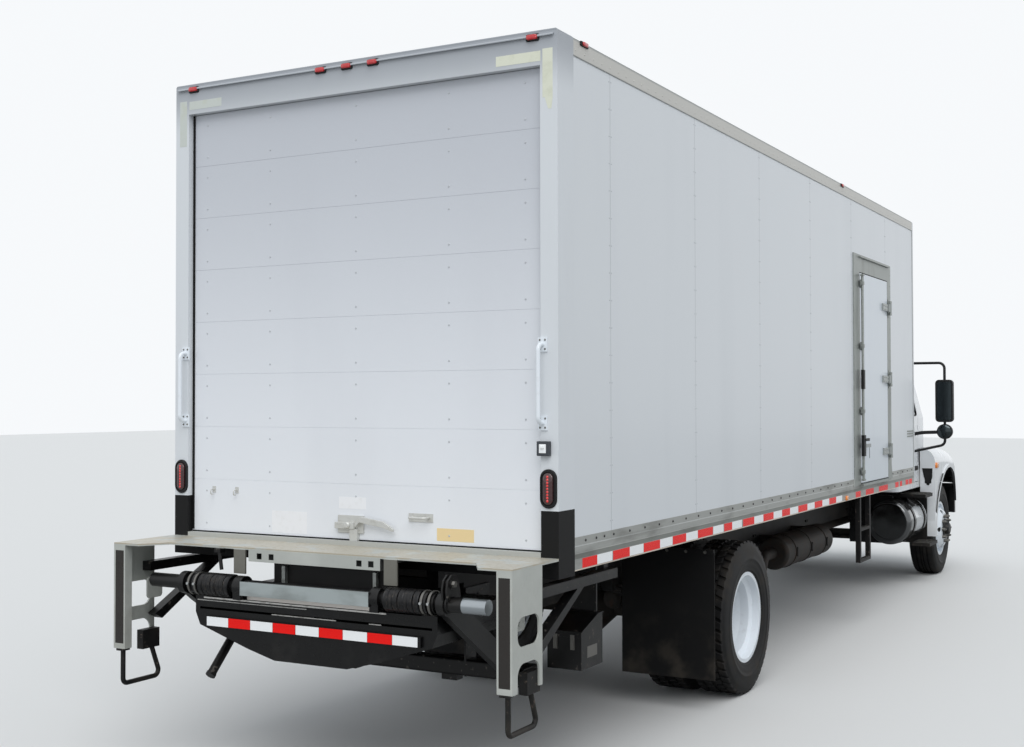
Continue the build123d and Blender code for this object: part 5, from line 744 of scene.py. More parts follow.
for front_x in AIR_TANK_FRONTS:
    for x in (front_x - 0.10, front_x - 0.60):
        valve = [(0.0, 0.0), (0.0, 0.012), (0.012, 0.012), (0.012, 0.007), (0.024, 0.007), (0.024, 0.0)]
        spun(drains, valve, (REAR + x, AIR_TANK_Y, 0.707), (0, 0, -1), 12)
    air_line = [(REAR + front_x - 0.02, AIR_TANK_Y, 0.824), (REAR + front_x + 0.05, AIR_TANK_Y, 0.824),
                (REAR + front_x + 0.05, 0.445, 0.860)]
    piped(drains, rounded(air_line, 0.03), 0.008, 8)
fitted("air_tank_fittings", drains, nut_steel, "chassis")
step_black = Finish("step black", linear(14, 14, 15), 0.55, specular_ior_level=0.3)
dusty(step_black, 1.2, 0.3)
step_black.tint(step_black.cloud(40.0, 4.0).rise(0.62, 0.7) * 0.6, linear(104, 92, 82))
step_black.bump(step_black.cloud(120.0), 0.0008, 0.4)
dress(step_black, "steps")
# Rear end, length, inner and outer edge and top of each cab step; then the loop ladder's rungs.
CAB_TREADS = ((8.630, 0.360, 0.900, 1.175, 0.957), (8.700, 0.400, 1.010, 1.200, 0.440))
GRIP_PITCH, GRIP_INSET = 0.026, 0.012
LADDER_RUNGS, RUNG_GRIPS = (0.575, 0.845), 12
worn_steel = Finish("worn step steel", linear(112, 110, 106), 0.45, 0.7)
worn_steel.tint(worn_steel.cloud(30.0, 4.0).rise(0.45, 0.65) * 0.8, linear(34, 33, 32))


def sided(side, inner, outer):
    """The span in Y, low end first, of what lies from inner to outer on one side."""
    return sorted((side * inner, side * outer))


treads = bmesh.new()
for side in (-1, 1):
    for tread_x, length, inner, outer, top in CAB_TREADS:
        for row in range(int(length / GRIP_PITCH)):
            x = REAR + tread_x + GRIP_INSET + row * GRIP_PITCH
            bar(treads, (x, x + 0.006), sided(side, inner + GRIP_INSET, outer - GRIP_INSET),
                (top - 0.001, top + 0.005))
    if side < 0:
        for rung_z in LADDER_RUNGS:
            for row in range(RUNG_GRIPS):
                x = REAR + 5.824 + row * 0.0258
                bar(treads, (x, x + 0.007), (-1.196, -1.164), (rung_z - 0.001, rung_z + 0.004))
fitted("step_grips", treads, worn_steel, "chassis")


# Mudflaps: 8 mm black rubber sheets that hang behind the twin wheels from a steel bar, each
# bolted along its top edge and dusty towards its foot.
flap_rubber = Finish("flap rubber", linear(11, 11, 12), 0.7, specular_ior_level=0.25)
flap_dust = flap_rubber.along("Z").rise(0.75, 0.15) * flap_rubber.cloud(7.0, 5.0).rise(0.4, 0.75)
flap_rubber.tint(flap_dust * 0.35, ROAD_DUST)
flap_rubber.bump(flap_rubber.cloud(3.0, 1.0), 0.012, 0.5)
flap_rubber.bump(flap_rubber.cloud(150.0), 0.0005, 0.4)
dress(flap_rubber, "mudflaps")
FLAP_BOLTS_Y = [0.62 + index * 0.128 for index in range(5)]
for side, label in SIDES:
    places = [(REAR + 2.1955, side * y, 1.003) for y in FLAP_BOLTS_Y]
    heads(f"flap_bolts_{label}", places, (-1, 0, 0), 0.011, 0.010, nut_steel, "chassis",
          sides=6, crown=0.85)


# Bottom rails: pressed aluminium channels along the foot of each wall, riveted through,
# dulled by the road. Red and white reflective tape runs along the lower band of each.
RAIL_FACE = 1.219
RAIL_RIVET_Z, ROOF_RIVET_Z = 1.262, 3.686
DOOR_GAP = (5.49, 6.92)
rail_metal = Finish("rail aluminium", linear(168, 169, 165), 0.44, 0.4)
height = rail_metal.along("Z")
top_rail = height > 3.6
low_rail = height < 1.30
corner = rail_metal.along("X") > REAR + 7.856
rail_metal.tint(low_rail * height.rise(1.205, 1.200) * height.rise(1.176, 1.180) * 0.6, linear(92, 98, 90))
rail_metal.tint(low_rail * (height - 1.240).size().rise(0.004, 0.002) * 0.8, linear(226, 228, 226))
rail_metal.tint(low_rail * height.rise(1.1265, 1.1255) * 0.8, linear(240, 226, 208))
rail_grime = rail_metal.cloud(7.0, 5.0, (0.35, 1.0, 1.6)).rise(0.48, 0.72) * low_rail * 0.4
rail_metal.tint(rail_grime, linear(84, 82, 76))
# Painted shade on the roof rail: a dark band along its top for the shade in its cove, and a dark line along
# its foot for the shadow gap below it.
rail_metal.tint(top_rail * height.rise(3.738, 3.741), linear(62, 72, 78))
rail_metal.tint(top_rail * height.rise(3.735, 3.728) * 0.85, linear(198, 196, 190))
rail_metal.tint(top_rail * height.rise(3.661, 3.658) * 0.7, linear(110, 112, 112))
rail_metal.tint(corner, linear(206, 209, 212))
rail_metal.set("Roughness", rail_grime * 0.5 + 0.38)
rail_metal.bump(rail_metal.cloud(50.0, 2.0, (0.1, 1.0, 1.0)), 0.0008, 0.3)
dress(rail_metal, "body_rails")
BOTTOM_RIVETS = [0.295, 0.419, 0.515, 0.630] + [0.836 + index * 0.2035 for index in range(35)]
TOP_RIVETS = [0.20 + index * 0.102 for index in range(75)]
for side, label in SIDES:
    low_row = [(REAR + x, side * RAIL_FACE, RAIL_RIVET_Z) for x in BOTTOM_RIVETS
               if side > 0 or not DOOR_GAP[0] < x < DOOR_GAP[1]]
    heads(f"rail_rivets_{label}", low_row, (0, side, 0), 0.0075, 0.0045, hub_black,
          "chassis", sides=10, crown=0.6)
    top_row = [(REAR + x, side * RAIL_FACE, ROOF_RIVET_Z) for x in TOP_RIVETS]
    heads(f"roof_rivets_{label}", top_row, (0, side, 0), 0.0045, 0.0025, rail_metal,
          "chassis", sides=8, crown=0.6)
# Colour, start and end of each piece of tape, forward from the rear face.
TAPE_EDGES = (
    ("red", 0.258, 0.429), ("white", 0.429, 0.612), ("red", 0.622, 0.834), ("white", 0.834, 1.018),
    ("red", 1.024, 1.253), ("white", 1.253, 1.438), ("red", 1.444, 1.651), ("white", 1.651, 1.840),
    ("red", 1.845, 2.099), ("white", 2.108, 2.290), ("red", 2.305, 2.453), ("white", 2.453, 2.641),
    ("red", 2.666, 2.892), ("white", 2.892, 3.083), ("red", 3.089, 3.310), ("white", 3.310, 3.503),
    ("red", 3.510, 3.696), ("white", 3.696, 3.896), ("red", 3.904, 4.135), ("white", 4.135, 4.325),
    ("red", 4.330, 4.541), ("white", 4.541, 4.736), ("red", 4.741, 4.943), ("white", 4.943, 5.127),
    ("red", 5.566, 5.732), ("red", 5.912, 6.194), ("red", 6.388, 6.731), ("red", 7.038, 7.174),
    ("red", 7.233, 7.324), ("red", 7.477, 7.602), ("red", 7.636, 7.761),
)
TAPE_Z = (1.1275, 1.1755)
TAPE_THICK = 0.0006


def prisms(finish):
    """The small moulded cells of reflective tape."""
    cells = finish.cells(420.0)
    finish.bump(cells, 0.0003, 0.4)
    finish.set("Roughness", cells.rise(0.2, 0.6) * 0.15 + 0.22)
    return finish


tape_red = prisms(Finish("red reflective tape", linear(248, 20, 14), 0.3, specular_ior_level=0.25))
tape_white = prisms(Finish("white reflective tape", linear(252, 253, 253), 0.3, specular_ior_level=0.3))
TAPES = (("red", tape_red, "lamp_red"), ("white", tape_white, "white_paint"))
for side, label in SIDES:
    for colour, finish, slot in TAPES:
        strips = bmesh.new()
        for kind, start, end in TAPE_EDGES:
            if kind == colour:
                span = sided(side, RAIL_FACE, RAIL_FACE + TAPE_THICK)
                bar(strips, (REAR + start, REAR + end), span, TAPE_Z)
        fitted(f"rail_tape_{colour}_{label}", strips, finish, "chassis")


# Rear frame: a welded steel portal, white enamel with black-painted feet and a grey sill. A
# bent drip strip runs under the roof edge, and reflective tape marks the upper corners.
FOOT_TOP = 1.425
frame_white = Finish("frame enamel", linear(224, 227, 230), 0.36, coat_weight=0.2,
                     specular_ior_level=0.3)
frame_height = frame_white.along("Z")
frame_film = frame_white.cloud(3.0, 5.0, (1.0, 1.0, 0.25)).rise(0.5, 0.8)
frame_white.tint(frame_film * 0.12, linear(160, 158, 156))
frame_white.tint((frame_height - 3.7425).size().rise(0.004, 0.003) * 0.75, linear(70, 74, 78))
# Painted shade: the frame's header darkens towards its top.
frame_white.tint(frame_height.rise(3.44, 3.72) * 0.85, linear(162, 166, 172))
frame_foot = frame_height < FOOT_TOP
frame_white.tint(frame_foot, linear(7, 7, 8))
frame_white.set("Roughness", frame_foot * 0.3 + 0.36)
frame_white.set("Coat Weight", 0.2 - frame_foot * 0.2)
frame_sill = (frame_height < 1.2225) * (frame_height > 1.1965)
frame_sill = frame_sill * (frame_white.along("Y").size() < 1.122)
frame_white.tint(frame_sill, linear(182, 183, 178))
frame_white.bump(frame_white.cloud(20.0, 2.0), 0.0008, 0.3)
dress(frame_white, "rear_frame")


def from_rear(outline):
    """An outline whose first distances are given forward from the body's rear face."""
    return [(REAR + reach, other) for reach, other in outline]


drip = bmesh.new()
drip_profile = [(0.0, 3.722), (-0.006, 3.722), (-0.012, 3.716), (-0.014, 3.717), (-0.014, 3.721),
                (-0.008, 3.728), (0.0, 3.729)]
prism(drip, from_rear(drip_profile), "Y", -1.20, 1.20)
fitted("rear_drip_strip", drip, frame_white, "chassis", 0.0006)
corner_tape = bmesh.new()
bar(corner_tape, (REAR - 0.0007, REAR), (-1.127, -0.879), (3.600, 3.650))
bar(corner_tape, (REAR - 0.0006, REAR), (-1.193, -1.138), (3.420, 3.657))
torn_end = [(-1.193, 3.420), (-1.150, 3.420), (-1.168, 3.363), (-1.186, 3.363)]
prism(corner_tape, torn_end, "X", REAR - 0.0006, REAR)
bar(corner_tape, (REAR - 0.0007, REAR), (0.884, 1.120), (3.605, 3.652))
bar(corner_tape, (REAR - 0.0006, REAR), (1.138, 1.190), (3.40, 3.657))
aged_tape = prisms(Finish("aged pale tape", linear(230, 231, 212), 0.3))
aged_tape.tint((aged_tape.along("Y") > 0.5) * 0.75, linear(198, 204, 202))
aged_tape.tint(aged_tape.cloud(14.0, 4.0).rise(0.5, 0.7) * 0.3, linear(196, 198, 172))
fitted("corner_tape", corner_tape, aged_tape, "chassis")


# Roll-up door: eight plywood-cored panels faced in white sheet, hinged together at close
# joints and carried on rollers in side tracks; rubber at the foot and edges, a zinc slam
# latch with its pull, two hooks, and blank films where labels would be.
DOOR_FACE = REAR + 0.042
ROLL_PANELS, ROLL_LOW, ROLL_PITCH = 8, 1.2223, 0.29434
FASTENER_COLUMNS = (1.02, 0.570, -0.005, -0.580, -1.02)
roll_white = Finish("door enamel", linear(240, 242, 246), 0.34, coat_weight=0.2)
roll_streak = roll_white.cloud(1.8, 4.0, (1.0, 1.0, 0.2)).rise(0.45, 0.8)
roll_white.tint(roll_streak * 0.10, linear(184, 184, 190))
# Painted shade: the door darkens towards its top, standing in for the light that falls off up its face.
roll_white.tint(roll_white.along("Z").rise(1.3, 3.8) * 0.85, linear(190, 193, 200))
roll_white.bump(roll_white.cloud(1.1, 1.0), 0.004, 0.3)
dress(roll_white, "roll_up_door")
door_heads = []
for panel in range(ROLL_PANELS):
    for column in FASTENER_COLUMNS:
        for rise in (0.052, 0.232):
            door_heads.append((DOOR_FACE, column, ROLL_LOW + panel * ROLL_PITCH + rise))
heads("door_fasteners", door_heads, (-1, 0, 0), 0.0060, 0.0028, rivet_white, "chassis",
      sides=10, crown=0.6)
seal = bmesh.new()
bar(seal, (DOOR_FACE - 0.006, DOOR_FACE + 0.004), (-1.120, 1.120), (1.2222, 1.2290))
for side in (-1, 1):
    bar(seal, (DOOR_FACE - 0.006, DOOR_FACE - 0.0005), sided(side, 1.110, 1.124), (1.236, 3.575))
fitted("door_seals", seal, flap_rubber, "chassis", 0.001)
joints = bmesh.new()
for panel in range(1, ROLL_PANELS):
    joint_z = ROLL_LOW + panel * ROLL_PITCH
    bar(joints, (DOOR_FACE + 0.0009, DOOR_FACE + 0.0035), (-1.119, 1.119),
        (joint_z - 0.0020, joint_z + 0.0020))
fitted("door_joint_strips", joints, roll_white, "chassis")
lock = bmesh.new()
bar(lock, (DOOR_FACE - 0.010, DOOR_FACE), (-0.060, 0.105), (1.262, 1.355))
bar(lock, (DOOR_FACE - 0.030, DOOR_FACE - 0.010), (-0.012, 0.112), (1.285, 1.318))
latch_arm = [(-0.02, 1.318), (-0.06, 1.352), (-0.20, 1.332), (-0.262, 1.296), (-0.262, 1.282),
             (-0.19, 1.302), (-0.05, 1.322), (-0.02, 1.292)]
prism(lock, latch_arm, "X", DOOR_FACE - 0.036, DOOR_FACE - 0.022)
latch_pivot = [(0.0, 0.0), (0.0, 0.018), (0.036, 0.018), (0.041, 0.012), (0.041, 0.0)]
spun(lock, latch_pivot, (DOOR_FACE, 0.030, 1.304), (-1, 0, 0), 20)
bar(lock, (DOOR_FACE - 0.024, DOOR_FACE), (-0.03, 0.02), (1.222, 1.285))
latch_zinc = Finish("latch zinc", linear(208, 208, 204), 0.4, 0.35)
latch_zinc.tint(latch_zinc.cloud(24.0, 4.0).rise(0.5, 0.7) * 0.3, linear(164, 160, 150))
fitted("slam_latch", lock, latch_zinc, "chassis", 0.002)
pull = bmesh.new()
bar(pull, (DOOR_FACE - 0.004, DOOR_FACE), (-0.485, -0.338), (1.337, 1.381))
PULL_Z, PULL_REACH = 1.360, 0.045
pull_route = [(DOOR_FACE, -0.362, PULL_Z), (DOOR_FACE - PULL_REACH, -0.362, PULL_Z),
              (DOOR_FACE - PULL_REACH, -0.460, PULL_Z), (DOOR_FACE, -0.460, PULL_Z)]
piped(pull, rounded(pull_route, 0.016), 0.0065, 10)
fitted("door_pull", pull, latch_zinc, "chassis", 0.001)
hooks = bmesh.new()
for hook_y in (0.965, 0.801):
    hook_route = [(DOOR_FACE, hook_y, 1.462), (DOOR_FACE - 0.03, hook_y, 1.462),
                  (DOOR_FACE - 0.03, hook_y, 1.436), (DOOR_FACE - 0.012, hook_y, 1.436)]
    piped(hooks, rounded(hook_route, 0.008), 0.0035, 8)
    bar(hooks, (DOOR_FACE - 0.003, DOOR_FACE), (hook_y - 0.012, hook_y + 0.012), (1.445, 1.480))
fitted("door_hooks", hooks, latch_zinc, "chassis", 0.0008)
# Low and high ends of each film in Y, then in Z.
FILMS = ((0.316, 0.554, 1.241, 1.360), (-0.070, 0.104, 1.3885, 1.450), (-0.725, -0.507, 1.247, 1.311))
blanks = bmesh.new()
for low_y, high_y, low_z, high_z in FILMS:
    bar(blanks, (DOOR_FACE - 0.0005, DOOR_FACE), (low_y, high_y), (low_z, high_z))
bare_film = Finish("blank film", linear(246, 246, 248), 0.28)
bare_film.tint(bare_film.cloud(30.0, 4.0).rise(0.5, 0.8) * 0.2, linear(200, 198, 190))
bare_film.tint(bare_film.along("Y") < -0.3, linear(242, 216, 164))
fitted("blank_films", blanks, bare_film, "chassis")


# Lamps: sealed red units in black rubber grommets or dark housings, five along the header and
# two on each roof rail, an oval tail lamp in each post with a column of bright reflectors
# in its dark lens, and an amber marker on each bottom rail.
lamp_red = Finish("red lens", linear(206, 22, 30), 0.12, coat_weight=1.0, coat_roughness=0.04)
lamp_red.tint((lamp_red.along("Z") < 1.70) * (lamp_red.along("Z") > 1.30), linear(58, 12, 16))
lamp_red.bump(lamp_red.along("Z").repeat(0.006).rise(0.003, 0.0), 0.0008, 0.6)
lamp_red.bump((lamp_red.along("Y") + lamp_red.along("X")).repeat(0.006).rise(0.003, 0.0), 0.0008, 0.6)
lamp_amber = Finish("amber lens", linear(250, 140, 30), 0.12, coat_weight=1.0)
lamp_amber.bump(lamp_amber.along("X").repeat(0.006).rise(0.003, 0.0), 0.0008, 0.6)
grommet = Finish("lamp grommet", linear(14, 14, 15), 0.52, specular_ior_level=0.35)
grommet.bump(grommet.cloud(90.0), 0.0004, 0.3)


def oblong(low_u, high_u, low_v, high_v, radius, steps=5):
    """Corner points of a rectangle with round corners."""
    points = []
    corners = ((high_u - radius, high_v - radius, 0), (low_u + radius, high_v - radius, 90),
               (low_u + radius, low_v + radius, 180), (high_u - radius, low_v + radius, 270))
    for centre_u, centre_v, start in corners:
        for step in range(steps + 1):
            angle = math.radians(start + 90 * step / steps)
            points.append((centre_u + radius * math.cos(angle), centre_v + radius * math.sin(angle)))
    return points


DOME = ((1.0, 0.0), (1.0, 0.55), (0.93, 0.80), (0.72, 0.95), (0.4, 1.0))
GROMMET = ((1.0, 0.0), (1.0, 0.6), (0.96, 1.0), (0.86, 1.0), (0.84, 0.6))


def domed(bm, outline, axis, base, height, rows=DOME):
    """A moulded cap: the outline drawn in by rows of (share, rise) from its base."""
    centre_u = sum(u for u, v in outline) / len(outline)
    centre_v = sum(v for u, v in outline) / len(outline)
    rings = []
    for share, rise in rows:
        w = base + height * rise
        ring = []
        for u, v in outline:
            a, b = centre_u + (u - centre_u) * share, centre_v + (v - centre_v) * share
            ring.append(bm.verts.new({"X": (w, a, b), "Y": (a, w, b), "Z": (a, b, w)}[axis]))
        rings.append(ring)
    bm.faces.new(rings[0])
    bm.faces.new(rings[-1])
    count = len(outline)
    for low, high in zip(rings, rings[1:]):
        for index in range(count):
            after = (index + 1) % count
            bm.faces.new((low[index], low[after], high[after], high[index]))


HEADER_LAMPS = [(y, 3.718) for y in (-1.085, -0.143, 0.023, 0.194, 1.085)]
SIDE_LAMPS = ((0.294, 3.734), (5.195, 3.731))
AMBER_X, AMBER_Z = REAR + 5.268, 1.144
TAIL_Y, TAIL_FOOT, TAIL_TOP = 1.167, 1.437, 1.626
lenses, bases = bmesh.new(), bmesh.new()
for y, z in HEADER_LAMPS:
    domed(bases, oblong(y - 0.036, y + 0.036, z - 0.019, z + 0.017, 0.008), "X", REAR + 0.001, -0.011)
    domed(lenses, oblong(y - 0.030, y + 0.030, z - 0.012, z + 0.012, 0.010), "X", REAR - 0.007, -0.014)
for side in (-1, 1):
    y = side * TAIL_Y
    ring = oblong(y - 0.045, y + 0.045, TAIL_FOOT, TAIL_TOP, 0.045, 8)
    domed(bases, ring, "X", REAR + 0.001, -0.012, GROMMET)
    oval = oblong(y - 0.027, y + 0.027, TAIL_FOOT + 0.019, TAIL_TOP - 0.019, 0.027, 8)
    domed(lenses, oval, "X", REAR - 0.006, -0.012)
    for x, z in SIDE_LAMPS:
        domed(bases, oblong(REAR + x - 0.045, REAR + x + 0.045, z - 0.013, z + 0.012, 0.006), "Y",
              side * (RAIL_FACE - 0.001), side * 0.009)
        domed(lenses, oblong(REAR + x - 0.030, REAR + x + 0.030, z - 0.010, z + 0.010, 0.009), "Y",
              side * (RAIL_FACE + 0.004), side * 0.011)
lens_piece = fitted("red_lenses", lenses, lamp_red, "chassis")
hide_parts("lamps")
lamp_bright = Finish("lamp reflectors", linear(236, 60, 58), 0.2, coat_weight=0.6)
DOT_COUNT, DOT_FOOT, DOT_PITCH = 9, 1.4735, 0.0145
tail_dots = []
for side in (-1, 1):
    for step in range(DOT_COUNT):
        tail_dots.append((REAR - 0.0176, side * TAIL_Y, DOT_FOOT + step * DOT_PITCH))
heads("tail_lamp_dots", tail_dots, (-1, 0, 0), 0.0066, 0.0022, lamp_bright, "chassis",
      sides=10, crown=0.6)
fitted("lamp_bases", bases, grommet, "chassis")
ambers = bmesh.new()
for side in (-1, 1):
    amber = oblong(AMBER_X - 0.032, AMBER_X + 0.032, AMBER_Z - 0.020, AMBER_Z + 0.020, 0.016)
    domed(ambers, amber, "Y", side * RAIL_FACE, side * 0.013)
fitted("amber_markers", ambers, lamp_amber, "chassis")


# Grab handles: white powder-coated bar bolted to each rear post through two flat pads. The
# gate's control box is screwed to the right post beneath its handle.
dress(rim_white, "grab_handles")
HANDLE_Y, HANDLE_PADS = 1.137, (1.847, 2.225)
handle_bolts = []
for side in (-1, 1):
    for pad_z in HANDLE_PADS:
        for rise in (-0.022, 0.022):
            for shift in (0.014, -0.014):
                handle_bolts.append((REAR - 0.0072, side * HANDLE_Y + shift, pad_z + rise))
heads("handle_bolts", handle_bolts, (-1, 0, 0), 0.0055, 0.004, nut_steel, "chassis", sides=8)
control = bmesh.new()
bar(control, (REAR - 0.028, REAR), (-1.181, -1.114), (1.689, 1.760))
box_grey = Finish("control box", linear(58, 62, 68), 0.45)
fitted("control_box", control, box_grey, "chassis", 0.004)
rocker = bmesh.new()
bar(rocker, (REAR - 0.031, REAR - 0.027), (-1.166, -1.129), (1.703, 1.746))
bar(rocker, (REAR - 0.038, REAR - 0.030), (-1.157, -1.138), (1.726, 1.738))
fitted("control_switch", rocker, tape_white, "chassis", 0.0015)


# Side door: an insulated white leaf in a galvanised steel frame, hung on three strap hinges
# and held by a cam-lock bar along its rear edge, with keepers top and bottom and a lever.
WALL_FLANGE = 1.225
galvanised = Finish("galvanised steel", linear(150, 154, 150), 0.42, 0.75)
spangle = galvanised.cells(55.0).rise(0.1, 0.9)
galvanised.tint(spangle * 0.35, linear(186, 190, 188))
galvanised.tint(galvanised.cloud(6.0, 5.0, (1.0, 1.0, 0.3)).rise(0.5, 0.75) * 0.35, linear(112, 112, 104))
galvanised.set("Roughness", spangle * 0.15 + 0.36)
galvanised.bump(galvanised.cloud(60.0), 0.0006, 0.3)
dress(galvanised, "side_door_frame")
leaf_white = Finish("side door enamel", linear(218, 224, 230), 0.34, coat_weight=0.2)
leaf_white.tint(leaf_white.cloud(2.5, 4.0, (1.0, 1.0, 0.2)).rise(0.5, 0.8) * 0.15, linear(176, 180, 184))
hinge_side = leaf_white.along("Y") < -WALL_FLANGE - 0.001
leaf_white.tint(hinge_side, linear(150, 154, 152))
leaf_white.bump(leaf_white.cloud(1.3, 1.0), 0.003, 0.3)
dress(leaf_white, "side_door")
LOCK_X, LOCK_Y = REAR + 5.712, -1.252
PAD_FACE, PLATE_FACE = -1.236, -1.240
GUIDE_ROWS, CAM_ROWS = (1.34, 1.86, 2.42, 2.96), (1.264, 3.022)
lock_bar = bmesh.new()
piped(lock_bar, [(LOCK_X, LOCK_Y, 1.262), (LOCK_X, LOCK_Y, 3.040)], 0.011, 12)
for z in GUIDE_ROWS:
    bar(lock_bar, (REAR + 5.735, REAR + 5.790), (PAD_FACE, -WALL_FLANGE), (z - 0.035, z + 0.035))
    bar(lock_bar, (LOCK_X - 0.015, REAR + 5.780), (PLATE_FACE, PAD_FACE), (z - 0.024, z + 0.024))
    bar(lock_bar, (LOCK_X - 0.015, LOCK_X + 0.015), (-1.266, PLATE_FACE), (z - 0.015, z + 0.015))
for z in CAM_ROWS:
    bar(lock_bar, (LOCK_X - 0.014, LOCK_X + 0.014), (-1.268, PAD_FACE), (z, z + 0.016))
    bar(lock_bar, (LOCK_X - 0.034, LOCK_X - 0.010), (-1.268, LOCK_Y), (z, z + 0.016))
fitted("side_door_lock_bar", lock_bar, galvanised, "side_door", 0.0012)
lever = bmesh.new()
bar(lever, (LOCK_X - 0.032, LOCK_X + 0.028), (-1.268, -1.242), (1.475, 1.655))
bar(lever, (LOCK_X - 0.030, LOCK_X + 0.022), (-1.266, -1.242), (2.050, 2.215))
bar(lever, (LOCK_X, LOCK_X + 0.135), (-1.274, -1.262), (1.602, 1.626))
bar(lever, (REAR + 6.024, REAR + 6.036), (-1.2262, -1.2245), (1.445, 1.540))
fitted("side_door_lever", lever, grommet, "side_door", 0.0015)
# The seal's rear, front, top and bottom runs, as ends in X and then in Z.
SEAL_RUNS = ((5.7215, 5.7290, 1.237, 3.058), (6.7310, 6.7385, 1.237, 3.058),
             (5.7290, 6.7310, 3.050, 3.058), (5.7290, 6.7310, 1.237, 1.245))
leaf_seal = bmesh.new()
for low_x, high_x, low_z, high_z in SEAL_RUNS:
    bar(leaf_seal, (REAR + low_x, REAR + high_x), (-1.224, -1.205), (low_z, high_z))
fitted("side_door_seal", leaf_seal, flap_rubber, "side_door")
HINGE_ROWS, HINGE_BOLTS_X = (1.487, 2.1475, 2.808), (6.55, 6.62, 6.69)
hinge_bolts = []
for hinge_z in HINGE_ROWS:
    for x in HINGE_BOLTS_X:
        for rise in (0.016, -0.016):
            hinge_bolts.append((REAR + x, -1.2412, hinge_z + rise))
heads("hinge_bolts", hinge_bolts, (0, -1, 0), 0.0075, 0.005, galvanised, "side_door", sides=8)
flange_rivets = []
for step in range(18):
    for x in (5.552, 6.850):
        flange_rivets.append((REAR + x, -WALL_FLANGE, 1.42 + step * 0.1))
for step in range(11):
    flange_rivets.append((REAR + 5.62 + step * 0.115, -WALL_FLANGE, 3.19))
heads("flange_rivets", flange_rivets, (0, -1, 0), 0.005, 0.003, galvanised, "chassis",
      sides=8)


# Liftgate deck: a galvanised plate with welded end posts, dulled and rust-stained along its
# edges, over a framed recess whose black back sheet is painted shade. Dark rubbing strips face
# the rear on each post, and the steps below are black.
gate_grey = Finish("gate zinc grey", linear(184, 186, 180), 0.5, 0.2)
UNDER_DECK = (1.1879, 1.1870)
gate_grey.tint(gate_grey.cloud(5.0, 6.0).rise(0.42, 0.75) * 0.45, linear(210, 211, 204))
gate_grey.tint(gate_grey.cloud(3.0, 6.0, (1.0, 0.35, 1.0)).rise(0.52, 0.72) * 0.35, linear(150, 144, 130))
deck_rim = (gate_grey.along("Z") - 1.197).size().rise(0.0045, 0.002)
deck_rim = deck_rim * gate_grey.cloud(8.0, 5.0).rise(0.36, 0.5)
gate_grey.tint(deck_rim * 0.7, linear(184, 168, 140))
under_deck = gate_grey.along("Z").rise(*UNDER_DECK) * (gate_grey.along("Y").size() < 1.13)
beam_face = (gate_grey.along("X") < REAR - 0.3215) * (gate_grey.along("Y").size() < 0.411)
gate_grey.tint(under_deck * (1 - beam_face) * 0.9, linear(26, 26, 27))
hanging = ((gate_grey.along("Y").size() - 0.470).size() < 0.042) * (gate_grey.along("X") < REAR - 0.31)
gate_grey.tint(hanging * gate_grey.along("Z").rise(*UNDER_DECK), linear(118, 116, 108))
rubbing = (gate_grey.along("X") < REAR - 0.459) * (gate_grey.along("Z") < 1.160)
rubbing = rubbing * (gate_grey.along("Z") > 0.665)
rubbing = rubbing * ((gate_grey.along("Y").size() - 1.178).size() < 0.030)
gate_grey.tint(rubbing, linear(44, 40, 37))
scuffs = gate_grey.cloud(40.0, 6.0).rise(0.5, 0.62)
gate_grey.set("Roughness", scuffs * 0.2 + 0.42)
gate_grey.bump(gate_grey.cloud(70.0, 4.0), 0.0008, 0.4)
dress(gate_grey, "gate_deck")
WELD_Z = 1.1865
POST_WELDS = ((-0.455, -0.175, 1.2075, 1.2075), (-0.449, -0.449, 1.142, 1.205))
BEAM_WELDS, BEAM_X = ((-0.405, 0.405), (-0.506, -0.434), (0.434, 0.506)), REAR - 0.319
post_welds = bmesh.new()
for side in (-1, 1):
    for start_x, end_x, start_y, end_y in POST_WELDS:
        weld = [(REAR + start_x, side * start_y, WELD_Z), (REAR + end_x, side * end_y, WELD_Z)]
        piped(post_welds, weld, 0.0045, 6)
for start_y, end_y in BEAM_WELDS:
    piped(post_welds, [(BEAM_X, start_y, WELD_Z), (BEAM_X, end_y, WELD_Z)], 0.0035, 6)
fitted("deck_weld_beads", post_welds, gate_grey, "chassis")
# The recess frame's two uprights and its foot, as ends in Y and then in Z.
RECESS_FRAME = ((0.222, 0.243, 1.000, 1.110), (-0.345, -0.324, 1.000, 1.110),
                (-0.345, 0.243, 0.996, 1.010))
recess = bmesh.new()
for low_y, high_y, low_z, high_z in RECESS_FRAME:
    bar(recess, (REAR - 0.262, REAR - 0.236), (low_y, high_y), (low_z, high_z))
fitted("deck_recess_frame", recess, galvanised, "chassis", 0.002)
# Painted shade: a black sheet at the back of the recess stands for the shade inside it.
recess_shade_sheet = bmesh.new()
bar(recess_shade_sheet, (REAR - 0.236, REAR - 0.230), (-0.400, 0.312), (0.998, 1.150))
fitted("deck_recess_shade_sheet", recess_shade_sheet, chassis_black, "chassis", 0.001)
post_plates = bmesh.new()
for side in (-1, 1):
    prism(post_plates, from_rear(oblong(-0.305, -0.190, 0.885, 1.000, 0.02)), "Y",
          *sided(side, 1.1300, 1.1380))
    for stud_z in (0.918, 0.965):
        stud = [(0.0, 0.0), (0.0, 0.012), (0.006, 0.011), (0.008, 0.0)]
        spun(post_plates, stud, (REAR - 0.247, side * 1.1380, stud_z), (0, side, 0), 12)
fitted("post_inner_plates", post_plates, gate_grey, "chassis", 0.001)


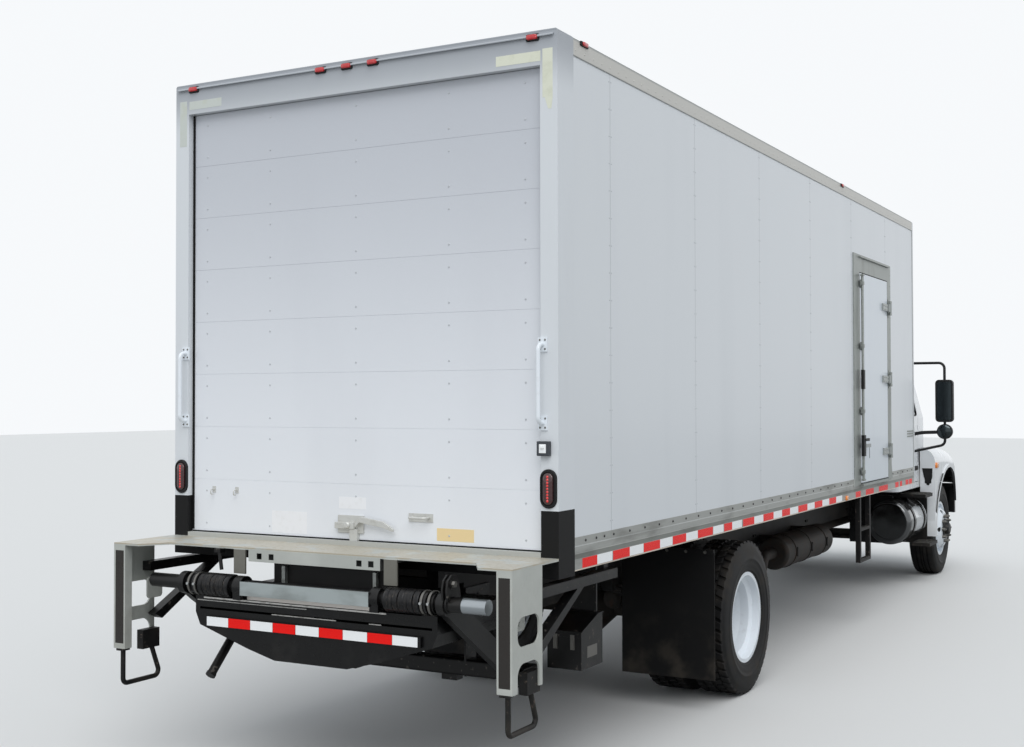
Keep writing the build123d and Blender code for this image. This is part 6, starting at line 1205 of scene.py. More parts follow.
# Liftgate frame and arms: plate and tube in worn black paint. The torsion springs are wound
# on the cross tube, which is bare where its right end runs in the arm's sleeve.
gate_black = Finish("gate black", linear(12, 12, 13), 0.46, specular_ior_level=0.35)
chips = gate_black.cloud(34.0, 6.0).rise(0.63, 0.69)
gate_black.tint(gate_black.cloud(6.0, 5.0).rise(0.45, 0.75) * 0.35, linear(52, 49, 46))
gate_black.tint(chips * 0.6, linear(104, 98, 92))
gate_black.set("Roughness", chips * 0.25 + 0.38)
gate_black.bump(gate_black.cloud(90.0, 3.0), 0.0008, 0.35)
dress(gate_black, "gate_frame")
ARM_EYE = (REAR - 0.350, 1.002)
ARM_PIVOT = (REAR + 0.360, 0.530)
arms_black = Finish("gate arms", linear(10, 10, 11), 0.38, specular_ior_level=0.4)
arms_black.tint(arms_black.cloud(8.0, 5.0).rise(0.5, 0.8) * 0.4, linear(58, 54, 50))
off_tube_x = arms_black.along("X") - ARM_EYE[0]
off_tube_z = arms_black.along("Z") - ARM_EYE[1]
on_tube = (off_tube_x * off_tube_x + off_tube_z * off_tube_z) < 0.039 ** 2
bare_end = on_tube * (arms_black.along("Y") < -0.905)
arms_black.tint(bare_end, linear(170, 176, 180))
arms_black.set("Metallic", bare_end * 0.8)
arms_black.set("Roughness", bare_end * -0.08 + 0.36)
arms_black.bump(arms_black.cloud(90.0), 0.0006, 0.3)
dress(arms_black, "gate_arms")
COIL_TURNS, COIL_RADIUS, COIL_WIRE = 12, 0.0535, 0.0075
COIL_START, COIL_LENGTH, TURN_STEPS = 0.480, 0.205, 16
springs = bmesh.new()
for side in (-1, 1):
    coil = []
    for step in range(COIL_TURNS * TURN_STEPS + 1):
        angle = 2 * math.pi * step / TURN_STEPS
        reach = COIL_START + COIL_LENGTH * step / (COIL_TURNS * TURN_STEPS)
        coil.append((ARM_EYE[0] + COIL_RADIUS * math.cos(angle), side * reach,
                     ARM_EYE[1] + COIL_RADIUS * math.sin(angle)))
    piped(springs, coil, COIL_WIRE, 8)
spring_steel = Finish("spring steel", linear(30, 30, 32), 0.34, 0.5)
spring_steel.tint(spring_steel.cloud(40.0, 4.0).rise(0.5, 0.7) * 0.4, linear(86, 78, 70))
fitted("gate_torsion_springs", springs, spring_steel, "gate_arms")
# Place, radius, reach from the middle and bore: a sleeve at the eye, a solid cap at the pivot.
ARM_CAPS = ((ARM_EYE, 0.046, 0.8205, 0.0375), (ARM_PIVOT, 0.034, 0.8405, 0.0))
pins = bmesh.new()
for side in (-1, 1):
    for (x, z), radius, reach, bore in ARM_CAPS:
        cap = [(0.0, bore), (0.0, radius), (0.010, radius - 0.002), (0.013, radius - 0.008), (0.013, bore)]
        spun(pins, cap, (x, side * reach, z), (0, side, 0), 28, closed=bore > 0)
piped(pins, [(REAR + 0.045, 0.800, 0.700), (REAR - 0.165, 0.800, 0.485)], 0.0245, 16)
piped(pins, [(REAR - 0.160, 0.800, 0.490), (REAR - 0.1725, 0.800, 0.4775)], 0.028, 16)
fitted("arm_pin_caps", pins, gate_black, "gate_arms", 0.0008)
CYLINDER_PIN = (ARM_EYE[0] - 0.014, -0.852, 1.100)
eyes = bmesh.new()
eye_plate = [(-0.052, 1.020), (-0.060, 1.075), (-0.048, 1.118), (-0.016, 1.142), (0.022, 1.138),
             (0.046, 1.110), (0.060, 1.062), (0.064, 1.030)]
for inner in (-0.846, -0.822):
    prism(eyes, [(ARM_EYE[0] + x, z) for x, z in eye_plate], "Y", inner, inner + 0.010)
spun(eyes, [(0.0, 0.0), (0.0, 0.024), (0.046, 0.024), (0.046, 0.0)], CYLINDER_PIN, (0, 1, 0), 20)
fitted("cylinder_eye", eyes, gate_black, "gate_arms", 0.001)
heads("cylinder_eye_bolts", [CYLINDER_PIN], (0, -1, 0), 0.017, 0.014, nut_steel,
      "gate_arms", sides=6, crown=0.9)
COLLARS_Y = (0.700, 0.742)
bolt_chrome = Finish("bright bolts", linear(206, 208, 208), 0.25, 0.85)
collars = bmesh.new()
for y in COLLARS_Y:
    for side in (-1, 1):
        collar = [(-0.006, 0.0565), (-0.006, 0.0605), (0.006, 0.0605), (0.006, 0.0565)]
        spun(collars, collar, (ARM_EYE[0], side * y, ARM_EYE[1]), (0, 1, 0), 32, closed=True)
fitted("spring_collars", collars, nut_steel, "gate_arms")
collar_bolts = []
for side in (-1, 1):
    for y in COLLARS_Y:
        collar_bolts.append((ARM_EYE[0] - 0.0595, side * y, ARM_EYE[1] + 0.004))
heads("collar_bolts", collar_bolts, (-1, 0, 0), 0.0085, 0.008, bolt_chrome, "gate_arms",
      sides=6, crown=0.85)
stop = bmesh.new()
piped(stop, [(REAR - 0.335, 0.595, 1.1865), (REAR - 0.340, 0.574, 1.079)], 0.010, 10)
bar(stop, (REAR - 0.352, REAR - 0.316), (0.575, 0.615), (1.168, 1.1875))
fitted("gate_stop_rod", stop, gate_black, "chassis")
MOUNT_BOLTS_X, MOUNT_BOLTS_Y, MOUNT_BOLTS_Z = (0.475, 0.545, 0.615, 0.665), 0.444, (0.790, 0.880)
for side, label in SIDES:
    mount_bolts = []
    for x in MOUNT_BOLTS_X:
        for z in MOUNT_BOLTS_Z:
            mount_bolts.append((REAR + x, side * MOUNT_BOLTS_Y, z))
    heads(f"gate_mount_bolts_{label}", mount_bolts, (0, side, 0), 0.012, 0.011, nut_steel,
          "chassis", sides=6, crown=0.88)
tube_ends = bmesh.new()
for side in (-1, 1):
    prism(tube_ends, from_rear(oblong(0.438, 0.516, 0.491, 0.569, 0.014)), "Y",
          *sided(side, 0.8400, 0.8435))
fitted("main_tube_caps", tube_ends, gate_black, "chassis", 0.001)


# Power unit: the gate's pump and valves in a folded steel housing on the right, with a
# sloping lid, two over-centre latches and a blank plate.
power = bmesh.new()
power_lid = ((0.584, 0.742), (0.592, 0.7395), (0.792, 0.8145), (0.856, 0.8145), (0.856, 0.8195),
             (0.789, 0.8195), (0.584, 0.747))
prism(power, from_rear(power_lid), "Y", -1.056, -0.844)
bar(power, (REAR + 0.5860, REAR + 0.5895), (-1.050, -0.850), (0.715, 0.742))
fitted("power_unit_lid", power, gate_black, "chassis", 0.001)
clasps = bmesh.new()
for y in (-1.00, -0.90):
    bar(clasps, (REAR + 0.583, REAR + 0.590), (y - 0.012, y + 0.012), (0.650, 0.728))
    bar(clasps, (REAR + 0.578, REAR + 0.584), (y - 0.008, y + 0.008), (0.660, 0.700))
bar(clasps, (REAR + 0.66, REAR + 0.78), (-1.0512, -1.0500), (0.600, 0.660))
fitted("power_unit_clasps", clasps, nut_steel, "chassis", 0.001)


# Platform: black painted steel, folded flat under the tube, with a bright worn lip, a silver
# heel plate between its lugs, and nine pieces of reflective tape on its edge.
platform_black = Finish("platform black", linear(9, 9, 10), 0.34, specular_ior_level=0.35)
heel = (platform_black.along("X") < REAR - 0.3925) * (platform_black.along("Z") > 0.9655)
heel = heel * (platform_black.along("Y").size() < 0.398)
lip = (platform_black.along("X") < REAR - 0.3505) * ((platform_black.along("Z") - 0.9475).size() < 0.0125)
lip = lip * (platform_black.along("Z") > 0.9405) * (platform_black.along("Y").size() < 0.385)
platform_black.tint(platform_black.cloud(7.0, 5.0).rise(0.5, 0.8) * 0.35, linear(48, 46, 44))
platform_black.tint(heel, linear(176, 184, 184))
heel_wear = heel * platform_black.cloud(9.0, 5.0, (1.0, 0.4, 1.0)).rise(0.45, 0.7)
platform_black.tint(heel_wear * 0.6, linear(126, 130, 128))
platform_black.tint(lip, linear(214, 208, 202))
worn = heel.higher(lip)
platform_black.set("Metallic", worn * 0.55)
platform_black.set("Roughness", worn * 0.12 + platform_black.cloud(30.0, 4.0) * 0.2 + 0.2)
platform_black.bump(platform_black.cloud(60.0, 3.0), 0.0008, 0.35)
dress(platform_black, "gate_platform")
TAPE_START, TAPE_PIECE, TAPE_PIECES = 0.660, 0.1455, 9
for first, (colour, finish, slot) in enumerate(reversed(TAPES)):
    strips = bmesh.new()
    for index in range(first, TAPE_PIECES, 2):
        high = TAPE_START - index * TAPE_PIECE
        bar(strips, (REAR - 0.3568, REAR - 0.3558), (high - TAPE_PIECE + 0.001, high - 0.001),
            (0.7865, 0.8335))
    fitted(f"gate_tape_{colour}", strips, finish, "gate_platform")
bright_edge = Finish("worn bright edge", linear(206, 204, 200), 0.38, 0.5)
bright_edge.tint(bright_edge.cloud(26.0, 4.0).rise(0.5, 0.66) * 0.5, linear(120, 116, 110))
EDGE_X = REAR - 0.3405
# Start and end in Y, height and radius of each bright run.
BRIGHT_RUNS = ((0.735, 0.02, 0.915, 0.0035), (0.240, -0.160, 0.872, 0.003), (-0.36, -0.43, 0.872, 0.003))
trims = bmesh.new()
for start_y, end_y, z, radius in BRIGHT_RUNS:
    piped(trims, [(EDGE_X, start_y, z), (EDGE_X, end_y, z)], radius, 6)
bar(trims, (REAR - 0.3628, REAR - 0.3580), (-0.473, 0.674), (0.9285, 0.9365))
fitted("platform_bright_edges", trims, bright_edge, "gate_platform")
hinges = bmesh.new()
for y in (-0.60, -0.20, 0.20, 0.60):
    for step in (-0.024, 0.0, 0.024):
        knuckle = [(-0.011, 0.0), (-0.011, 0.014), (0.011, 0.014), (0.011, 0.0)]
        spun(hinges, knuckle, (REAR + 0.3330, y + step, 0.868), (0, 1, 0), 14)
fitted("platform_hinges", hinges, gate_black, "gate_platform")
deck_bars = bmesh.new()
for row in range(23):
    y = -0.66 + row * 0.06
    bar(deck_bars, (REAR - 0.30, REAR + 0.29), (y - 0.004, y + 0.004), (0.9445, 0.9475))
fitted("platform_grip_bars", deck_bars, gate_black, "gate_platform")


# Cab: white enamel over a one-piece shell with two doors, grey trim inside, black rubber round
# the glass, black door pulls, wipers on the cowl and five amber markers on the roof.
CAB_BACK, COWL = REAR + 8.062, REAR + 9.420
BELT = 1.800
cab_white = Finish("cab enamel", linear(238, 240, 242), 0.26, coat_weight=0.6, coat_roughness=0.06)
above_belt = (cab_white.along("Z") - BELT).higher(0.0)
shell_half = 0.982 - above_belt * 0.153
shell_front = (COWL - 0.070) - above_belt * 0.50
inside_cab = (cab_white.along("Y").size() < shell_half) * (cab_white.along("X") > CAB_BACK + 0.032)
inside_cab = inside_cab * (cab_white.along("X") < shell_front) * (cab_white.along("Z") < 2.588)
cab_film = cab_white.cloud(2.6, 5.0, (1.0, 1.0, 0.4)).rise(0.48, 0.8) * cab_white.along("Z").rise(1.9, 1.0)
cab_white.tint(cab_film * 0.25, linear(172, 168, 160))
cab_white.tint(inside_cab, linear(120, 122, 122))
cab_white.tint(cab_white.along("Z") < 1.0097, linear(30, 30, 31))
cab_white.set("Roughness", inside_cab * 0.4 + cab_film * 0.2 + 0.24)
cab_white.bump(cab_white.cloud(0.9, 1.0), 0.004, 0.25)
dress(cab_white, "cab_shell", "cab_door_left", "cab_door_right")
trim_black = Finish("moulded black", linear(17, 17, 18), 0.5, specular_ior_level=0.4)
trim_black.bump(trim_black.cloud(260.0, 2.0), 0.0004, 0.5)
trim_black.tint(trim_black.cloud(12.0, 4.0).rise(0.5, 0.8) * 0.3, linear(52, 50, 48))
clear_glass = Finish("tinted glass", linear(176, 196, 192), 0.03, transmission_weight=0.92, ior=1.45)
clear_glass.set("Roughness", clear_glass.cloud(4.0, 4.0).rise(0.5, 0.85) * 0.06 + 0.02)
dress(clear_glass, "cab_glass", "door_glass_left", "door_glass_right")


def ring_route(corners, bend, lift):
    """A closed route round a window, its corners turned, laid on the cab's skin by lift."""
    flat = []
    count = len(corners)
    for index, corner in enumerate(corners):
        here = Vector(corner)
        before, after = Vector(corners[index - 1]), Vector(corners[(index + 1) % count])
        start = here + (before - here).normalized() * bend
        end = here + (after - here).normalized() * bend
        for step in range(BEND_STEPS + 1):
            share = step / BEND_STEPS
            flat.append(start.lerp(here, share).lerp(here.lerp(end, share), share))
    flat.append(flat[0])
    return [lift(u, v) for u, v in flat]


DOOR_WINDOW = [(8.270, 1.790), (8.954, 1.790), (8.944, 1.840), (8.764, 2.430), (8.270, 2.430)]
WINDSHIELD = [(-0.860, 1.860), (0.860, 1.860), (0.760, 2.440), (-0.760, 2.440)]
REAR_WINDOW = [(-0.620, 1.840), (0.620, 1.840), (0.620, 2.300), (-0.620, 2.300)]


def side_skin(side):
    """Lays a point on a cab door, which leans in above the belt."""
    return lambda x, z: (REAR + x, side * (1.0135 - max(z - BELT, 0) * 0.1536), z)


def front_skin(y, z):
    """Lays a point on the windshield's slope."""
    return COWL - 0.0385 - (z - BELT) * 0.50, y, z


def back_skin(y, z):
    """Lays a point on the cab's rear wall."""
    return CAB_BACK + (z - BELT) * 0.017, y, z


for side, label in SIDES:
    rubber_ring = bmesh.new()
    piped(rubber_ring, ring_route(DOOR_WINDOW, 0.035, side_skin(side)), 0.011, 8, 0.7)
    fitted(f"door_window_rubber_{label}", rubber_ring, flap_rubber, f"cab_door_{label}")
    pull = bmesh.new()
    domed(pull, oblong(REAR + 8.235, REAR + 8.405, 1.672, 1.742, 0.02), "Y", side * 1.0135, side * 0.008)
    grip = [(REAR + 8.252, side * 1.019, 1.707), (REAR + 8.252, side * 1.046, 1.707),
            (REAR + 8.388, side * 1.046, 1.707), (REAR + 8.388, side * 1.019, 1.707)]
    piped(pull, rounded(grip, 0.02), 0.010, 10, 0.8)
    key_barrel = [(0.0, 0.0), (0.0, 0.016), (0.005, 0.014), (0.006, 0.0)]
    spun(pull, key_barrel, (REAR + 8.320, side * 1.0140, 1.640), (0, side, 0), 20)
    fitted(f"door_pull_{label}", pull, trim_black, f"cab_door_{label}", 0.001)
    moulding = bmesh.new()
    prism(moulding, from_rear(oblong(8.200, 9.020, 1.195, 1.245, 0.015)), "Y",
          *sided(side, 1.0140, 1.0205))
    fitted(f"door_moulding_{label}", moulding, trim_black, f"cab_door_{label}", 0.003)
    inner = bmesh.new()
    bar(inner, (REAR + 8.26, REAR + 8.96), sided(side, 0.955, 0.9645), (1.16, 1.70))
    bar(inner, (REAR + 8.42, REAR + 8.80), sided(side, 0.905, 0.957), (1.46, 1.515))
    inner_pull = [(REAR + 8.84, side * 0.958, 1.56), (REAR + 8.84, side * 0.925, 1.56),
                  (REAR + 8.94, side * 0.925, 1.60), (REAR + 8.94, side * 0.958, 1.60)]
    piped(inner, rounded(inner_pull, 0.015), 0.008, 8)
    fitted(f"door_trim_{label}", inner, trim_black, f"cab_door_{label}", 0.006)
cab_rubbers = bmesh.new()
piped(cab_rubbers, ring_route(WINDSHIELD, 0.06, front_skin), 0.013, 8, 0.7)
piped(cab_rubbers, ring_route(REAR_WINDOW, 0.06, back_skin), 0.012, 8, 0.7)
bar(cab_rubbers, (COWL - 0.030, COWL + 0.012), (-0.780, 0.780), (1.764, 1.780))
fitted("cab_window_rubbers", cab_rubbers, flap_rubber, "chassis")
GLASS_OUT = (0.894, 0, 0.447)


def over(y, z, stand):
    """A point that stands off the windshield, square to the glass."""
    x, _, _ = front_skin(y, z)
    return x + stand * GLASS_OUT[0], y, z + stand * GLASS_OUT[2]


wipers = bmesh.new()
for pivot_y, tip_y in ((0.640, 0.180), (-0.100, -0.560)):
    pivot = [(0.0, 0.0), (0.0, 0.018), (0.022, 0.015), (0.026, 0.0)]
    spun(wipers, pivot, over(pivot_y, 1.825, 0.002), GLASS_OUT, 16)
    mid_y = (pivot_y + tip_y) / 2
    arm = [over(pivot_y, 1.825, 0.022), over(mid_y, 1.960, 0.030), over(tip_y + 0.06, 2.070, 0.020)]
    piped(wipers, arm, 0.006, 8, 0.6)
    piped(wipers, [over(pivot_y - 0.10, 1.905, 0.006), over(tip_y - 0.08, 2.120, 0.006)], 0.007, 6, 0.6)
fitted("wipers", wipers, trim_black, "chassis")
roof_markers, roof_bases = bmesh.new(), bmesh.new()
for y in (-0.62, -0.17, 0.0, 0.17, 0.62):
    domed(roof_bases, oblong(REAR + 8.860, REAR + 8.945, y - 0.042, y + 0.042, 0.018), "Z", 2.592, 0.016)
    domed(roof_markers, oblong(REAR + 8.868, REAR + 8.938, y - 0.034, y + 0.034, 0.016), "Z", 2.604, 0.026)
fitted("cab_markers", roof_markers, lamp_amber, "chassis")
fitted("cab_marker_bases", roof_bases, trim_black, "chassis")
cab_back = bmesh.new()
for z in (1.20, 1.42, 1.64):
    rib = [(y, z + rise) for y, rise in oblong(-0.78, 0.78, -0.022, 0.022, 0.018)]
    prism(cab_back, rib, "X", CAB_BACK - 0.006, CAB_BACK + 0.004)
fitted("cab_back_ribs", cab_back, cab_white, "chassis", 0.003)


# Mirrors: black moulded heads clamped to tube arms on the cab doors, each with a flat glass
# over a round convex one, facing back.
MIRROR_Y = 1.340
dress(trim_black, "mirror_left", "mirror_right")
mirror_glass = Finish("mirror glass", linear(66, 72, 74), 0.05, 1.0)
mirror_glass.set("Roughness", mirror_glass.cloud(9.0, 4.0).rise(0.4, 0.8) * 0.08 + 0.03)
for side, label in SIDES:
    panes = bmesh.new()
    mirror_y = side * MIRROR_Y
    pane = oblong(mirror_y - 0.076, mirror_y + 0.076, 1.738, 2.152, 0.030)
    domed(panes, pane, "X", REAR + 8.7905, -0.004, ((1.0, 0.0), (0.985, 1.0)))
    convex = [(0.0, 0.070), (0.006, 0.060), (0.011, 0.040), (0.0135, 0.018), (0.014, 0.0), (0.0, 0.0)]
    spun(panes, convex, (REAR + 8.8000, mirror_y, 1.620), (-1, 0, 0), 28)
    fitted(f"mirror_glass_{label}", panes, mirror_glass, f"cab_door_{label}")
    clamps = bmesh.new()
    for z in (1.790, 2.100):
        clamp = from_rear(oblong(8.856, 8.874, mirror_y - 0.030, mirror_y + 0.030, 0.008))
        prism(clamps, clamp, "Z", z - 0.020, z + 0.020)
    lower_arm = [(REAR + 8.905, side * 1.006, 1.590), (REAR + 8.880, side * 1.100, 1.606),
                 (REAR + 8.850, side * 1.250, 1.612), (REAR + 8.835, side * 1.330, 1.616)]
    piped(clamps, rounded(lower_arm, 0.03), 0.019, 12)
    flange = [(0.0, 0.0), (0.0, 0.034), (0.008, 0.032), (0.012, 0.020), (0.012, 0.0)]
    spun(clamps, flange, (REAR + 8.905, side * 1.0040, 1.590), (0, side, 0), 20)
    fitted(f"mirror_clamps_{label}", clamps, trim_black, f"cab_door_{label}", 0.002)


# Cab inside: grained dark dash with a hooded gauge panel, vents and a centre stack of knobs,
# a thin-rimmed steering wheel, a shift lever in its boot, and a rubber floor mat.
dash_grey = Finish("grained dash", linear(54, 55, 57), 0.62)
dash_grey.bump(dash_grey.cells(420.0), 0.0006, 0.5)
dash_grey.tint(dash_grey.cloud(9.0, 4.0).rise(0.5, 0.8) * 0.3, linear(80, 80, 78))
dash_grey.tint(dash_grey.along("X") < REAR + 9.045, linear(22, 22, 23))
dress(dash_grey, "cab_interior")
DASH_FACE = REAR + 9.062
gauges = bmesh.new()
hood_line = [(DASH_FACE + 0.07, 1.690), (DASH_FACE - 0.055, 1.715), (DASH_FACE - 0.060, 1.700),
             (DASH_FACE - 0.010, 1.560), (DASH_FACE + 0.03, 1.560)]
prism(gauges, hood_line, "Y", 0.250, 0.650)
bar(gauges, (DASH_FACE - 0.020, DASH_FACE + 0.010), (-0.10, 0.20), (1.430, 1.640))
bar(gauges, (DASH_FACE - 0.016, DASH_FACE + 0.010), (-0.80, -0.34), (1.440, 1.580))
for vent_y in (-0.840, 0.800, -0.22, 0.135):
    bar(gauges, (DASH_FACE - 0.018, DASH_FACE + 0.010), (vent_y - 0.045, vent_y + 0.045), (1.590, 1.650))
fitted("dash_panels", gauges, trim_black, "chassis", 0.004)
# Place across and up, and radius, of each dial.
DIALS = ((0.385, 1.640, 0.046), (0.515, 1.640, 0.046), (0.300, 1.640, 0.026), (0.600, 1.640, 0.026),
         (0.300, 1.592, 0.020), (0.600, 1.592, 0.020))
dials = bmesh.new()
for y, z, radius in DIALS:
    bezel = [(0.0, radius), (0.006, radius), (0.006, radius - 0.004), (0.001, radius - 0.006), (0.001, 0.0)]
    spun(dials, bezel, (DASH_FACE - 0.030 - (z - 1.56) * 0.10, y, z), (-1, 0, 0.25), 24)
for y in (-0.05, 0.05, 0.15):
    knob = [(0.0, 0.0), (0.0, 0.020), (0.014, 0.017), (0.016, 0.0)]
    spun(dials, knob, (DASH_FACE - 0.020, y, 1.475), (-1, 0, 0), 18)
fitted("dash_dials", dials, nut_steel, "chassis")
shift = bmesh.new()
stick = [(REAR + 8.95, 0.05, 1.060), (REAR + 8.93, 0.06, 1.300), (REAR + 8.88, 0.07, 1.420)]
piped(shift, stick, 0.010, 10)
stick_knob = [(0.0, 0.0), (0.004, 0.016), (0.022, 0.025), (0.044, 0.022), (0.052, 0.0)]
spun(shift, stick_knob, (REAR + 8.876, 0.071, 1.415), (-0.35, 0.05, 0.93), 20)
boot = [(0.0, 0.10), (0.012, 0.098), (0.030, 0.055), (0.060, 0.020), (0.060, 0.0)]
spun(shift, boot, (REAR + 8.95, 0.05, 1.061), (0, 0, 1), 20)
fitted("shift_lever", shift, trim_black, "chassis")
mat = bmesh.new()
bar(mat, (REAR + 8.20, REAR + 9.30), (-0.90, 0.90), (1.0605, 1.066))
fitted("cab_floor_mat", mat, flap_rubber, "chassis")


# Seats: vinyl cushions and backs blown up as cloth over a few frames, with channels sewn across
# and a welt round each edge, on black sprung pedestals under a rubber bellows.
SEAT_Y, SEAT_HALF = 0.450, 0.236
PAD_CELL = 0.014
PAD_PRESSURE, PAD_FRAMES, PAD_REACH = 4.0, 20, 0.024
SEWN_DEPTH = SEWN_WIDTH = 0.007
WELT_STEPS = 48
seat_vinyl = Finish("seat vinyl", linear(66, 68, 72), 0.46)
seat_vinyl.tint(seat_vinyl.cloud(6.0, 4.0).rise(0.5, 0.8) * 0.3, linear(96, 96, 95))
seat_vinyl.bump(seat_vinyl.cells(620.0), 0.0003, 0.5)


def swollen(name, outline):
    """A pad from its side outline: remeshed, blown up as cloth, each point kept near its start."""
    bm = bmesh.new()
    prism(bm, from_rear(outline), "Y", SEAT_Y - SEAT_HALF, SEAT_Y + SEAT_HALF)
    bmesh.ops.recalc_face_normals(bm, faces=bm.faces)
    mesh = bpy.data.meshes.new(name)
    bm.to_mesh(mesh)
    bm.free()
    pad = bpy.data.objects.new(name, mesh)
    bpy.context.scene.collection.objects.link(pad)
    cells = pad.modifiers.new("cells", "REMESH")
    cells.mode = "VOXEL"
    cells.voxel_size = PAD_CELL
    harvest(pad)
    homes = [vertex.co.copy() for vertex in pad.data.vertices]
    filling = pad.modifiers.new("filling", "CLOTH")
    filling.settings.use_pressure = True
    filling.settings.uniform_pressure_force = PAD_PRESSURE
    filling.settings.effector_weights.gravity = 0.0
    for moment in range(1, PAD_FRAMES + 1):
        bpy.context.scene.frame_set(moment)
    harvest(pad)
    bpy.context.scene.frame_set(1)
    for vertex, home in zip(pad.data.vertices, homes):
        step = vertex.co - home
        if step.length > PAD_REACH:
            vertex.co = home + step.normalized() * PAD_REACH
    round_off = pad.modifiers.new("round off", "SUBSURF")
    round_off.levels = round_off.render_levels = 1
    harvest(pad)
    return pad


def sewn(pad, origin, along, facing, channels):
    """Draw the face in along sewn channels that cross it."""
    for vertex in pad.data.vertices:
        out = vertex.co - Vector(origin)
        if out.dot(Vector(facing)) < 0.0:
            continue
        reach = out.dot(Vector(along))
        pull = sum(math.exp(-((reach - channel) / SEWN_WIDTH) ** 2) for channel in channels)
        vertex.co -= Vector(facing) * SEWN_DEPTH * pull


def welt(bm, pad, origin, along, facing, level):
    """A piping bead round the pad where it bulges furthest at one level."""
    across = Vector(along).cross(Vector(facing))
    route = []
    for step in range(WELT_STEPS):
        angle = 2 * math.pi * step / WELT_STEPS
        way = Vector(along) * math.cos(angle) + across * math.sin(angle)
        near = [vertex.co for vertex in pad.data.vertices
                if abs((vertex.co - Vector(origin)).dot(Vector(facing)) - level) < 0.009]
        route.append(max(near, key=lambda point: (point - Vector(origin)).dot(way)))
    smooth = [(route[step - 1] + route[step] * 2 + route[(step + 1) % WELT_STEPS]) / 4
              for step in range(WELT_STEPS)]
    piped(bm, smooth + [smooth[0]], 0.0045, 6)


CUSHION = ((8.312, 1.318), (8.786, 1.318), (8.786, 1.414), (8.312, 1.418))
BACK = ((8.312, 1.420), (8.376, 1.420), (8.292, 2.050), (8.228, 2.050))
cushion = swollen("seat_cushion_left", CUSHION)
back = swollen("seat_back_left", BACK)
UP, AHEAD = (0.0, 0.0, 1.0), (1.0, 0.0, 0.0)
BACK_UP, BACK_FACE = Vector((-0.134, 0.0, 0.991)), Vector((0.991, 0.0, 0.134))
CUSHION_HEART, BACK_HEART = (REAR + 8.549, SEAT_Y, 1.367), (REAR + 8.302, SEAT_Y, 1.735)
sewn(cushion, CUSHION_HEART, AHEAD, UP, (-0.14, -0.05, 0.04, 0.13))
sewn(back, BACK_HEART, BACK_UP, BACK_FACE, (-0.20, -0.10, 0.0, 0.10, 0.20))
welts = bmesh.new()
welt(welts, cushion, CUSHION_HEART, AHEAD, UP, 0.030)
welt(welts, back, BACK_HEART, BACK_UP, BACK_FACE, 0.022)
other_side = Matrix.Translation((0.0, -2 * SEAT_Y, 0.0))
for pad, name in ((cushion, "seat_cushion_right"), (back, "seat_back_right")):
    other = bpy.data.objects.new(name, pad.data.copy())
    bpy.context.scene.collection.objects.link(other)
    other.data.transform(other_side)
    for piece in (pad, other):
        finished(piece, seat_vinyl, "chassis", angle=180)
copied = bmesh.ops.duplicate(welts, geom=list(welts.verts) + list(welts.edges) + list(welts.faces))
moved = [part for part in copied["geom"] if isinstance(part, bmesh.types.BMVert)]
bmesh.ops.translate(welts, vec=(0.0, -2 * SEAT_Y, 0.0), verts=moved)
fitted("seat_welts", welts, trim_black, "chassis")
pedestals = bmesh.new()
for side in (-1, 1):
    y = side * SEAT_Y
    prism(pedestals, from_rear(oblong(8.345, 8.765, y - 0.205, y + 0.205, 0.03)), "Z", 1.0665, 1.090)
    for fold in range(5):
        low = 1.090 + fold * 0.036
        spread = 0.004 * fold
        valley = oblong(8.372 - spread, 8.738 + spread, y - 0.172, y + 0.172, 0.04)
        prism(pedestals, from_rear(valley), "Z", low, low + 0.014)
        ridge = oblong(8.350 - spread, 8.760 + spread, y - 0.192, y + 0.192, 0.05)
        prism(pedestals, from_rear(ridge), "Z", low + 0.014, low + 0.036)
    prism(pedestals, from_rear(oblong(8.318, 8.782, y - 0.232, y + 0.232, 0.04)), "Z", 1.270, 1.312)
    bar(pedestals, (REAR + 8.276, REAR + 8.300), (y - 0.030, y + 0.030), (1.285, 1.460))
fitted("seat_pedestals", pedestals, trim_black, "chassis", 0.003)
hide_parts("seats")


# Hood: one white shell over the wheels and engine, dark on its inner faces and undersides, with rubber
# pull latches, amber side markers, and black louvres and sheets in its fenders' rear faces as painted shade
# in their recesses.
hood_white = Finish("hood enamel", linear(238, 240, 242), 0.26, coat_weight=0.6, coat_roughness=0.06)
hood_film = hood_white.cloud(2.6, 5.0, (1.0, 1.0, 0.4)).rise(0.48, 0.8) * hood_white.along("Z").rise(1.7, 0.7)
hood_white.tint(hood_film * 0.3, linear(172, 168, 160))
facing = hood_white.node("ShaderNodeSeparateXYZ", None,
                         {"Vector": hood_white.node("ShaderNodeNewGeometry").outputs["True Normal"]})
facing_x, facing_y, facing_z = (Reading(hood_white, facing.outputs[axis]) for axis in "XYZ")
# The hood's colour darkens on its inner faces, its undersides and its lowest upward-facing faces.
hood_inside = (facing_y * hood_white.along("Y") < -0.06).higher(facing_z < -0.30)
hood_inside = hood_inside.higher((facing_x < -0.5) * (hood_white.along("X") > REAR + 9.30))
hood_inside = hood_inside.higher((facing_z > 0.3) * (hood_white.along("Z") < 1.06))
hood_white.tint(hood_inside, linear(30, 30, 31))
hood_white.set("Roughness", hood_inside * 0.4 + hood_film * 0.2 + 0.24)
hood_white.bump(hood_white.cloud(0.9, 1.0), 0.004, 0.25)
dress(hood_white, "hood")
hood_latches = bmesh.new()
for side in (-1, 1):
    x, y, z = REAR + 9.520, side * 0.7935, 1.520
    strap_y = sorted((y - side * 0.004, y + side * 0.010))
    bar(hood_latches, (x - 0.018, x + 0.018), strap_y, (z - 0.030, z + 0.075))
    grip = [(x - 0.035, y + side * 0.012, z - 0.030), (x + 0.035, y + side * 0.012, z - 0.030)]
    piped(hood_latches, grip, 0.009, 10)
fitted("hood_latches", hood_latches, flap_rubber, "hood", 0.003)
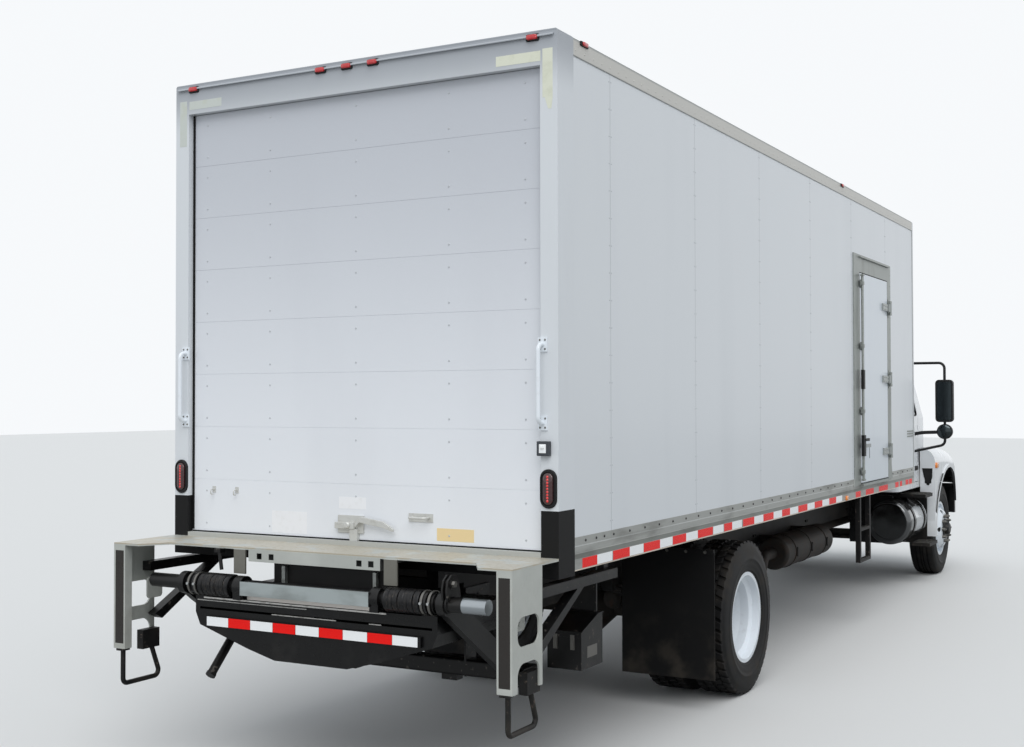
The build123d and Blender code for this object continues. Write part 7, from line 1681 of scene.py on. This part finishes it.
# Painted shade: black louvres, a black shield and a black sheet in each fender's rear recess stand for the
# shade there.
SHADE_SHIELD = ((1.052, 1.214), (1.162, 1.214), (1.158, 1.110), (1.124, 1.030), (1.100, 1.034),
               (1.070, 1.120))
side_markers, fender_shade_vents = bmesh.new(), bmesh.new()
for side in (-1, 1):
    marker = oblong(REAR + 9.072, REAR + 9.196, 1.214, 1.278, 0.030)
    domed(side_markers, marker, "Y", side * 1.1865, side * 0.024)
    for slat in range(4):
        z = 1.052 + slat * 0.033
        bar(fender_shade_vents, (REAR + 9.071, REAR + 9.075), sided(side, 1.076, 1.150), (z, z + 0.024))
    shield = [(side * y, z) for y, z in SHADE_SHIELD]
    prism(fender_shade_vents, shield, "X", REAR + 9.0595, REAR + 9.0650)
    prism(fender_shade_vents, from_rear(oblong(9.10, 9.24, 0.94, 1.08, 0.02)), "Y",
          *sided(side, 1.085, 1.088))
fitted("fender_markers", side_markers, lamp_amber, "hood")
fitted("fender_shade_vents", fender_shade_vents, trim_black, "hood")
nose_lamps = bmesh.new()
for side in (-1, 1):
    y = side * 0.955
    domed(nose_lamps, oblong(y - 0.042, y + 0.042, 1.005, 1.075, 0.02), "X", REAR + 10.634, 0.022)
fitted("turn_lamps", nose_lamps, lamp_amber, "hood")


# Nose: chromed grille bars over a black mesh, clear headlamps with bright bowls, and a black
# steel bumper with two tow plates and a blank plate, bolted on under a rubber lip.
chrome = Finish("chrome trim", linear(214, 217, 220), 0.10, 1.0)
chrome.set("Roughness", chrome.cloud(7.0, 4.0).rise(0.45, 0.8) * 0.14 + 0.07)
chrome.tint(chrome.cloud(30.0, 5.0).rise(0.62, 0.75) * 0.3, linear(150, 146, 140))
dress(chrome, "grille")
mesh_screen = bmesh.new()
for index in range(33):
    y = -0.40 + index * 0.025
    bar(mesh_screen, (REAR + 10.600, REAR + 10.603), (y - 0.0025, y + 0.0025), (1.030, 1.270))
for index in range(10):
    z = 1.040 + index * 0.025
    bar(mesh_screen, (REAR + 10.597, REAR + 10.600), (-0.405, 0.405), (z - 0.0025, z + 0.0025))
fitted("grille_screen", mesh_screen, trim_black, "hood")
lens_clear = Finish("headlamp lens", linear(226, 232, 234), 0.04, transmission_weight=0.95, ior=1.49)
lens_clear.bump(lens_clear.along("Y").repeat(0.02).rise(0.010, 0.0), 0.0012, 0.5)
lenses, bowls, trays = bmesh.new(), bmesh.new(), bmesh.new()
for side in (-1, 1):
    y = side * 0.770
    domed(lenses, oblong(y - 0.129, y + 0.129, 1.001, 1.089, 0.028), "X", REAR + 10.622, 0.014)
    domed(trays, oblong(y - 0.1295, y + 0.1295, 1.0005, 1.0895, 0.029), "X", REAR + 10.592, 0.010)
    for lamp_y in (y - 0.062, y + 0.062):
        bowl = [(0.0, 0.012), (0.003, 0.026), (0.010, 0.036), (0.019, 0.040), (0.019, 0.0425), (0.0, 0.0425)]
        bulb = [(0.0, 0.0), (0.0, 0.010), (0.012, 0.008), (0.015, 0.0)]
        bowl_place = (REAR + 10.6025, lamp_y, 1.045)
        spun(bowls, bowl, bowl_place, (1, 0, 0), 28, closed=True)
        spun(bowls, bulb, bowl_place, (1, 0, 0), 14)
lens_piece = fitted("headlamp_lenses", lenses, lens_clear, "hood")
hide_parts("headlamps")
fitted("headlamp_bowls", bowls, chrome, "hood")
fitted("headlamp_trays", trays, trim_black, "hood")
bumper_black = Finish("bumper black", linear(26, 26, 27), 0.34, coat_weight=0.2)
bumper_black.tint(bumper_black.cloud(8.0, 5.0).rise(0.45, 0.75) * 0.4, linear(60, 57, 53))
bumper_black.bump(bumper_black.cloud(70.0), 0.0006, 0.3)
dress(bumper_black, "front_bumper")
tow = bmesh.new()
for y in (-0.45, 0.45):
    stub = [(REAR + 10.770, y - 0.045, 0.700), (REAR + 10.778, y - 0.045, 0.700)]
    piped(tow, rounded(stub, 0.001), 0.012, 10)
    bar(tow, (REAR + 10.7760, REAR + 10.7808), (y - 0.055, y + 0.055), (0.665, 0.735))
bar(tow, (REAR + 10.7760, REAR + 10.7806), (-0.155, 0.155), (0.655, 0.735))
bumper_lip = bmesh.new()
bar(bumper_lip, (REAR + 10.600, REAR + 10.608), (-1.090, 1.090), (0.926, 0.967))
fitted("bumper_lip", bumper_lip, flap_rubber, "chassis", 0.002)
fitted("bumper_plates", tow, nut_steel, "chassis", 0.0015)
bumper_bolts = [(REAR + 10.7800, y, z) for y in (-0.60, -0.30, 0.30, 0.60) for z in (0.645, 0.765)]
heads("bumper_bolts", bumper_bolts, (1, 0, 0), 0.012, 0.0012, nut_steel, "chassis", sides=10)


# Front of the van body: a riveted sheet between round corners, with five amber markers up
# high, and a pressed louvre near the front of the right wall.
front_rivets = []
for y in (-1.13, -0.61, 0.0, 0.61, 1.13):
    for step in range(RIVET_ROWS):
        front_rivets.append((REAR + 7.9000, y, RIVET_FOOT + step * 0.1395))
heads("front_wall_rivets", front_rivets, (1, 0, 0), 0.0045, 0.0024, rivet_white, "chassis",
      sides=8, crown=0.55)
MARKERS_Y = ((-1.04, 0.035), (1.04, 0.035), (-0.17, 0.030), (0.0, 0.030), (0.17, 0.030))
front_markers = bmesh.new()
for y, half in MARKERS_Y:
    domed(front_markers, oblong(y - half, y + half, 3.655, 3.690, 0.014), "X", REAR + 7.9245, 0.016)
fitted("front_markers", front_markers, lamp_amber, "chassis")
louvre = bmesh.new()
for slat in range(3):
    z = 1.590 + slat * 0.025
    prism(louvre, [(REAR + 7.58, -WALL_FACE), (REAR + 7.85, -WALL_FACE), (REAR + 7.85, -WALL_FACE - 0.006),
                   (REAR + 7.58, -WALL_FACE - 0.003)], "Z", z, z + 0.014)
fitted("wall_louvre", louvre, galvanised, "chassis", 0.001)
